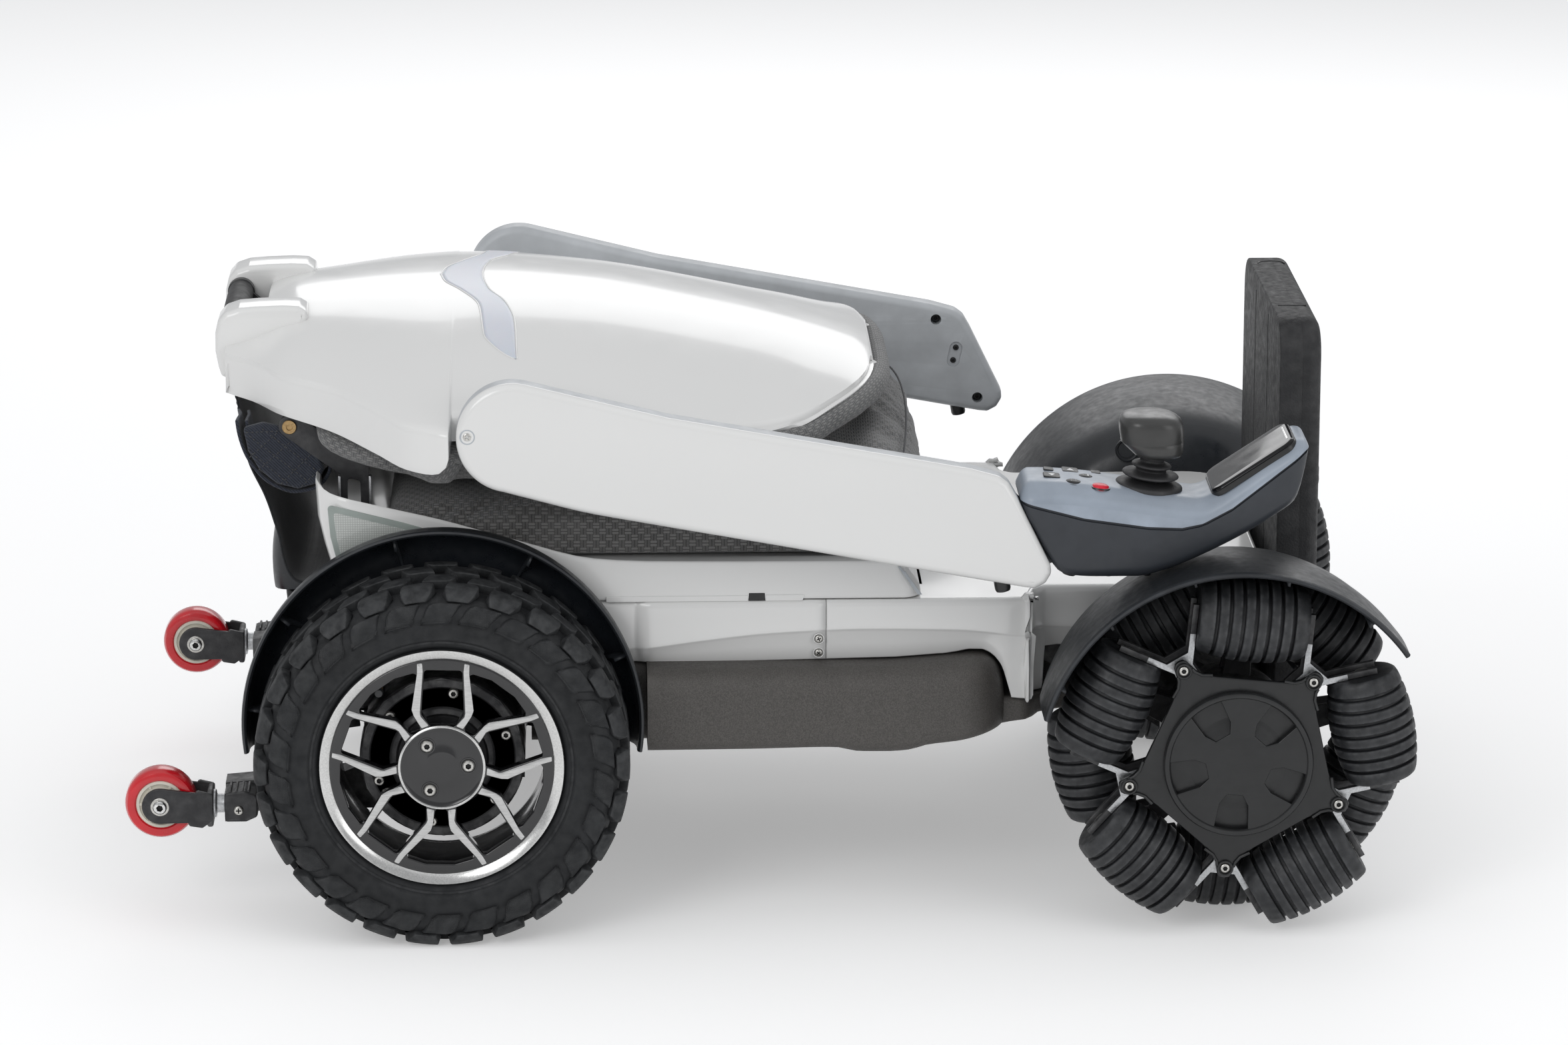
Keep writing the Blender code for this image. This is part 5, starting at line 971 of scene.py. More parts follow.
# the wheel's web, as (radius, degrees): a spoke's machined face and the two kinds of window
SPOKE_FACE = [(74.6, 11.0), (74.6, 13.7), (68.0, 15.0), (45.4, 27.4), (41.0, 28.4), (36.0, 28.0),
              (30.6, 27.0), (30.6, 17.2), (38.6, 22.4), (41.2, 21.8), (68.6, 11.5)]
SHIELD = [(69.0, -10.6), (69.0, 10.6), (39.6, 21.0), (30.0, 15.8), (30.0, -15.8), (39.6, -21.0)]
WIDE = [(68.5, -21.7), (69.5, -8.0), (69.5, 8.0), (68.5, 21.7), (44.5, 7.5), (30.0, 7.0), (30.0, -7.0),
        (44.5, -7.5)]
SHIELD_ANGLE = 88.4
WIDE_ANGLE = 52.4
GEAR_CASE_SIDE = 0.2455


def window(points, middle, radius):
    return rounded([polar(r, middle + a) for r, a in points], radius, 4)


def build_rim(side, sign):
    centre = Vector((REAR_X, sign * REAR_HALF_TRACK, REAR_Z))
    body = f"drive_wheel_{side}"
    out = (0, sign, 0)
    place = facing(centre, out)
    plane = upright(centre, sign)
    rim = turned(f"rim_barrel_{side}", RIM_BARREL, place, LOOKS["rim"], body, 96)
    stands_for(rim, f"rear_rim_{side}")
    lip = turned(f"rim_lip_{side}", RIM_LIP, place, LOOKS["lip"], body, 128, 25, closed=True)
    web = [circle((0, 0), 76.0, 96)]
    web += [window(SHIELD, SHIELD_ANGLE + 72 * k, 2.2) for k in range(5)]
    web += [window(WIDE, WIDE_ANGLE + 72 * k, 2.6) for k in range(5)]
    outline_solid(f"rim_web_{side}", web, 23.6, 32.4, 1.0, plane, LOOKS["rim"], body)
    for k in range(5):
        for letter, mirror in (("a", 1.0), ("b", -1.0)):
            points = [polar(r, SHIELD_ANGLE + 72 * k + mirror * a) for r, a in SPOKE_FACE]
            if mirror < 0:
                points.reverse()
            face = outline_solid(f"spoke_{side}_{k}_{letter}", [rounded(points, 0.7, 3)], 32.0, 32.9, 0.25,
                                 plane, LOOKS["spoke"], body, segments=1)
    turned(f"wheel_hub_{side}", HUB_DISC, place, LOOKS["rim"], body, 72, 30)
    turned(f"wheel_hub_ring_{side}", HUB_RING, place, LOOKS["lip"], body, 72, 25, closed=True)
    for k in range(3):
        spot = around(centre, 18.0, 3 + 120 * k, sign * 32.5)
        turned(f"bolt_cup_{side}_{k}", BOLT_CUP, facing(spot, out), LOOKS["rim"], body, 36)
        screw(f"hub_bolt_{side}_{k}", spot, out, 4.2, 2.3, "hex", LOOKS["zinc"], body, 17 * k)
    stem = facing(around(centre, 66.5, 129, sign * 21), out)
    turned(f"valve_{side}", VALVE, stem, LOOKS["brass"], body, 24)
    turned(f"valve_cap_{side}", VALVE_CAP, stem, LOOKS["plastic"], body, 14, 25)
    # the motor's gear case behind the spokes, bolted round its edge
    case = Vector((REAR_X, sign * GEAR_CASE_SIDE, REAR_Z))
    turned(f"gear_case_{side}", GEAR_CASE, facing(case, out), LOOKS["frame"], "chassis", 64, 30)
    for k in range(6):
        screw(f"case_screw_{side}_{k}", around(case, 46.0, 20 + 60 * k, 0), out, 3.8, 2.6, "hex",
              LOOKS["zinc"], "chassis", 23 * k)


# Omnidirectional front wheels

OMNI_RADIUS = 124.5
PIN_RADIUS = 95.5               # from the wheel's axle to a roller's pin
ROLLER_ROOM = 37.8              # half the length that a roller needs between two arms
OUTER_PHASE = 12.3              # degrees to the first roller of each row
INNER_PHASE = 48.3
OMNI_BARREL = [(0, 40), (45, 40), (45, -44.5), (42, -46), (22, -46), (18, -45), (18, -41), (0, -41)]
ROLLER_PIN = [(0, -39.4), (4.6, -39.4), (5.2, -38.6), (5.2, 38.6), (4.6, 39.4), (0, 39.4)]
COVER_ARM = [(60.0, -17.6), (66.0, -10.6), (71.0, -7.2), (80.0, -4.9), (82.0, -3.2)]
COVER_TIP = (82.6, 0.0)
COVER_CUP = [(5.6, -0.5), (5.6, 1.6), (5.2, 2.1), (4.6, 2.1), (4.2, 1.7), (4.2, 0.2), (0, 0.2)]
KEYSTONE = [(46.4, 11.6), (28.9, 9.8), (21.9, 5.4)]
CAP_FLOOR = [(49, 43.6), (49, 45.4), (34.0, 45.8), (28.9, 46.8), (21.6, 50.0), (0, 50.2)]
CAP_RIM = [(51.0, 44.0), (51.0, 50.4), (50.2, 51.6), (48.8, 52.0), (47.4, 51.8), (46.6, 50.9), (46.2, 50.0)]


def roller_rows():
    """Half-section of a barrel roller: eight flat ribs with deep grooves, completing the wheel's circle."""
    def barrel(along):
        return math.sqrt(OMNI_RADIUS ** 2 - along ** 2) - PIN_RADIUS

    def rib(start, end):
        lines = [start + (end - start) * share for share in (0.25, 0.5, 0.75)]
        return [(barrel(along), along) for along in lines]

    end = [(6.0, -37.2), (barrel(37.2) - 4.2, -37.4), (barrel(37.4) - 1.4, -37.3),
           (barrel(36.4) - 0.3, -36.2)]
    points = list(end)
    for middle in spaced(-26.2, 26.2, 7):
        low, high = middle - 1.25, middle + 1.25
        points += rib(points[-1][1], low - 0.6)
        points += [(barrel(low - 0.6) - 0.05, low - 0.6), (barrel(low) - 0.55, low - 0.05),
                   (barrel(low) - 3.3, low + 0.35), (barrel(high) - 3.3, high - 0.35),
                   (barrel(high) - 0.55, high + 0.05), (barrel(high + 0.6) - 0.05, high + 0.6)]
    return points + rib(points[-1][1], 36.2) + [(r, -along) for r, along in reversed(end)]


def in_gaps(points, phase):
    """Flat points repeated in the five gaps between rollers."""
    return [point for index in range(5) for point in spun(points, phase + 72 * (index + 0.5))]


def star_outline(phase, tip=105.5):
    """A plate with five arms that end in the beams which carry the rollers' pins."""
    lean = math.radians(36)
    tan, cos, sin = math.tan(lean), math.cos(lean), math.sin(lean)
    offset = ROLLER_ROOM / cos
    outer_u = tip * cos + ROLLER_ROOM * sin
    outer_v = outer_u * tan - offset
    neck_u = (7.0 + offset) / tan
    web_u = neck_u + 8.5
    web_v = web_u * tan - offset - 4.0 / cos
    half = [(41.0, -10.0), (neck_u, -7.0), (outer_u, -outer_v),
            (outer_u + 4.0 * sin, -(outer_v - 4.0 * cos)), (web_u, -web_v)]
    return in_gaps(mirrored(half), phase)


def build_roller(side, sign, centre, row, index, middle, angle):
    name = f"roller_{side}_{row}_{index + 1}"
    spot = around(centre, PIN_RADIUS, angle, sign * middle)
    u, v = polar(1.0, angle)
    tangent = Vector((-v, 0, u))
    roller = turned(f"barrel_{side}_{row}_{index + 1}", roller_rows(), facing(spot, tangent, 7.5 * index),
                    LOOKS["roller"], name, 40, 28)
    stands_for(roller, name)
    pin = turned(f"roller_pin_{side}_{row}_{index + 1}", ROLLER_PIN, facing(spot, tangent), LOOKS["zinc"],
                 f"omni_wheel_{side}", 18)


def build_omni(side, sign):
    centre = Vector((FRONT_X, sign * FRONT_HALF_TRACK, FRONT_Z))
    body = f"omni_wheel_{side}"
    out = (0, sign, 0)
    place = facing(centre, out)
    plane = upright(centre, sign)
    black = LOOKS["plastic"]
    hub = turned(f"omni_barrel_{side}", OMNI_BARREL, place, LOOKS["frame"], body, 48)
    stands_for(hub, f"omni_hub_{side}")
    for row, middle, phase in (("outer", 26.0, OUTER_PHASE), ("inner", -26.0, INNER_PHASE)):
        for plate, shift in (("a", -8.4), ("b", 8.4)):
            outline_solid(f"star_{side}_{row}_{plate}", [star_outline(phase)], middle + shift - 2.2,
                          middle + shift + 2.2, 0.5, plane, LOOKS["frame"], body, segments=1)
        for index in range(5):
            build_roller(side, sign, centre, row, index, middle, phase + 72 * index)
    outline_solid(f"star_face_{side}", [star_outline(OUTER_PHASE, 85.0)], 36.3, 37.1, 0.2, plane,
                  LOOKS["steel"], body, segments=1)
    cover = in_gaps(mirrored(COVER_ARM, [COVER_TIP]), OUTER_PHASE)
    arms = outline_solid(f"omni_cover_{side}", [cover], 41.6, 46.0, 1.1, plane, black, body)
    pockets = [rounded(spun(mirrored(KEYSTONE), -23.7 + 72 * k), 1.0, 4) for k in range(5)]
    outline_solid(f"omni_cap_{side}", [circle((0, 0), 50.4, 96), *pockets], 43.5, 50.8, 0.8, plane, black,
                  body)
    turned(f"omni_cap_floor_{side}", CAP_FLOOR, place, black, body, 80, 30)
    turned(f"omni_cap_rim_{side}", CAP_RIM, place, black, body, 96, 30)
    for k in range(5):
        angle = INNER_PHASE + 72 * k
        spot = around(centre, 75.5, angle, sign * 46)
        turned(f"cover_cup_{side}_{k}", COVER_CUP, facing(spot, out), black, body, 32, 30)
        screw(f"cover_screw_{side}_{k}", spot, out, 3.5, 1.7, "hex", LOOKS["zinc"], body, 31 * k)
        for letter, edge in (("a", -1.0), ("b", 1.0)):
            wall = [(63.0, edge * 15.4), (66.6, edge * 9.4), (71.0, edge * 6.3), (74.0, edge * 5.6)]
            line = [centre + Vector((u / 1000, sign * 0.0466, v / 1000)) for u, v in spun(wall, angle)]
            tube(f"cover_edge_{side}_{k}_{letter}", line, 0.0011, black, body, 10)


# Fenders, as (radius, side) sections swept about a point above the floor

REAR_SECTION = [(134.2, 218.6), (135.6, 219.8), (137.0, 219.4), (137.5, 217.6), (137.1, 215.8),
                (136.9, 213.0), (137.0, 209.2), *arc((117.0, 209.2), 20, -15, -91, -15), (100.0, 189.2),
                (80.0, 189.2), (58.0, 189.2)]
FRONT_SECTION = [(135.0, 284.2), (136.4, 285.5), (138.0, 285.0), (138.7, 283.0), (138.5, 280.4),
                 (138.6, 270.0), (138.7, 256.0), (138.4, 242.0), (137.0, 224.0), (134.5, 208.0),
                 (133.2, 198.0), (131.5, 190.0), (129.2, 182.6), (126.0, 176.0), (121.4, 169.8),
                 (115.0, 165.0), (104.0, 161.0), (92.0, 159.0), (76.0, 158.4), (60.0, 158.3)]
REAR_FENDER_Z = 0.142
GUARD_BOSS = [(8.6, -1.0), (8.6, 1.6), (7.8, 2.0), (6.6, 1.9), (6.2, 0.9), (0, 0.9)]


def swept(centre, sign, section, degrees):
    """A fender's section where it stands at an angle."""
    x, z = centre
    c, s = polar(1.0, degrees)
    return [Vector((x + r * c / 1000, sign * y / 1000, z + r * s / 1000)) for r, y in section]


def fender(name, node, centre, sign, section, sweep, ribs, depth, innermost):
    """A guard swept between two angles, with ribs below it; depth is how far they reach."""
    outer_side = section[0][1]
    rows = [swept(centre, sign, section, angle) for angle in spaced(*sweep)]
    middle = (centre[0], sign * outer_side / 1000, centre[1])
    obj = skin(name, rows, LOOKS["fender"], "chassis", inside=middle, angle=45)
    # faces that turn towards the chair's middle take the darker copy of the fender plastic: painted shade on
    # the inner wall
    obj.data.materials.append(LOOKS["fender_wall"])
    for polygon in obj.data.polygons:
        if polygon.normal.y * sign < -0.55:
            polygon.material_index = 1
    solid(obj, 0.0032)
    soft_edges(obj, 0.0009, 2, 55)
    stands_for(obj, node)
    band = [(r - 3.0, y) for r, y in section if innermost < y < outer_side - 6]
    foot = [(r - depth, y + 3.2) for r, y in band]
    for index, angle in enumerate(ribs):
        bm = bmesh.new()
        fill_grid(bm, [swept(centre, sign, band, angle), swept(centre, sign, foot, angle)])
        rib = finish_mesh(f"{name}_rib_{index}", bm, LOOKS["fender"], "chassis", 45)
        solid(rib, 0.0016, 0.0)


def build_fenders():
    for side, sign in SIDES.items():
        fender(f"rear_guard_{side}", f"rear_fender_{side}", (REAR_X, REAR_FENDER_Z), sign, REAR_SECTION,
               (-8.6, 188.0, 97), (20, 62, 104, 146, 176), 9.0, 0.0)
        fender(f"front_guard_{side}", f"front_fender_{side}", (FRONT_X, FRONT_Z), sign, FRONT_SECTION,
               (35.3, 164.7, 73), (48, 76, 104, 132, 156), 6.0, 205.0)
        boss = facing(Vector((FRONT_X - 0.040, sign * 0.1585, FRONT_Z + 0.1110)), (0, sign, 0))
        turned(f"guard_boss_{side}", GUARD_BOSS, boss, LOOKS["fender"], "chassis", 32)


# Chassis

PATH_STEP = 8.0


def dense(path, fine=None):
    """A path with its long stretches cut into short ones; fine is (low x, high x, step)."""
    points = [path[0]]
    for first, second in zip(path, path[1:]):
        length = math.dist(first, second)
        wanted = PATH_STEP
        if fine:
            inside = fine[0] < (first[0] + second[0]) / 2 < fine[1]
            crossing = length > 20 and first[0] < fine[1] and second[0] > fine[0]
            wanted = fine[2] if inside or crossing else PATH_STEP
        count = max(1, math.ceil(length / wanted))
        for index in range(1, count + 1):
            share = index / count
            points.append((first[0] + (second[0] - first[0]) * share,
                           first[1] + (second[1] - first[1]) * share))
    return points


def moved_in(path, distances, turn):
    """An open path moved sideways, to the left of its run when turn is 1 and to the right when -1."""
    points = []
    for index, (point, distance) in enumerate(zip(path, distances)):
        here = Vector(point)
        before = Vector(path[index - 1]) if index > 0 else here * 2 - Vector(path[index + 1])
        after = Vector(path[index + 1]) if index < len(path) - 1 else here * 2 - Vector(path[index - 1])
        first, second = (here - before).normalized(), (after - here).normalized()
        side = (Vector((-first.y, first.x)) + Vector((-second.y, second.x))).normalized() * turn
        points.append(tuple(here + side * (distance / max(0.5, (first + second).length / 2))))
    return points


CREASE = [(-66, 184), (100, 184), (136, 186.6), (179, 192.2), (230, 197.4), (291, 199.6), (353, 198.4),
          (394, 194.2), (418, 191.4), (470, 190), (575, 190)]
COVER_FOOT = [(-66, 176), (136, 174.4), (187, 174.8), (263, 176.2), (312, 177.2), (345, 179.6), (354, 181.2),
              (361, 182.8), (371, 182.8), (375.5, 181.0), (379.4, 178.0), (383, 173.4), (385.6, 168.4),
              (387.4, 158.6), (388.4, 149.2), (407, 146.4), (415, 146.0), (416.5, 176), (575, 176)]
FOOT_INSET = [(-66, 8.0), (340, 7.0), (372, 5.0), (389, 1.6), (415, 1.6), (420, 7.0), (575, 8.0)]
COVER_TOP = 220.0
TOP_INSET = 4.4
COVER_HALF = 190.0
OPENING_HALF = 150              # of the lift's opening in the top
COVER_DIMPLE = [(3.9, 0.5), (3.5, 0.9), (3.2, 0.7), (3.1, -0.6), (0, -0.6)]


def cover_levels(x):
    """How far in and how high the wall stands at x, from its foot to the flat top."""
    inset, foot, crease = between(x, FOOT_INSET), between(x, COVER_FOOT), flowing(x, CREASE)
    return [(inset, foot), (inset - 0.5, foot + 0.8), (inset * 0.62, foot + (crease - foot) * 0.5),
            (2.0, crease - 2.6), (0.9, crease - 1.0), (0.2, crease - 0.2), (0.0, crease + 0.5),
            (0.3, crease + 2.4), (0.5, 207.0), (0.5, 214.6), (0.8, 217.0), (1.7, 218.8), (2.9, 219.7),
            (TOP_INSET, COVER_TOP)]


def build_cover(end, half, turn, middle, opening_x):
    """A white cover: a wall along a path that begins at the seam, and the flat top round the opening."""
    path = mirrored(half)
    rows = []
    for level in zip(*[cover_levels(x) for x, _ in path]):
        line = moved_in(path, [reach for reach, _ in level], turn)
        rows.append([at(x, y, height) for (x, y), (_, height) in zip(line, level)])
    wall = skin(f"cover_{end}", rows, LOOKS["white"], "chassis", inside=at(middle, 0, 190), angle=50)
    solid(wall, 0.003, even=False)
    stands_for(wall, f"chassis_cover_{end}")
    seam = half[0][0]
    opening = [(seam, OPENING_HALF), (opening_x, OPENING_HALF), (opening_x, -OPENING_HALF),
               (seam, -OPENING_HALF)]
    top = moved_in(path, [TOP_INSET] * len(path), turn)
    outline_solid(f"cover_{end}_top", [top + opening], COVER_TOP - 2.6, COVER_TOP, 0.0, GROUND_PLANE,
                  LOOKS["white"], "chassis")


def build_covers():
    corner = rounded([(140, -COVER_HALF), (132, -186.0), (-66, -186.0), (-66, 0)], [0, 6.0, 30.0, 0], 8)[:-1]
    build_cover("rear", dense([(262.82, -COVER_HALF), (146, -COVER_HALF), *corner, (-66, -100)]), -1, 100,
                -58)
    nose = rounded([(400, -COVER_HALF), (404, -186.5), (408.5, -165), (415, -158.0), (574.5, -158.0),
                    (574.5, 0)],
                   [6.0, 6.0, 6.0, 5.0, 34.0, 0], 6)[:-1]
    half = dense([(263.18, -COVER_HALF), (385.8, -COVER_HALF), *nose, (574.5, -60)], (340, 392, 1.6))
    build_cover("front", half, 1, 400, 331)
    for side, sign in SIDES.items():
        for index, (z, y, tilt) in enumerate(((192.4, 188.5, 0.0), (181.6, 185.4, -0.10))):
            spot = at(257.9, sign * y, z)
            normal = (0, sign, tilt)
            turned(f"cover_dimple_{side}_{index}", COVER_DIMPLE,
                   facing(spot, normal), LOOKS["white"], "chassis", 40, 30)
            screw(f"cover_screw_{side}_{index + 6}", spot, normal, 2.8, 1.5, "cross", LOOKS["zinc"],
                  "chassis", 20 + 27 * index)


HOUSING_TOP = [(60, 175.6), (300, 175.8), (330, 177.4), (352, 179.2), (364, 180.2), (372, 179.6),
               (378, 176.4), (382, 171.0), (385, 163.0), (386.6, 152.0), (387, 149.0)]
HOUSING_BOTTOM = [(60, 118.0), (209, 118.6), (262, 119.4), (272, 119.0), (279, 117.2), (286, 116.2),
                  (306, 116.0), (318, 116.8), (326, 118.6), (332, 120.4), (352, 122.8), (371, 126.0),
                  (387, 129.0)]
HOUSING_STATIONS = [60, 62, 100, 139, 139.4, 139.8, *range(145, 344, 6), 352, 356, 360, 364,
                    368, 371, 374, 376.5, 378.5, 380.5, 382, 383.5, 384.8, 385.8, 386.6]
HOUSING_HALF = 212.0
HOUSING_REAR_HALF = 184.0
NOSE_X = 352                    # where the front corners' rounding begins
NOSE_RADIUS = 34.8
LID_SCREWS = ((145, -150, 118.6), (145, 150, 118.6), (365, -120, 125.4), (365, 120, 125.4))
TAIL_BOTTOM = [(376, 127.0), (393, 130.0), (417, 131.8), (446, 133.0)]
TAIL_TOP = [(376, 148.6), (389, 148.6), (407, 145.8), (446, 141.0)]
TAIL_HALF = [(376, 186), (402, 184), (412, 168), (446, 158)]


def housing_ring(x, half, low, high, top_radius, bottom_radius):
    radii = [bottom_radius, bottom_radius, top_radius, top_radius]
    return [at(x, y, z) for y, z in rounded(rectangle(-half, half, low, high), radii, 8)]


def build_housing():
    rings = []
    for x in HOUSING_STATIONS:
        half = HOUSING_REAR_HALF if x < 139.5 else HOUSING_HALF
        if x > NOSE_X:
            half -= NOSE_RADIUS - math.sqrt(max(NOSE_RADIUS ** 2 - (x - NOSE_X) ** 2, 0.0))
        low, high = flowing(x, HOUSING_BOTTOM), flowing(x, HOUSING_TOP)
        room = (high - low) / 2 - 0.5
        rings.append(housing_ring(x, half, low, high, min(15.0, room), min(9.0, room)))
    obj = skin("housing", rings, LOOKS["housing"], "chassis", ring=True, caps=True, angle=50)
    stands_for(obj, "lower_housing")
    tail = []
    for x in spaced(376, 446, 15):
        tail.append(housing_ring(x, flowing(x, TAIL_HALF), flowing(x, TAIL_BOTTOM), flowing(x, TAIL_TOP),
                                 4.0, 4.0))
    skin("housing_tail", tail, LOOKS["housing"], "chassis", ring=True, caps=True, angle=50)
    # underside: shallow ribs and the screws of its service lid
    for index in range(9):
        x = 150 + 24 * index
        block(f"housing_rib_{index}", (x, -120, 115.8), (x + 3, 120, 120.5), 0.8, LOOKS["housing"],
              "chassis")
    for index, spot in enumerate(LID_SCREWS):
        screw(f"housing_screw_{index}", at(*spot), (0, 0, -1), 3.6, 2.0, "cross", LOOKS["zinc"], "chassis",
              index * 20)


# Seat pan

PAN_LOW = 220.3
PAN_REAR_TOP = 304
PAN_NOSE_RISE = 26.2
PAN_HALF = 188.0
PAN_EDGE = [(-86.5, 304), (-78, 297.6), (-66, 294.6), (-28, 285.6), (-2, 279.4), (50, 264.4), (104, 250.6),
            (140, 248.4), (300, 246.9), (327, 246.5)]
PAN_BACK = [(220.3, -66.0), (232, -72.0), (255, -79.0), (277, -85.0), (304, -86.5)]
PAN_NOSE = [(220.3, 328.6), (226, 328.2), (238, 320.6), (244, 318.0), (246.5, 316.0)]
PAN_STATIONS = [-34, -24, -13, -2, 10, 24, 38, 50, 64, 78, 92, 104, 120, 140, 170, 200, 230, 260, 285, 300]
# the wall from its foot to its rim: a share of the height and how far it draws in there
PAN_RINGS = [(0.0, 2.6), (0.008, 1.4), (0.03, 0.5), (0.07, 0.1), (0.12, 0.0), (0.3, 0.0), (0.5, 0.0),
             (0.7, 0.0), (0.86, 0.0), (0.95, 0.0), (0.985, 0.25), (1.0, 1.0)]
REFLECTOR_FRAME = [(-77.4, 290.6), (-26.5, 277.6), (24.0, 262.6), (-59.0, 234.0), (-70.6, 247.0),
                   (-75.6, 268.0)]
REFLECTOR = [(-73.4, 285.4), (-27.5, 273.4), (8.0, 262.6), (-58.0, 239.6), (-67.6, 250.4), (-71.6, 268.4)]
HINGE_BRACKET = [(-50, 245.0), (-50, 308.0), (-93, 339.5), *arc((-104, 335), 7.5, 50, 241, 10), (-70, 301.0),
                 (-70, 245.0)]
BRACKET_HOLE = [(-65, 262), (-56, 262), (-56, 296), (-65, 299)]
HINGE_PIN = [(0, -5.0), (4.0, -5.0), (4.2, -4.6), (4.2, 4.2), (4.8, 4.2), (5.0, 4.5), (5.0, 5.0), (4.6, 5.4),
             (2.2, 5.4), (2.0, 4.4), (0, 4.4)]
LIFT_PIVOT_Z = 222.5


def pan_ring(share, shrink):
    back = between(PAN_LOW + (PAN_REAR_TOP - PAN_LOW) * share, PAN_BACK) + shrink
    front = flowing(PAN_LOW + PAN_NOSE_RISE * share, PAN_NOSE) - shrink
    half = PAN_HALF - shrink
    straight = [0.0] * len(PAN_STATIONS)
    outline = mirrored([(x, -half) for x in (back, *PAN_STATIONS, front)])
    corners = rounded(outline, [60.0, *straight, 12.0, 12.0, *straight, 60.0], 9)
    return [at(x, y, PAN_LOW + (flowing(x, PAN_EDGE) - PAN_LOW) * share) for x, y in corners]


def pan_trim(side, sign):
    """Lips, a notch and a grey trim on the pan's side, and the reflector in its frame."""
    lip = outward(sign, 187.0, 188.7)
    front_lip = [(221.2, 219.6), (246.6, 219.6), (248.6, 223.9), (221.2, 223.9)]
    side_plate(f"pan_lip_rear_{side}", rounded(rectangle(112, 209.6, 219.6, 223.6), 0.8, 3), lip, 0.4,
               LOOKS["white"], "seat")
    side_plate(f"pan_lip_front_{side}", rounded(front_lip, 0.8, 3), lip, 0.4, LOOKS["white"], "seat")
    side_plate(f"pan_notch_{side}", rounded(rectangle(209.9, 220.9, 219.8, 225.2), 0.5, 3),
               outward(sign, 187.4, 188.35), 0.2, LOOKS["plastic"], "seat")
    for index, shift in enumerate((0.0, 3.2)):
        low = shift * 0.4
        trim = [(312.2 + shift, 243.0 - shift), (314.0 + shift, 243.0 - shift), (327.6 + low, 223.2),
                (325.8 + low, 223.2)]
        side_plate(f"pan_trim_{side}_{index}", trim, outward(sign, 187.5, 188.7 + 0.15 * index), 0.3,
                   LOOKS["trim"], "seat", segments=1)
    side_plate(f"reflector_frame_{side}", rounded(REFLECTOR_FRAME, [2.5, 1.5, 2, 3, 4, 4], 5),
               outward(sign, 187.6, 189.0), 0.35, LOOKS["reflector_frame"], "seat")
    panel = side_plate(f"reflector_{side}", rounded(REFLECTOR, [2.0, 1.5, 2, 3, 4, 4], 5),
                       outward(sign, 188.2, 189.3), 0.3, LOOKS["pale_reflector"], "seat")


def pan_brackets(side, sign):
    """The backrest's hinge bracket with its pin, and the lift's ears under the floor."""
    hole = list(reversed(rounded(BRACKET_HOLE, 2.5, 4)))
    plate = side_plate(f"hinge_bracket_{side}", HINGE_BRACKET, outward(sign, 143.0, 147.0), 0.6,
                       LOOKS["frame"], "seat", [hole])
    low_y, high_y = outward(sign, 142.4, 148.4)
    for index, x in enumerate((-70.4, -49.4)):
        block(f"bracket_blade_{side}_{index}", (x - 0.9, low_y, 256), (x + 0.9, high_y, 300), 0.5,
              LOOKS["steel"], "seat")
    pin = facing(at(-104, sign * 143.4, 335), (0, sign, 0))
    turned(f"hinge_pin_{side}", HINGE_PIN, pin, LOOKS["brass"], "seat", 32, 30)
    for end, x, radius, bore in (("rear", -45, 11.0, 7.9), ("front", 145, 13.0, 9.1)):
        ear = arc((x, LIFT_PIVOT_Z), radius, 180, 361, 12)
        ear += [(x + radius + 4, 245.6), (x - radius - 4, 245.6)]
        side_plate(f"lift_ear_{side}_{end}", ear, outward(sign, 126.0, 132.0), 0.6, LOOKS["white"], "seat",
                   [circle((x, LIFT_PIVOT_Z), bore, 32)])


def build_pan():
    rows = [pan_ring(share, shrink) for share, shrink in PAN_RINGS]
    wall = skin("pan_wall", rows, LOOKS["white"], "seat", ring=True, inside=at(120, 0, 250), angle=50)
    solid(wall, 0.003, even=False)
    soft_edges(wall, 0.0009, 2, 55)
    stands_for(wall, "seat_pan")
    floor = rounded(rectangle(-75.5, 316, -186.4, 186.4), [26, 12, 12, 26], 8)
    outline_solid("pan_floor", [floor], 243.5, 246.5, 0.4, GROUND_PLANE, LOOKS["white"], "seat")
    for side, sign in SIDES.items():
        pan_trim(side, sign)
        pan_brackets(side, sign)


# Cushions

SEAT_TOP = [(-44, 291.5), (285, 318), (298, 324.5), (310, 328), (322, 321), (334, 306), (344, 284)]
SEAT_CROWN = [(0, 1.0), (0.25, 0.99), (0.50, 0.95), (0.75, 0.86), (0.90, 0.72), (1.0, 0.50)]
SEAT_HALF = 181.0
SEAT_BASE = 246.8
SEAM_X = 325.5
CLOTH_FRAMES = 20
CLOTH_PRESSURE = 4.0
ROLL_RADIUS = 0.0085


def seat_bow(x, y):
    """How far the seat's front edge curves back at a distance from the middle."""
    return 13.0 * (y / SEAT_HALF) ** 2 * between(x, [(200, 0.0), (300, 1.0)])


def seat_height(x, y):
    straight = x + seat_bow(x + seat_bow(x, y), y)
    share = flowing(min(1.0, abs(y) / SEAT_HALF), SEAT_CROWN)
    return SEAT_BASE + (flowing(straight, SEAT_TOP) - SEAT_BASE) * share


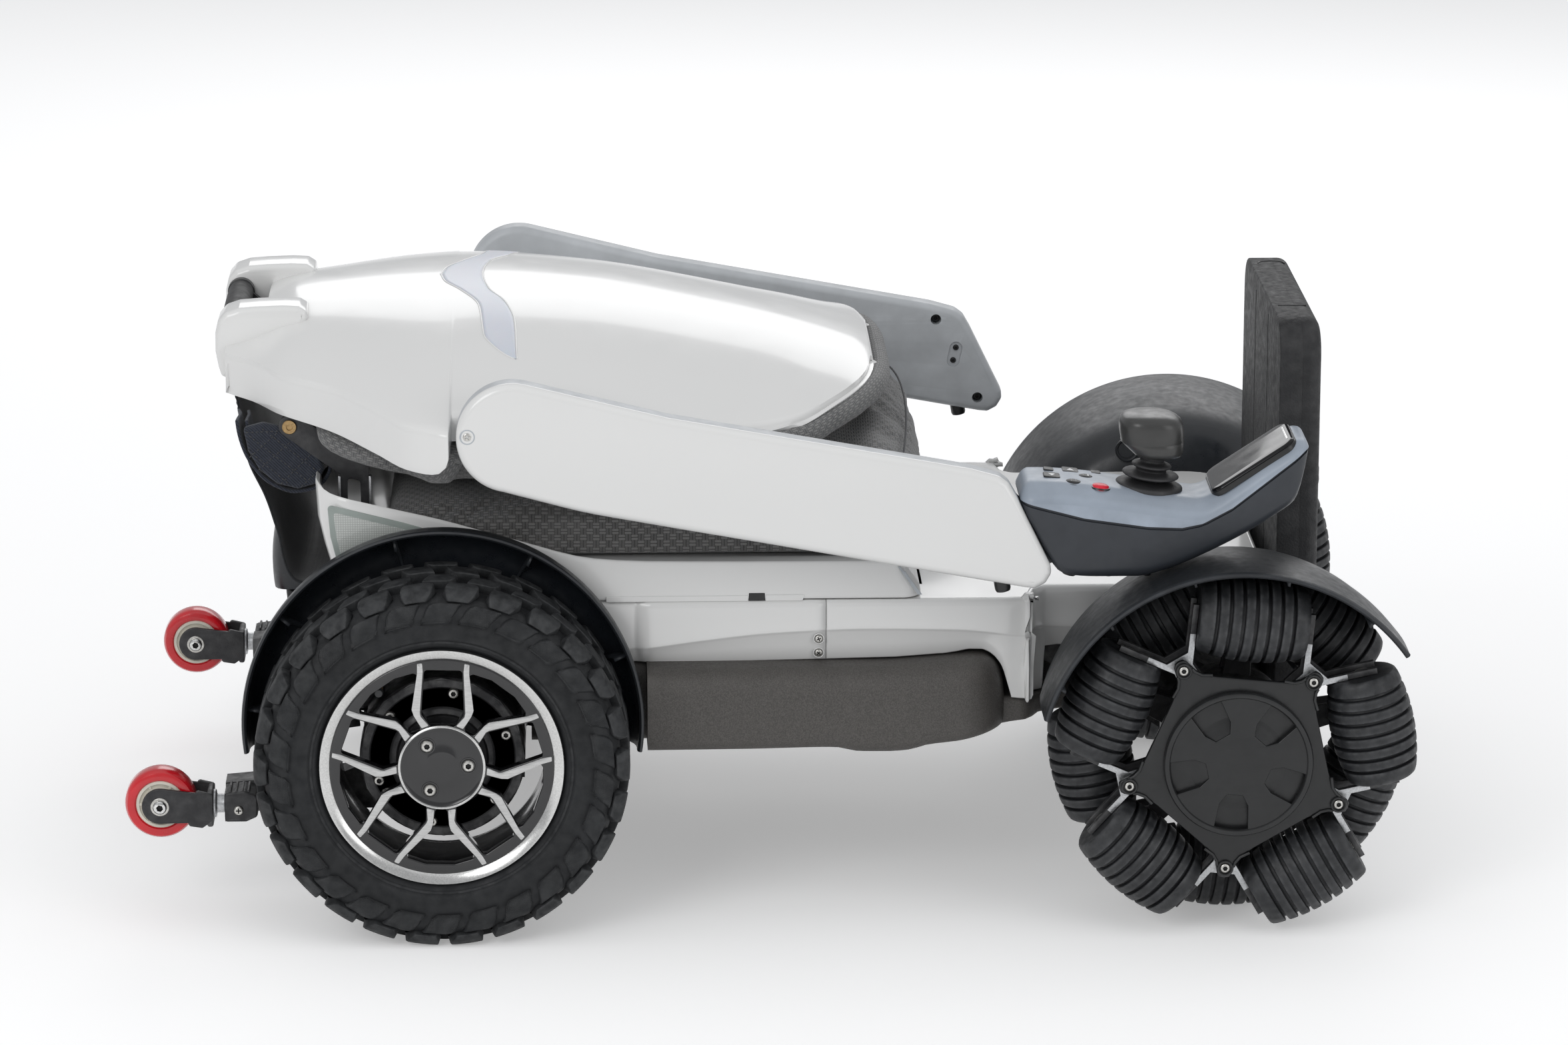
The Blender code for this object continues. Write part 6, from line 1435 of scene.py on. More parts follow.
def swell(obj, cap, hold):
    """Blows a mesh up as cloth; no point moves further than the cap times what hold says of its place."""
    cloth = obj.modifiers.new("Cloth", "CLOTH")
    cloth.settings.use_pressure = True
    cloth.settings.uniform_pressure_force = CLOTH_PRESSURE
    cloth.settings.effector_weights.gravity = 0.0
    cloth.settings.quality = 4
    cloth.collision_settings.use_collision = False
    cloth.point_cache.frame_start = 1
    cloth.point_cache.frame_end = CLOTH_FRAMES
    scene = bpy.context.scene
    for number in range(1, CLOTH_FRAMES + 1):
        scene.frame_set(number)
    blown = evaluated_mesh(obj)
    obj.modifiers.clear()
    scene.frame_set(1)
    for vertex, end in zip(obj.data.vertices, blown.vertices):
        start = vertex.co.copy()
        move = end.co - start
        limit = cap * hold(start)
        if move.length > limit:
            move = move.normalized() * limit if limit > 0 else Vector((0, 0, 0))
        vertex.co = start + move
    bpy.data.meshes.remove(blown)


def puffed(name, node, shrink, voxel, cap, hold):
    """A stuffed copy of a CAD cushion: remeshed, drawn in a little and swollen."""
    source = bpy.data.objects[node]
    mesh = evaluated_mesh(source)
    mesh.transform(source.matrix_world)
    obj = bpy.data.objects.new(name, mesh)
    bpy.context.scene.collection.objects.link(obj)
    bpy.context.view_layer.objects.active = obj
    remesh = obj.modifiers.new("Remesh", "REMESH")
    remesh.mode = "VOXEL"
    remesh.voxel_size = voxel
    ease = obj.modifiers.new("Ease", "SMOOTH")
    ease.iterations = 3
    bpy.context.view_layer.update()
    mesh = evaluated_mesh(obj)
    obj.modifiers.clear()
    obj.data = mesh
    for vertex, normal in zip(mesh.vertices, [v.normal.copy() for v in mesh.vertices]):
        vertex.co -= normal * shrink
    swell(obj, cap, hold)
    mesh.update()
    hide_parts(node)
    return obj


def upholstered(obj, body, looks, pick):
    """Finishes a cushion: rounded, riding on its body, each face in the cloth that its normal picks."""
    smoothed(obj)
    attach(obj, body)
    obj.data.materials.clear()
    for look in looks:
        obj.data.materials.append(LOOKS[look])
    for polygon in obj.data.polygons:
        polygon.material_index = pick(polygon.normal)
        polygon.use_smooth = True


def stitches(name, line, body, length, gap, thick):
    """A row of stitches along a line of points in world space."""
    bm = bmesh.new()
    total, spots = 0.0, []
    for first, second in zip(line, line[1:]):
        step = (second - first).length
        along = (second - first).normalized()
        while total < step:
            spots.append((first + along * total, along))
            total += (length + gap) / 1000
        total -= step
    for point, along in spots:
        place = facing(point, along) @ Matrix.Diagonal((thick, thick, length / 2000, 1.0))
        for vert in bmesh.ops.create_icosphere(bm, subdivisions=1, radius=1.0)["verts"]:
            vert.co = place @ vert.co
    return finish_mesh(name, bm, LOOKS["thread"], body, 0, 0)


def piped(name, points, radius, look, body, sides, start=0.0):
    """A stuffed roll along points, with a flat cloth layout for its weave."""
    bm = bmesh.new()
    layout = bm.loops.layers.uv.new("cloth")
    last = len(points) - 1
    rows, lengths, along = [], [], 0.0
    for index, point in enumerate(points):
        run = (points[min(index + 1, last)] - points[max(index - 1, 0)]).normalized()
        across = run.cross(Vector((0, 0, 1))).normalized()
        up = across.cross(run)
        if index:
            along += (point - points[index - 1]).length
        lengths.append(along)
        reach = radius(index / last, point)
        turns = [start + math.tau * s / sides for s in range(sides + 1)]
        rows.append([bm.verts.new(point + (across * math.cos(t) + up * math.sin(t)) * reach) for t in turns])
    for index in range(last):
        for s in range(sides):
            corners = ((index, s), (index, s + 1), (index + 1, s + 1), (index + 1, s))
            face = bm.faces.new([rows[i][j] for i, j in corners])
            for loop, (i, j) in zip(face.loops, corners):
                loop[layout].uv = (lengths[i], j / sides * math.tau * ROLL_RADIUS)
    bm.faces.new(rows[0][:-1])
    bm.faces.new(list(reversed(rows[-1][:-1])))
    bmesh.ops.recalc_face_normals(bm, faces=bm.faces)
    piece = finish_mesh(name, bm, look, body, 0, 0)
    return piece


def build_seat_cushion():
    def hold(point):
        return min(1.0, max(0.0, (point.z * 1000 - 249) / 10))

    def cloth(normal):
        if abs(normal.x) > 0.62:
            return 1
        return 2 if abs(normal.y) > 0.62 else 0

    obj = puffed("seat_pad", "seat_cushion", 0.0022, 0.005, 0.0050, hold)
    # slow waves over the pad, and gathers and a groove along the front seam
    for vertex, normal in zip(obj.data.vertices, [v.normal.copy() for v in obj.data.vertices]):
        x = (vertex.co.x - REAR_X) * 1000
        y, z = vertex.co.y * 1000, vertex.co.z * 1000
        if z < 250:
            continue
        straight = x + seat_bow(x, y)
        wave = noise.noise(Vector((x * 0.016, y * 0.016, 3.1))) * 0.0010
        near = math.exp(-((straight - 324) / 15.0) ** 2)
        folds = noise.noise(Vector((straight * 0.012, y * 0.16, 1.7))) * 0.0016 * near
        dip = -0.0020 * math.exp(-((straight - SEAM_X) / 3.4) ** 2)
        vertex.co += normal * (wave + folds + dip)
    upholstered(obj, "seat", ("seat_top", "seat_front", "seat_side"), cloth)
    line = []
    for y in spaced(-176, 176, 89):
        x = SEAM_X - seat_bow(SEAM_X, y)
        line.append(at(x, y, seat_height(x, y) + 0.4))
    stitches("seat_seam_stitches", line, "seat", 3.2, 1.2, 0.00045)
    piped("seat_seam_cord", line, lambda share, point: 0.0007, LOOKS["thread"], "seat", 8)


# The backrest's shell, as tables along the chair: its crest, half width, crease and lower edge

SHELL_CREST = [(-150, 389), (-131, 393), (-104, 401), (-77, 404), (-39, 407), (0, 408.5), (30, 409.5),
               (100, 405), (200, 388), (290, 366), (301, 362)]
SHELL_HALF = [(-150, 95), (-131, 113), (-109, 148), (-71, 180), (-42, 215), (-22, 240), (-3, 250),
              (7.2, 254), (9.2, 234), (100, 225), (150, 214), (215, 195), (244, 180), (270, 148), (285, 123),
              (295, 92), (299, 57)]
SHELL_CREASE = [(-150, 374), (-131, 373), (-109, 370.5), (-71, 367.6), (-42, 362), (-22, 357), (7.2, 356),
                (9.2, 354), (100, 352), (150, 348), (215, 344), (244, 347), (270, 353), (285, 357),
                (301, 361)]
SHELL_SKIRT = [(-150, 347), (-142, 346), (-104, 343.2), (-80, 340), (-42, 332.6), (-20, 328), (-6, 326.7),
               (3, 329), (7.2, 338), (9.2, 346), (100, 345), (150, 344), (215, 340), (244, 343.5),
               (270, 350), (285, 354), (301, 358)]
# the top runs on smoothly where its rim steps in beside the armrests
SHELL_SWEEP = [(-150, 95), (-131, 113), (-109, 148), (-71, 180), (-42, 215), (-22, 240), (-3, 250),
               (7.2, 253), (30, 250), (60, 242), (100, 231), (150, 217), (215, 196), (244, 180.5),
               (270, 148), (285, 123), (295, 92), (299, 57)]
REAR_UNDERSIDE = [(-87, 338.5), (-79, 325), (-58, 313), (-34, 302), (-15, 298), (30, 298), (150, 312),
                  (250, 326), (296, 333.5)]
CUSHION_EDGE = [(-87, 158.0), (-71, 173.0), (-42, 187.5), (-20, 188.5), (0, 214), (20, 234.0), (100, 230.5),
                (150, 220), (215, 201), (244, 187), (273, 153), (289, 127.5), (300.5, 95), (305, 58),
                (306.5, 30)]
SHELL_STATIONS = [-150.0, -149.2, -147.4, *spaced(-144, 5.2, 34), 6.2, 7.2, 7.7, 8.2, 8.7, 9.2, 10.4,
                  *spaced(16, 280, 52), 284, 288, 291, 294, 296.4, 298.2, 299.0]
SHELL_RIM = 0.988               # share of the half width at which the top meets its rim
STRIP_REAR = [(0, -2.0), (20, 1.0), (47, 12.9), (82, 26.0), (113, 28.6), (134, 30.4), (152, 39.0),
              (162, 47.6), (164.5, 51.6)]
STRIP_FRONT = [(0, 27.0), (11, 27.4), (45, 31.8), (74, 43.4), (90, 47.3), (105, 49.9), (137, 51.4),
               (164.5, 52.1)]


def shell_height(x, y):
    half = flowing(x, SHELL_SWEEP)
    crease = flowing(x, SHELL_CREASE)
    return crease + (flowing(x, SHELL_CREST) - crease) * (1.0 - min(1.0, abs(y) / half) ** 2.2)


def roll_line():
    """The line of the stuffed roll round the cushion, from side to side past the front."""
    half = []
    for x in [-84, -78, *spaced(-70, 280, 44), 286, 291, 295.5, 299, 301.6, 303.6, 304.8]:
        level = flowing(x, SHELL_SKIRT) - 10.5
        if x < 0:
            level = max(level, between(x, REAR_UNDERSIDE) + 9)
        half.append((x, flowing(x, CUSHION_EDGE) - 8.6, level))
    half.append((305.0, 26.0, half[-1][2]))
    right = [at(x, -y, z) for x, y, z in half]
    left = [at(x, y, z) for x, y, z in reversed(half)]
    return [*right, at(305.2, 0, half[-1][2]), *left]


def build_back_cushion():
    def hold(point):
        roof = flowing((point.x - REAR_X) * 1000, SHELL_SKIRT) - 12
        return min(1.0, max(0.0, (roof - point.z * 1000) / 8))

    def reach(share, point):
        ripple = noise.noise(point * 90.0) * 0.00035 + noise.noise(point * 260.0) * 0.00018
        return (0.0084 + ripple) * min(1.0, 0.25 + min(share, 1.0 - share) * 60.0)

    obj = puffed("back_pad", "backrest_cushion", 0.0016, 0.0055, 0.0030, hold)
    for vertex, normal in zip(obj.data.vertices, [v.normal.copy() for v in obj.data.vertices]):
        x, y = (vertex.co.x - REAR_X) * 1000, vertex.co.y * 1000
        if normal.z < -0.3:
            # quilted channels across the side that faces the occupant
            channel = abs(math.sin(math.pi * (x + 20) / 52.0)) ** 0.5
            fade = max(0.0, 1.0 - abs(y) / 150.0) ** 0.3
            vertex.co += Vector((0, 0, 0.0022 * (1.0 - channel) * fade))
    upholstered(obj, "backrest", ("under", "under_side"),
                lambda normal: 1 if abs(normal.z) < 0.5 else 0)
    line = roll_line()
    points = []
    for first, second in zip(line, line[1:]):
        count = max(1, round((second - first).length / 0.0028))
        points += [first.lerp(second, step / count) for step in range(count)]
    roll = piped("back_roll", [*points, line[-1]], reach, LOOKS["roll"], "backrest", 22, QUARTER)
    seam = []
    for point in line[2:-2]:
        inward = math.copysign(0.0054, point.y) if abs(point.y) > 0.03 else 0.0
        seam.append(point - Vector((0, inward, 0.0072)))
    stitches("back_roll_stitches", seam, "backrest", 3.0, 1.6, 0.0004)


def carve(obj, cutters):
    """Cuts shapes out of a piece and keeps the result as plain mesh."""
    for cutter in cutters:
        mod = obj.modifiers.new("Cut", "BOOLEAN")
        mod.operation = "DIFFERENCE"
        mod.solver = "EXACT"
        mod.object = cutter
    bpy.context.view_layer.update()
    mesh = evaluated_mesh(obj)
    obj.modifiers.clear()
    obj.data = mesh
    for cutter in cutters:
        bpy.data.objects.remove(cutter, do_unlink=True)
    mesh.shade_smooth()
    mesh.set_sharp_from_angle(angle=math.radians(38))


def shell_row(x, drop=0.0, shift=0.0):
    """The shell's section at x; drop lowers it towards its lower edge, which closes an end."""
    half, skirt = flowing(x, SHELL_HALF), flowing(x, SHELL_SKIRT)
    rim = shell_height(x, half * SHELL_RIM)
    side = [(half - 0.9, rim - 1.6), (half - 0.2, rim - 2.9), (half, rim - 4.6)]
    for share in (0.2, 0.4, 0.6, 0.8, 1.0):
        side.append((half + 0.5 * share, (rim - 4.6) + (skirt - rim + 4.6) * share))
    points = [at(x + shift, -y, z) for y, z in reversed(side)]
    for share in (-SHELL_RIM, *spaced(-1, 1, 65)[1:-1], SHELL_RIM):
        points.append(at(x + shift, share * half, shell_height(x, share * half)))
    points += [at(x + shift, y, z) for y, z in side]
    if drop:
        floor = (skirt if x > 0 else 352.0) / 1000
        points = [Vector((p.x, p.y, p.z + (floor - p.z) * drop)) for p in points]
    return points


def open_shell(shell):
    """Cuts the opening behind the handle."""
    bm = bmesh.new()
    bm.from_mesh(shell.data)
    for spot, normal in (((0, -51.5, 0), (0, 1, 0)), ((0, 51.5, 0), (0, 1, 0)), ((-123.6, 0, 0), (1, 0, 0))):
        near = {face for face in bm.faces if face.calc_center_median().x < at(-112, 0, 0).x}
        edges = {edge for face in near for edge in face.edges}
        verts = {vert for face in near for vert in face.verts}
        bmesh.ops.bisect_plane(bm, geom=[*near, *edges, *verts], plane_co=at(*spot), plane_no=normal,
                               dist=0.0002)
    gone = [face for face in bm.faces if face.calc_center_median().x < at(-123.6, 0, 0).x
            and abs(face.calc_center_median().y) < 0.0515]
    bmesh.ops.delete(bm, geom=gone, context="FACES")
    bm.to_mesh(shell.data)
    bm.free()
    shell.data.set_sharp_from_angle(angle=math.radians(42))


def build_light_strip():
    """A smooth lens laid into the shell, between two fine edges."""
    grid = []
    for y in spaced(-164.5, 164.5, 95):
        low_x, high_x = flowing(abs(y), STRIP_REAR), flowing(abs(y), STRIP_FRONT)
        line = []
        for share in (0.0, 0.04, 0.12, 0.3, 0.5, 0.7, 0.88, 0.96, 1.0):
            x = low_x + (high_x - low_x) * share
            line.append(at(x, y, shell_height(x, y) + (0.55 if 0.01 < share < 0.99 else -0.35)))
        grid.append(line)
    lens = skin("light_strip", grid, LOOKS["light"], "backrest", inside=at(20, 0, 300), angle=0)
    for end, edge, shift in (("rear", STRIP_REAR, -0.5), ("front", STRIP_FRONT, 0.5)):
        line = []
        for y in spaced(-164.2, 164.2, 95):
            x = flowing(abs(y), edge) + shift
            line.append(at(x, y, shell_height(x, y) + 0.05))
        tube(f"strip_edge_{end}", line, 0.0006, LOOKS["white"], "backrest", 8)


def build_shell():
    rows = [shell_row(-150, 1.0, 2.6), shell_row(-150, 0.5, 1.2), shell_row(-150, 0.12, 0.2)]
    rows += [shell_row(x) for x in SHELL_STATIONS]
    rows += [shell_row(299, 0.15, 0.9), shell_row(299, 0.4, 1.6), shell_row(299, 1.0, 2.0)]
    shell = skin("shell", rows, LOOKS["white"], "backrest", inside=at(50, 0, 300), angle=0)
    open_shell(shell)
    solid(shell, 0.003, even=False)
    soft_edges(shell, 0.0008, 2, 48)
    stands_for(shell, "back_shell")
    build_light_strip()


LUG = [(-157.5, 373), (-157.4, 386), (-155.4, 394.5), (-150, 400.6), (-141, 403.6), (-128, 404.6),
       (-110, 405.2), (-99, 404.6), (-93.5, 401.0), (-93, 396.0), (-97, 386.0), (-112, 370.0), (-138, 364),
       (-143.5, 356.6), (-149, 353.6), (-153.6, 355.4), (-155.6, 362)]
LUG_RADII = [3, 6, 6, 6, 6, 10, 6, 4, 3, 3, 6, 8, 5, 4, 4, 4, 4]
GRIP_X = -146
GRIP_Z = 386.5


def build_handle():
    for side, sign in SIDES.items():
        lug = side_plate(f"handle_fairing_{side}", rounded(LUG, LUG_RADII, 5), outward(sign, 50.2, 84.2),
                         4.2, LOOKS["white"], "backrest", segments=4)
    tube("handle_grip", [at(GRIP_X, y, GRIP_Z) for y in spaced(-50.0, 50.0, 41)],
         lambda share: 0.0088 + 0.0004 * math.sin(math.pi * share), LOOKS["grip"], "backrest", 36)
    for side, sign in SIDES.items():
        tube(f"handle_collar_{side}", [at(GRIP_X, sign * y, GRIP_Z) for y in (43.5, 44.0, 49.9)],
             lambda share: 0.0096 if share > 0.3 else 0.0090, LOOKS["plastic"], "backrest", 36)
    dress("backrest_frame", LOOKS["frame"], 0.0006)


def dress(node, look, edge=0.0):
    """Gives a CAD node that stays a finished material and, where wanted, rounded edges."""
    obj = bpy.data.objects[node]
    for slot in obj.material_slots:
        slot.link = "OBJECT"
        slot.material = look
    if edge:
        soft_edges(obj, edge, 2, 30)


# Flap and belt

BELT_SIDE = -146.1
# the flap's hanging line, as (x, height, half width)
FLAP_LINE = [(-147.5, 350.6, 86), (-144, 338.5, 90), (-138, 317, 118), (-134, 303, 129), (-126, 283, 130),
             (-119.6, 262, 130), (-116, 251, 130), (-113, 238, 130), (-107, 224, 130), (-101, 219.2, 130),
             (-96, 218.2, 130), (-90, 219.2, 130), (-83, 221.5, 130), (-70.7, 230, 130)]
BELT_OUTER = [(-139.5, 339.0), (-138.0, 329.0), (-134.0, 314.0), (-126.0, 301.0), (-114.0, 292.0),
              (-101.0, 288.4), (-89.0, 290.0), (-80.0, 296.0), (-76.6, 305.0), (-79.0, 314.0),
              (-86.0, 322.0), (-95.0, 328.0)]
BELT_INNER = [(-133.6, 338.0), (-131.6, 327.0), (-127.0, 315.0), (-119.6, 304.6), (-109.0, 297.6),
              (-98.4, 296.0), (-89.4, 299.6), (-85.6, 306.6), (-90.0, 315.0), (-99.0, 323.0),
              (-108.0, 330.0)]
BELT_FACE = [(-136.0, 334.0), (-132.6, 317.0), (-125.0, 303.6), (-113.0, 294.0), (-99.0, 290.4),
             (-86.0, 294.0), (-80.6, 304.0), (-84.6, 315.0), (-95.0, 326.0), (-107.0, 334.0),
             (-122.0, 337.6)]
BELT_SEAMS = [((-131, 328), (-92, 296)), ((-125, 305), (-98, 329)), ((-132, 318), (-106, 295)),
              ((-110, 295), (-87, 318)), ((-133, 331), (-106, 332)), ((-96, 293), (-83, 305)),
              ((-122, 333), (-84, 302)), ((-131, 314), (-112, 331))]


def crumple(obj):
    """Gives a piece a mesh of its own."""
    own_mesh(obj)


def build_flap():
    along = [0.0]
    for first, second in zip(FLAP_LINE, FLAP_LINE[1:]):
        along.append(along[-1] + math.dist(first[:2], second[:2]))
    length = along[-1]
    stretches = zip(along, along[1:], FLAP_LINE, FLAP_LINE[1:])
    area = sum((b - a) * (p[2] + q[2]) for a, b, p, q in stretches) / 1e6
    rows = []
    for s in spaced(0.0, length, 64):
        x, z, half = [flowing(s, [(a, p[k]) for a, p in zip(along, FLAP_LINE)]) for k in range(3)]
        share = s / length
        row = []
        for t in spaced(-1.0, 1.0, 61):
            spot = Vector((share * 3.2, t * 2.6, 0.4))
            fold = 1.1 * math.sin(share * 9.0 + t * 3.1) + 1.6 * noise.noise(spot)
            fold *= min(1.0, share * 5.0, (1.0 - share) * 6.0)
            row.append(at(x + 1.6 + fold, t * half, z + 0.4))
        rows.append(row)
    flap = skin("rear_sheet", rows, LOOKS["flap"], "seat", inside=at(0, 0, 300), angle=0)
    solid(flap, 0.0012, 0.0)
    stands_for(flap, "rear_flap")
    crumple(flap)
    for side, column in (("right", 1), ("left", -2)):
        hem = [row[column] + Vector((-0.0009, 0, 0)) for row in rows[2:62]]
        crumple(stitches(f"flap_hem_{side}", hem, "seat", 3.0, 1.6, 0.0003))


def strap_loop(name, path, low_y, high_y, wobble):
    """Webbing folded along a path of (x, z), with a soft edge."""
    tables = [list(enumerate(point[k] for point in path)) for k in range(2)]
    rows = []
    for index, s in enumerate(spaced(0, len(path) - 1, 44)):
        x, z = [flowing(s, table) for table in tables]
        row = []
        for y in spaced(low_y, high_y, 13):
            bend = noise.noise(Vector((x * 0.05, y * 0.06, index * 0.05))) * wobble
            row.append(at(x + bend, y, z + bend * 0.5))
        rows.append(row)
    obj = skin(name, rows, LOOKS["belt"], "seat", angle=0)
    solid(obj, 0.0022, 0.0)
    soft_edges(obj, 0.0004, 1, 50)
    crumple(obj)
    return obj


def build_belt():
    """The lap belt's webbing, folded into a bundle that hangs behind the seat."""
    stands_for(strap_loop("belt_fold_outer", BELT_OUTER, -143.0, -108.0, 2.2), "seat_belt")
    strap_loop("belt_fold_inner", BELT_INNER, -141.0, -109.0, 2.6)
    pad = side_plate("belt_pad", rounded(BELT_FACE, 3.0, 5), (-146.0, -139.6), 2.4, LOOKS["belt"], "seat",
                     segments=4)
    crumple(pad)
    for index, ((x, z), (end_x, end_z)) in enumerate(BELT_SEAMS):
        line = [at(x + (end_x - x) * t, BELT_SIDE, z + (end_z - z) * t) for t in spaced(0, 1, 12)]
        crumple(stitches(f"belt_stitch_{index}", line, "seat", 2.4, 1.0, 0.0005))


# Armrests

ARM_OUTLINE = [(83.1, 304.8), (95.0, 301.7), (108.1, 298.9), (167.9, 287.8), (227.9, 276.9), (323, 259.4),
               (395, 246.2), (401.4, 245.6), (408.4, 249.3), (412.3, 256), (411.8, 261.5), (388.4, 309.5),
               (383, 319), (376.6, 323.8), (357.6, 329.1), (153.1, 366.1)]
ARM_RADII = [0, 20, 20, 0, 0, 0, 4, 4, 5, 5, 4, 12, 8, 10, 14, 0]
ARM_END = arc((50, 352.8), 37.7, 76, 263, 4)
ARM_INNER = 236.7
ARM_OUTER = 258.7
ARM_SHADE_REACH = 0.2495               # metres from the middle up to which the arm is painted grey: painted shade on its inner side
DEEP_SCREWS = ((362.1, 317.6), (393.7, 257.1))
SLOT_SCREWS = ((377.3, 295.7), (375.3, 286.0))


def build_arms():
    slot = [(376.3 + u, 290.8 + v) for u, v in spun(rounded(rectangle(-9.8, 9.8, -4.8, 4.8), 4.7, 6), 78)]
    for side, sign in SIDES.items():
        body = f"arm_{side}"
        inner, outer = sign * ARM_INNER, sign * ARM_OUTER
        arm = side_plate(f"armrest_{side}", rounded(ARM_OUTLINE, ARM_RADII, 5) + ARM_END,
                         outward(sign, ARM_INNER, ARM_OUTER), 5.2, LOOKS["white"], body, segments=6)
        cutters = []
        for x, z in DEEP_SCREWS:
            place = facing(at(x, inner + sign * 4.0, z), (0, sign, 0))
            cutters.append(turned("drill", [(0, -6), (4.0, -6), (4.0, 5), (0, 5)], place, LOOKS["plastic"],
                                  None, 32))
        cutters.append(side_plate("slot", slot, sorted((inner - sign * 4, inner + sign * 1.6)), 0.0,
                                  LOOKS["white"], None))
        carve(arm, cutters)
        # the inner side and the inner part of the top and edges take the grey plastic: painted shade on the
        # white arm
        arm.data.materials.append(LOOKS["edge"])
        for polygon in arm.data.polygons:
            if abs(polygon.center.y) < ARM_SHADE_REACH:
                polygon.material_index = 1
        stands_for(arm, body)
        for index, (x, z) in enumerate(SLOT_SCREWS):
            screw(f"arm_inner_screw_{side}_{index}", at(x, inner + sign * 1.4, z), (0, -sign, 0), 2.2, 1.2,
                  "hex", LOOKS["plastic"], body)
        for index, (x, z) in enumerate(DEEP_SCREWS):
            screw(f"arm_deep_screw_{side}_{index}", at(x, inner + sign * 7.5, z), (0, -sign, 0), 3.4, 2.0,
                  "hex", LOOKS["plastic"], body)
        spot = at(20.0, outer - sign * 1.2, 354.8)
        turned(f"arm_countersink_{side}", [(5.2, 1.25), (4.6, 1.35), (3.9, 0.9), (3.4, 0.1), (0, 0.0)],
               facing(spot, (0, sign, 0)), LOOKS["trim"], body, 40, 30)
        screw(f"arm_screw_{side}", spot, (0, sign, 0), 3.2, 1.7, "cross", LOOKS["zinc"], body, 35)
        stub = facing(at(380, sign * 247.5, 244.4), (0.18, 0, -1))
        turned(f"arm_stub_{side}", [(5.4, -6), (5.4, 0.6), (4.8, 2.2), (3.6, 2.6), (0, 2.6)], stub,
               LOOKS["plastic"], body, 32)


# Controller

TOP_SLOPE = math.radians(6.65)
TOP_NORMAL = (math.sin(TOP_SLOPE), 0, math.cos(TOP_SLOPE))
CONTROL_Y = -225.0
CONTROL_HALF = 33.0
CONTROL_REAR = 391.2
CONTROL_FRONT = 585.5
REAR_ROUNDING = 10.0
FRONT_ROUNDING = 12.0
SEAM = [(391.2, 305.8), (434, 294.4), (477, 288.1), (500, 287.2), (514, 290.0), (534, 300.8), (582, 338.8),
        (585.5, 340.4)]
TOP_LINE = [(391.2, 307.0), (392.0, 310.6), (393.6, 314.0), (395.8, 316.4), (398.6, 317.7), (402, 317.7),
            (506, 305.6), (510, 305.2), (514, 305.6), (518, 307.0), (524, 310.4), (575, 344.0), (579, 345.3),
            (582, 345.2), (584.4, 343.8), (585.5, 341.6)]
SIDE_DROP = [(0, 13.0), (0.25, 11.4), (0.9, 9.4), (2, 7.7), (4, 5.9), (6, 4.4), (8, 2.9), (10, 1.7),
             (12.5, 0.6), (16, 0.0)]
CASE_FLOOR = [(391.2, 305.0), (394, 298.0), (400, 286.0), (406, 274.0), (412.8, 262.3), (416, 257.4),
              (420, 254.5), (428, 252.4), (442, 251.5), (470, 251.5), (490, 256.0), (505, 262.0),
              (543, 281.0), (566, 295.6), (576, 303.6), (580, 313.0), (583, 327.0), (584.6, 337.6),
              (585.5, 339.6)]
TOP_STATIONS = [391.2, 391.6, 392.2, 393, 394, 395.2, 396.6, 398.4, 401, *spaced(404, 500, 33),
                *spaced(503, 530, 19), *spaced(534, 572, 14), 575, 577.4, 579.4, 581, 582.4, 583.6, 584.6,
                585.2, 585.5]
TOP_STEPS = [0, 0.12, 0.35, 0.7, 1.2, 2, 3, 4, 5, 6, 7, 8, 9, 10, 11, 12.5, 14, 16, 20, 25, 30]
CASE_STATIONS = [391.2, 392, 393.4, 395.4, 398, 401, 404, *spaced(408, 432, 9), *spaced(438, 500, 12),
                 *spaced(506, 566, 12), 570, 573, 576, 578, 580, 582, 583.4, 584.6, 585.5]
TONGUE = [(354, 322.4), (354, 308), (374, 284), (388, 253), (424, 260), (412, 296), (392, 303.5),
          (374, 322.4)]
CASE_GLAND = [(0, -6), (7.0, -6), (7.0, 0.4), (6.4, 1.2), (5.4, 1.4), (4.8, 5.6), (4.2, 6.2), (0, 6.2)]
KEY_SIZE = (6.2, 5.6)
FLAT_KEY_SIZE = (4.2, 3.4)
ARROW = [(-0.5, -0.55), (0.55, 0.0), (-0.5, 0.55)]


def on_top(x, height=0.0):
    """The x and z of a point that many millimetres above the sloping top."""
    z = 317.7 - (x - 402.0) * math.tan(TOP_SLOPE)
    return x + height * math.sin(TOP_SLOPE), z + height * math.cos(TOP_SLOPE)


def top_place(x, y, height=0.0):
    """The placement of a piece that stands on the controller's sloping top."""
    px, pz = on_top(x, height)
    return facing(at(px, y, pz), TOP_NORMAL)


def controller_half(x):
    """Half the controller's width, less towards its rounded ends."""
    half = CONTROL_HALF
    behind, ahead = CONTROL_REAR + REAR_ROUNDING - x, x - CONTROL_FRONT + FRONT_ROUNDING
    if behind > 0:
        half -= REAR_ROUNDING - math.sqrt(max(0.0, REAR_ROUNDING ** 2 - behind ** 2))
    if ahead > 0:
        half -= FRONT_ROUNDING - math.sqrt(max(0.0, FRONT_ROUNDING ** 2 - ahead ** 2))
    return half


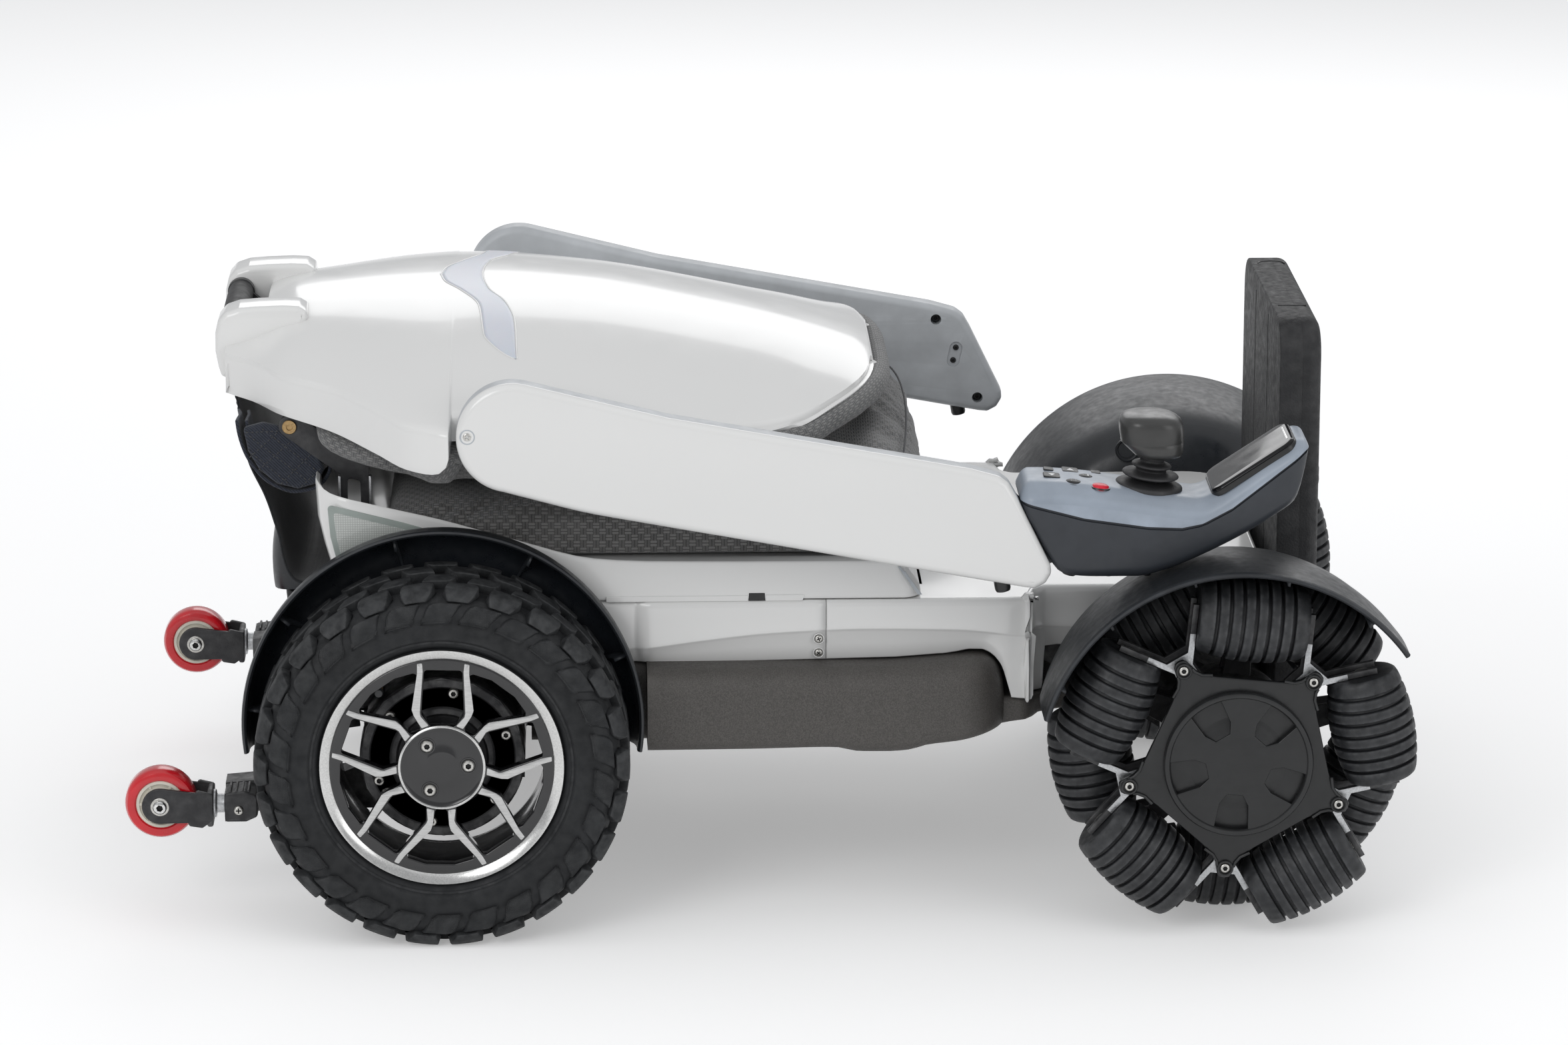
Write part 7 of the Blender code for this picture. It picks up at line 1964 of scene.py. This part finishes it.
def build_display():
    """A thin rim round the ramp, the dark glass in it and a bright trim on the glass."""
    lean = math.atan2(344.0 - 310.4, 575.0 - 524.0)
    across = Vector((0, 1, 0))
    along = Vector((math.cos(lean), 0, math.sin(lean)))
    turn = Matrix((along, across, along.cross(across))).transposed().to_4x4()
    ramp = Matrix.Translation(at(522.0, CONTROL_Y, 309.1)) @ turn

    def slab(name, low_u, high_u, half, radius, low, high, edge, look, steps=8):
        outline = rounded(rectangle(low_u, high_u, -half, half), radius, steps)
        return outline_solid(name, [outline], low, high, edge, ramp, LOOKS[look], "arm_right", 60, 6)

    slab("display_rim", -1.6, 65.6, 28.0, 9.4, -3.0, 0.5, 0.4, "plastic")
    glass = slab("display_glass", -1.0, 65.0, 27.4, 9.0, -3.0, 2.7, 2.6, "glass", 10)
    slab("display_trim", 60.2, 61.6, 15.0, 0.6, 2.0, 2.85, 0.12, "chrome", 4)


def build_controller_top():
    rows = []
    for x in TOP_STATIONS:
        half, seam, crest = controller_half(x), between(x, SEAM) + 0.35, flowing(x, TOP_LINE)
        drop = min(1.0, max(0.2, crest - seam - 0.2) / 13.0)
        edge = [(d * half / CONTROL_HALF, crest - flowing(d, SIDE_DROP) * drop) for d in TOP_STEPS]
        profile = [(1.2, seam), (0.3, seam), *edge]
        ring = [at(x, CONTROL_Y - half + d, z) for d, z in profile]
        rows.append(ring + [at(x, CONTROL_Y + half - d, z) for d, z in reversed(profile)])
    top = skin("controller_shell", rows, LOOKS["top"], "arm_right", ring=True, caps=True, angle=45)
    stands_for(top, "controller_top")
    build_display()


def build_controller_case():
    rows = []
    for x in CASE_STATIONS:
        half, seam, floor = controller_half(x) - 0.5, between(x, SEAM), flowing(x, CASE_FLOOR)
        depth = max(0.4, seam - floor)
        inner = half - min(3.0, depth * 0.06)
        radius = min(9.0, depth * 0.45, inner * 0.5)
        groove = min(1.5, depth * 0.2)
        side = [(half - 1.6, seam), (half - 1.6, seam - groove), (half, seam - groove - 0.25),
                (half + (inner - half) * 0.5, seam - depth * 0.5)]
        for step in range(9):
            turn = QUARTER * step / 8
            side.append((inner - radius + radius * math.cos(turn), floor + radius - radius * math.sin(turn)))
        ring = [at(x, CONTROL_Y - y, z) for y, z in side]
        rows.append(ring + [at(x, CONTROL_Y + y, z) for y, z in reversed(side)])
    case = skin("controller_body", rows, LOOKS["case"], "arm_right", ring=True, caps=True, angle=45)
    stands_for(case, "controller_case")
    plate = side_plate("controller_tongue", rounded(TONGUE, [5, 5, 4, 4, 6, 4, 4, 5], 6), (-236.3, -230.8),
                       0.9, LOOKS["case"], "arm_right")
    for index, (x, z) in enumerate(((364.5, 313.6), (386.5, 288.5), (396.0, 262.6))):
        screw(f"tongue_screw_{index}", at(x, -230.8, z), (0, 1, 0), 3.4, 1.8, "hex", LOOKS["zinc"],
              "arm_right", 17 * index)
    # under the case: the gland of its lead, and four screws
    turned("case_gland", CASE_GLAND, facing(at(428, -222, 252.2), (-0.25, 0, -1)), LOOKS["plastic"],
           "arm_right", 32)
    for index, (x, y) in enumerate(((452, -243), (452, -207), (478, -243), (478, -207))):
        screw(f"case_screw_{index}", at(x, y, 252.0), (0, 0, -1), 2.8, 1.4, "cross", LOOKS["plastic"],
              "arm_right", 31 * index)


def key_cap(name, x, y, size, look, body):
    """A push button's cap, square or domed, in its own pocket; size is its half sides or its radius."""
    place = top_place(x, y)
    if isinstance(size, tuple):
        u, v = size
        outline = rounded(rectangle(-u, u, -v, v), 1.7, 6)
        cap = outline_solid(name, [outline], -1.7, 1.9, 0.55, place, look, body)
        pocket = [[(u * 1.13, v * 1.13) for u, v in outline],
                  [(u * 1.05, v * 1.05) for u, v in reversed(outline)]]
        outline_solid(name + "_bezel", pocket, -0.6, 0.55, 0.15, place, LOOKS["plastic"], "arm_right",
                      segments=2)
    else:
        dome = [(0, 2.5), (size * 0.35, 2.45), (size * 0.62, 2.25), (size * 0.82, 1.85), (size * 0.94, 1.3),
                (size, 0.5), (size, -1.7), (0, -1.7)]
        cap = turned(name, dome, place, look, body, 40, 35)
        pocket = [(size + 0.35, -0.5), (size + 0.35, 0.5), (size + 0.6, 0.75), (size + 1.1, 0.7),
                  (size + 1.4, -0.2)]
        turned(name + "_bezel", pocket, place, LOOKS["plastic"], "arm_right", 40)
    if body != "arm_right":
        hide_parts(body)
    return place


def arrow(size, turn):
    return [(size * u, size * v) for u, v in spun(ARROW, turn)]


def build_buttons():
    bars = [rectangle(low, high, -1.7, 1.7) for low, high in ((-1.9, -0.5), (0.5, 1.9))]
    keys = (("square_rear", 413.5, -229.0, KEY_SIZE, 1.88, {"": arrow(4.6, 180)}),
            ("square_inner", 427.5, -209.5, KEY_SIZE, 1.88, {"": arrow(4.6, 0)}),
            ("round_outer", 427.5, -240.0, 5.8, 2.32, {"_0": bars[0], "_1": bars[1]}),
            ("round_middle", 437.0, -222.5, 5.5, 2.34, {"": arrow(4.0, 90)}))
    for name, x, y, size, height, signs in keys:
        body = f"button_{name}"
        place = key_cap(f"key_{name}", x, y, size, LOOKS["button"], body)
        for ending, outline in signs.items():
            outline_solid(f"sign_{name}{ending}", [outline], height, height + 0.12, 0.0, place,
                          LOOKS["mark"], body, segments=0)
    key_cap("key_red", 445.5, -243.5, 6.1, LOOKS["red"], "button_red")
    for index, (x, y) in enumerate(((445.0, -208.5), (412.5, -212.5))):
        key_cap(f"key_flat_{index}", x, y, FLAT_KEY_SIZE, LOOKS["button"], "arm_right")


# Joystick

STICK_X = 480.0
BELLOWS_BASE = [(10.6, -0.6), (22.8, -0.6), (22.8, 1.2), (22.4, 1.9), (21.2, 2.5), (17.6, 3.3), (13.6, 4.3),
                (12.6, 4.7), (12.2, 4.9), (10.6, 4.8)]
BELLOWS_MIDDLE = [(9.0, 4.6), (12.4, 5.4), (15.4, 6.8), (18.4, 7.5), (19.2, 8.1), (19.3, 8.7), (18.6, 9.5),
                  (15.2, 10.2), (11.4, 10.9), (9.0, 11.4)]
BELLOWS_UPPER = [(8.0, 10.6), (10.3, 11.2), (10.3, 12.6), (11.6, 13.4), (13.0, 14.0), (13.6, 14.7),
                 (13.5, 15.3), (12.8, 16.0), (10.4, 16.7), (8.6, 17.3), (8.2, 18.0), (8.6, 19.2),
                 (9.2, 20.6), (7.0, 20.8)]
# the knob's rings: height, rear, front and half width
KNOB_RINGS = [(329.8, 479.0, 495.0, 10.0), (330.5, 475.0, 499.5, 14.0), (331.4, 471.8, 501.4, 18.0),
              (333.0, 468.8, 502.3, 20.0), (335.0, 466.8, 502.7, 20.9), (338.0, 463.6, 502.9, 21.3),
              (340.4, 461.2, 502.9, 21.5), (341.0, 460.5, 502.9, 21.1), (341.5, 460.5, 502.9, 21.1),
              (342.1, 460.6, 502.9, 21.5), (348.0, 459.4, 502.8, 21.5), (352.0, 459.3, 502.3, 21.4),
              (354.6, 459.6, 501.5, 21.2), (356.6, 460.3, 499.2, 20.5), (358.2, 461.6, 496.3, 19.0),
              (359.2, 463.6, 493.0, 16.8), (359.8, 467.0, 489.0, 13.0), (360.0, 472.0, 484.0, 8.0)]
KNOB_ROUNDNESS = 2.7            # 2 would be an ellipse
KNOB_STEM = [(0, -24.0), (3.9, -24.0), (3.9, -3.0), (6.2, 0.0), (8.6, 1.4), (8.8, 5.0), (0, 8.0)]


def build_boot():
    place = top_place(STICK_X, CONTROL_Y)
    rubber = LOOKS["grip"]
    boot = turned("joystick_bellows", BELLOWS_BASE, place, rubber, "arm_right", 56, 60, True)
    stands_for(boot, "joystick_boot")
    fold = turned("bellows_middle", BELLOWS_MIDDLE, place, rubber, None, 56, 60, True)
    ends = [tuple(at(x, CONTROL_Y, z)) for x, z in (on_top(STICK_X), on_top(STICK_X, 17.0))]
    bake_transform(fold, "arm_right", "joystick_tilt_fore", start=ends[0], end=ends[1])
    turned("bellows_upper", BELLOWS_UPPER, place, rubber, "joystick_tilt_side", 56, 60, True)


def squared(value):
    """A sine or cosine pushed out, so that a ring becomes a rounded square."""
    return math.copysign(abs(value) ** (2 / KNOB_ROUNDNESS), value)


def build_knob():
    rows = []
    for z, rear, front, half in KNOB_RINGS:
        middle, reach = (rear + front) / 2, (front - rear) / 2
        turns = [math.tau * index / 48 for index in range(48)]
        rows.append([at(middle + reach * squared(math.cos(t)), CONTROL_Y + half * squared(math.sin(t)), z)
                     for t in turns])
    knob = skin("knob", rows, LOOKS["knob"], "joystick_tilt_side", ring=True, caps=True, angle=60)
    stands_for(knob, "joystick_knob")
    turned("knob_stem", KNOB_STEM, top_place(STICK_X, CONTROL_Y, 20.0), LOOKS["plastic"],
           "joystick_tilt_side", 32)
    dress("joystick_gimbal", LOOKS["frame"])


# Footplate

BOARD_HALF = 117.0
BOARD_LOW = 118.5
BOARD_TOP = 395.0


def build_footplate():
    turn = Matrix(((0, 0, 1, 0), (1, 0, 0, 0), (0, 1, 0, 0), (0, 0, 0, 1)))
    standing = Matrix.Translation(at(0, 0, 0)) @ turn

    def layer(name, outline, low, high, edge, look, angle, segments):
        return outline_solid(name, [outline], low, high, edge, standing, LOOKS[look], "footplate", angle,
                             segments)

    def panel(inset, low, top, radius, steps):
        return rounded(rectangle(inset - BOARD_HALF, BOARD_HALF - inset, low, top), radius, steps)

    outline = panel(0, BOARD_LOW, BOARD_TOP, [10, 10, 25, 25], 14)
    stands_for(layer("footplate_board", outline, 580.4, 597.8, 1.5, "footplate", 40, 4), "footplate")
    front = layer("footplate_front", outline, 587.6, 609.8, 8.6, "footplate", 60, 7)
    tread = panel(15, BOARD_LOW + 12, BOARD_TOP - 34, 8, 8)
    layer("footplate_tread", tread, 608.4, 610.3, 0.7, "grip", 40, 3)
    for index, z in enumerate(spaced(140, 352, 15)):
        layer(f"footplate_rib_{index}", panel(22, z - 2.1, z + 2.1, 1.9, 4), 609.6, 610.9, 0.5, "grip", 40,
              2)
    # dark lines along the top for the curved lip and the straight one that end a thumb recess: painted shade
    # of their grooves; and two fine lines behind
    lines = {"lip_far": ([at(595 + 9.6 * math.cos(a), 76 + 7.0 * math.sin(a), BOARD_TOP)
                          for a in spaced(0, math.pi, 17)], 0.0006, 8),
             "lip_near": ([at(x, -60, BOARD_TOP) for x in spaced(584.5, 604.5, 9)], 0.0005, 8),
             "line_0": ([at(580.4, -39, z) for z in spaced(128, 384, 9)], 0.0004, 6),
             "line_1": ([at(580.4, 39, z) for z in spaced(128, 384, 9)], 0.0004, 6)}
    for ending, (points, radius, sides) in lines.items():
        tube(f"footplate_{ending}", points, radius, LOOKS["plastic"], "footplate", sides)
    lug = [(606.8, 124.5), (593.2, 124.5), *arc((600, 112), 6.8, 180, 361, 15)]
    for side, sign in SIDES.items():
        side_plate(f"footplate_lug_{side}", lug, outward(sign, 70.3, 96.0), 0.6, LOOKS["footplate"],
                   "footplate", [circle((600, 112), 3.35, 24)])


# Anti-tip casters

CASTER_AXLE = (-194.7, 84.1)
CASTER_SIDE = 200.0
CASTER_TYRE = [(16.9, 9.0), (17.6, 9.7), (20.2, 9.9), (22.6, 9.1), (23.9, 7.2), (24.5, 4.6)]
CASTER_DISC = [(16.9, 8.4), (16.2, 9.1), (14.6, 9.1), (14.2, 8.2), (12.9, 7.8), (12.3, 9.5), (8.0, 9.9),
               (6.6, 9.9), (4.3, 9.6)]
CASTER_STEM = [(0, -2), (9.5, -2), (9.8, -1.6), (9.8, 1.4), (9.2, 1.9), (7.2, 2.2), (6.5, 2.6), (6.5, 7.4),
               (0, 7.4)]
CASTER_WASHER = [(0, 0.9), (6.0, 0.9), (6.4, 0.6), (6.4, -0.2), (0, -0.2)]
FORK_NECK = [(-176, 70.0), (-166, 68.4), (-158.6, 73.6), (-158.6, 92.6), (-170, 95.4)]
WEDGE = [(-150.6, 72.4), (-136, 72.4), (-128, 76.0), (-128, 91.0), (-137, 94.4), (-150.6, 92.8)]


def build_caster(side, sign):
    x, z = CASTER_AXLE
    y = sign * CASTER_SIDE
    fork, wheel = f"caster_fork_{side}", f"caster_wheel_{side}"
    axle = facing(at(x, y, z), (0, sign, 0))
    tyre = [*mirrored(CASTER_TYRE, [(24.5, 0.0)]), (16.4, -8.0), (16.4, 8.0)]
    red = turned(f"caster_tread_{side}", tyre, axle, LOOKS["red_tyre"], wheel, 56, 35, True)
    stands_for(red, wheel)
    turned(f"caster_core_{side}", mirrored(CASTER_DISC), axle, LOOKS["cream"], wheel, 48, 30, True)
    for index in range(6):
        u, v = polar(13.6, 60 * index)
        turned(f"caster_rivet_{side}_{index}", [(0, 8.9), (1.0, 8.7), (1.2, 8.0), (0, 7.8)],
               axle @ Matrix.Translation((u / 1000, v / 1000, 0)), LOOKS["cream"], wheel, 12, 40)
    for cheek in (-1, 1):
        outline = arc(CASTER_AXLE, 12.5, 84, 283, 9) + rounded(FORK_NECK, 2.0, 4)
        arm = side_plate(f"caster_cheek_{side}_{cheek + 1}", outline,
                         sorted((y + cheek * 11.3, y + cheek * 14.3)), 0.7, LOOKS["frame"], fork)
        if cheek < 0:
            stands_for(arm, fork)
        turned(f"caster_washer_{side}_{cheek + 1}", CASTER_WASHER,
               facing(at(x, y + cheek * 14.3, z), (0, cheek, 0)), LOOKS["zinc"], fork, 32)
        screw(f"caster_bolt_{side}_{cheek + 1}", at(x, y + cheek * 15.1, z), (0, cheek, 0), 4.9, 3.0, "hex",
              LOOKS["chrome"], fork, 15)
    turned(f"caster_pin_{side}", [(0, -12), (3.9, -12), (3.9, 12), (0, 12)], axle, LOOKS["steel"], fork, 24)
    block(f"caster_web_{side}", (-162.8, y - 14.2, 69.0), (-158.4, y + 14.2, 93.0), 1.6, LOOKS["frame"],
          fork, segments=3)
    turned(f"caster_stem_{side}", CASTER_STEM, facing(at(-158.6, y, 82), (1, 0, 0)), LOOKS["steel"], fork,
           36)


def build_caster_bracket(side, sign):
    """The wedge on the chassis that carries the caster, and the amber reflector of that side."""
    side_plate(f"bracket_wedge_{side}", rounded(WEDGE, [2, 2, 3, 3, 4, 2.4], 5), outward(sign, 189.5, 213.6),
               1.4, LOOKS["frame"], "chassis")
    middle = sign * 201.5
    for index in range(4):
        x = -147.6 + 4.2 * index
        block(f"bracket_rib_{side}_{index}", (x, middle - 10.5, 91.4), (x + 1.7, middle + 10.5, 95.0), 0.6,
              LOOKS["frame"], "chassis")
    screw(f"bracket_screw_{side}", at(-141, sign * 213.6, 81.0), (0, sign, 0), 3.4, 2.0, "cross",
          LOOKS["zinc"], "chassis")
    place = Matrix.Translation(at(520, sign * 158.0, 205)) @ Matrix.Rotation(-sign * QUARTER, 4, "X")
    outline_solid(f"side_reflector_{side}", [rounded(rectangle(-12, 12, -5.5, 5.5), 1.6, 4)], -1.0, 1.4, 0.5,
                  place, LOOKS["amber"], "chassis")


def build():
    make_looks()
    set_camera()
    set_stage()
    for side, sign in SIDES.items():
        build_tyre(side, sign)
        build_rim(side, sign)
        build_omni(side, sign)
    build_fenders()
    build_covers()
    build_housing()
    build_pan()
    build_seat_cushion()
    build_back_cushion()
    build_shell()
    build_handle()
    build_flap()
    build_belt()
    build_arms()
    build_controller_top()
    build_controller_case()
    build_buttons()
    build_boot()
    build_knob()
    build_footplate()
    for side, sign in SIDES.items():
        build_caster(side, sign)
        build_caster_bracket(side, sign)
    for node in ("chassis_frame", "lift_frame_rear", "lift_frame_front"):
        dress(node, LOOKS["frame"], 0.0007)


build()
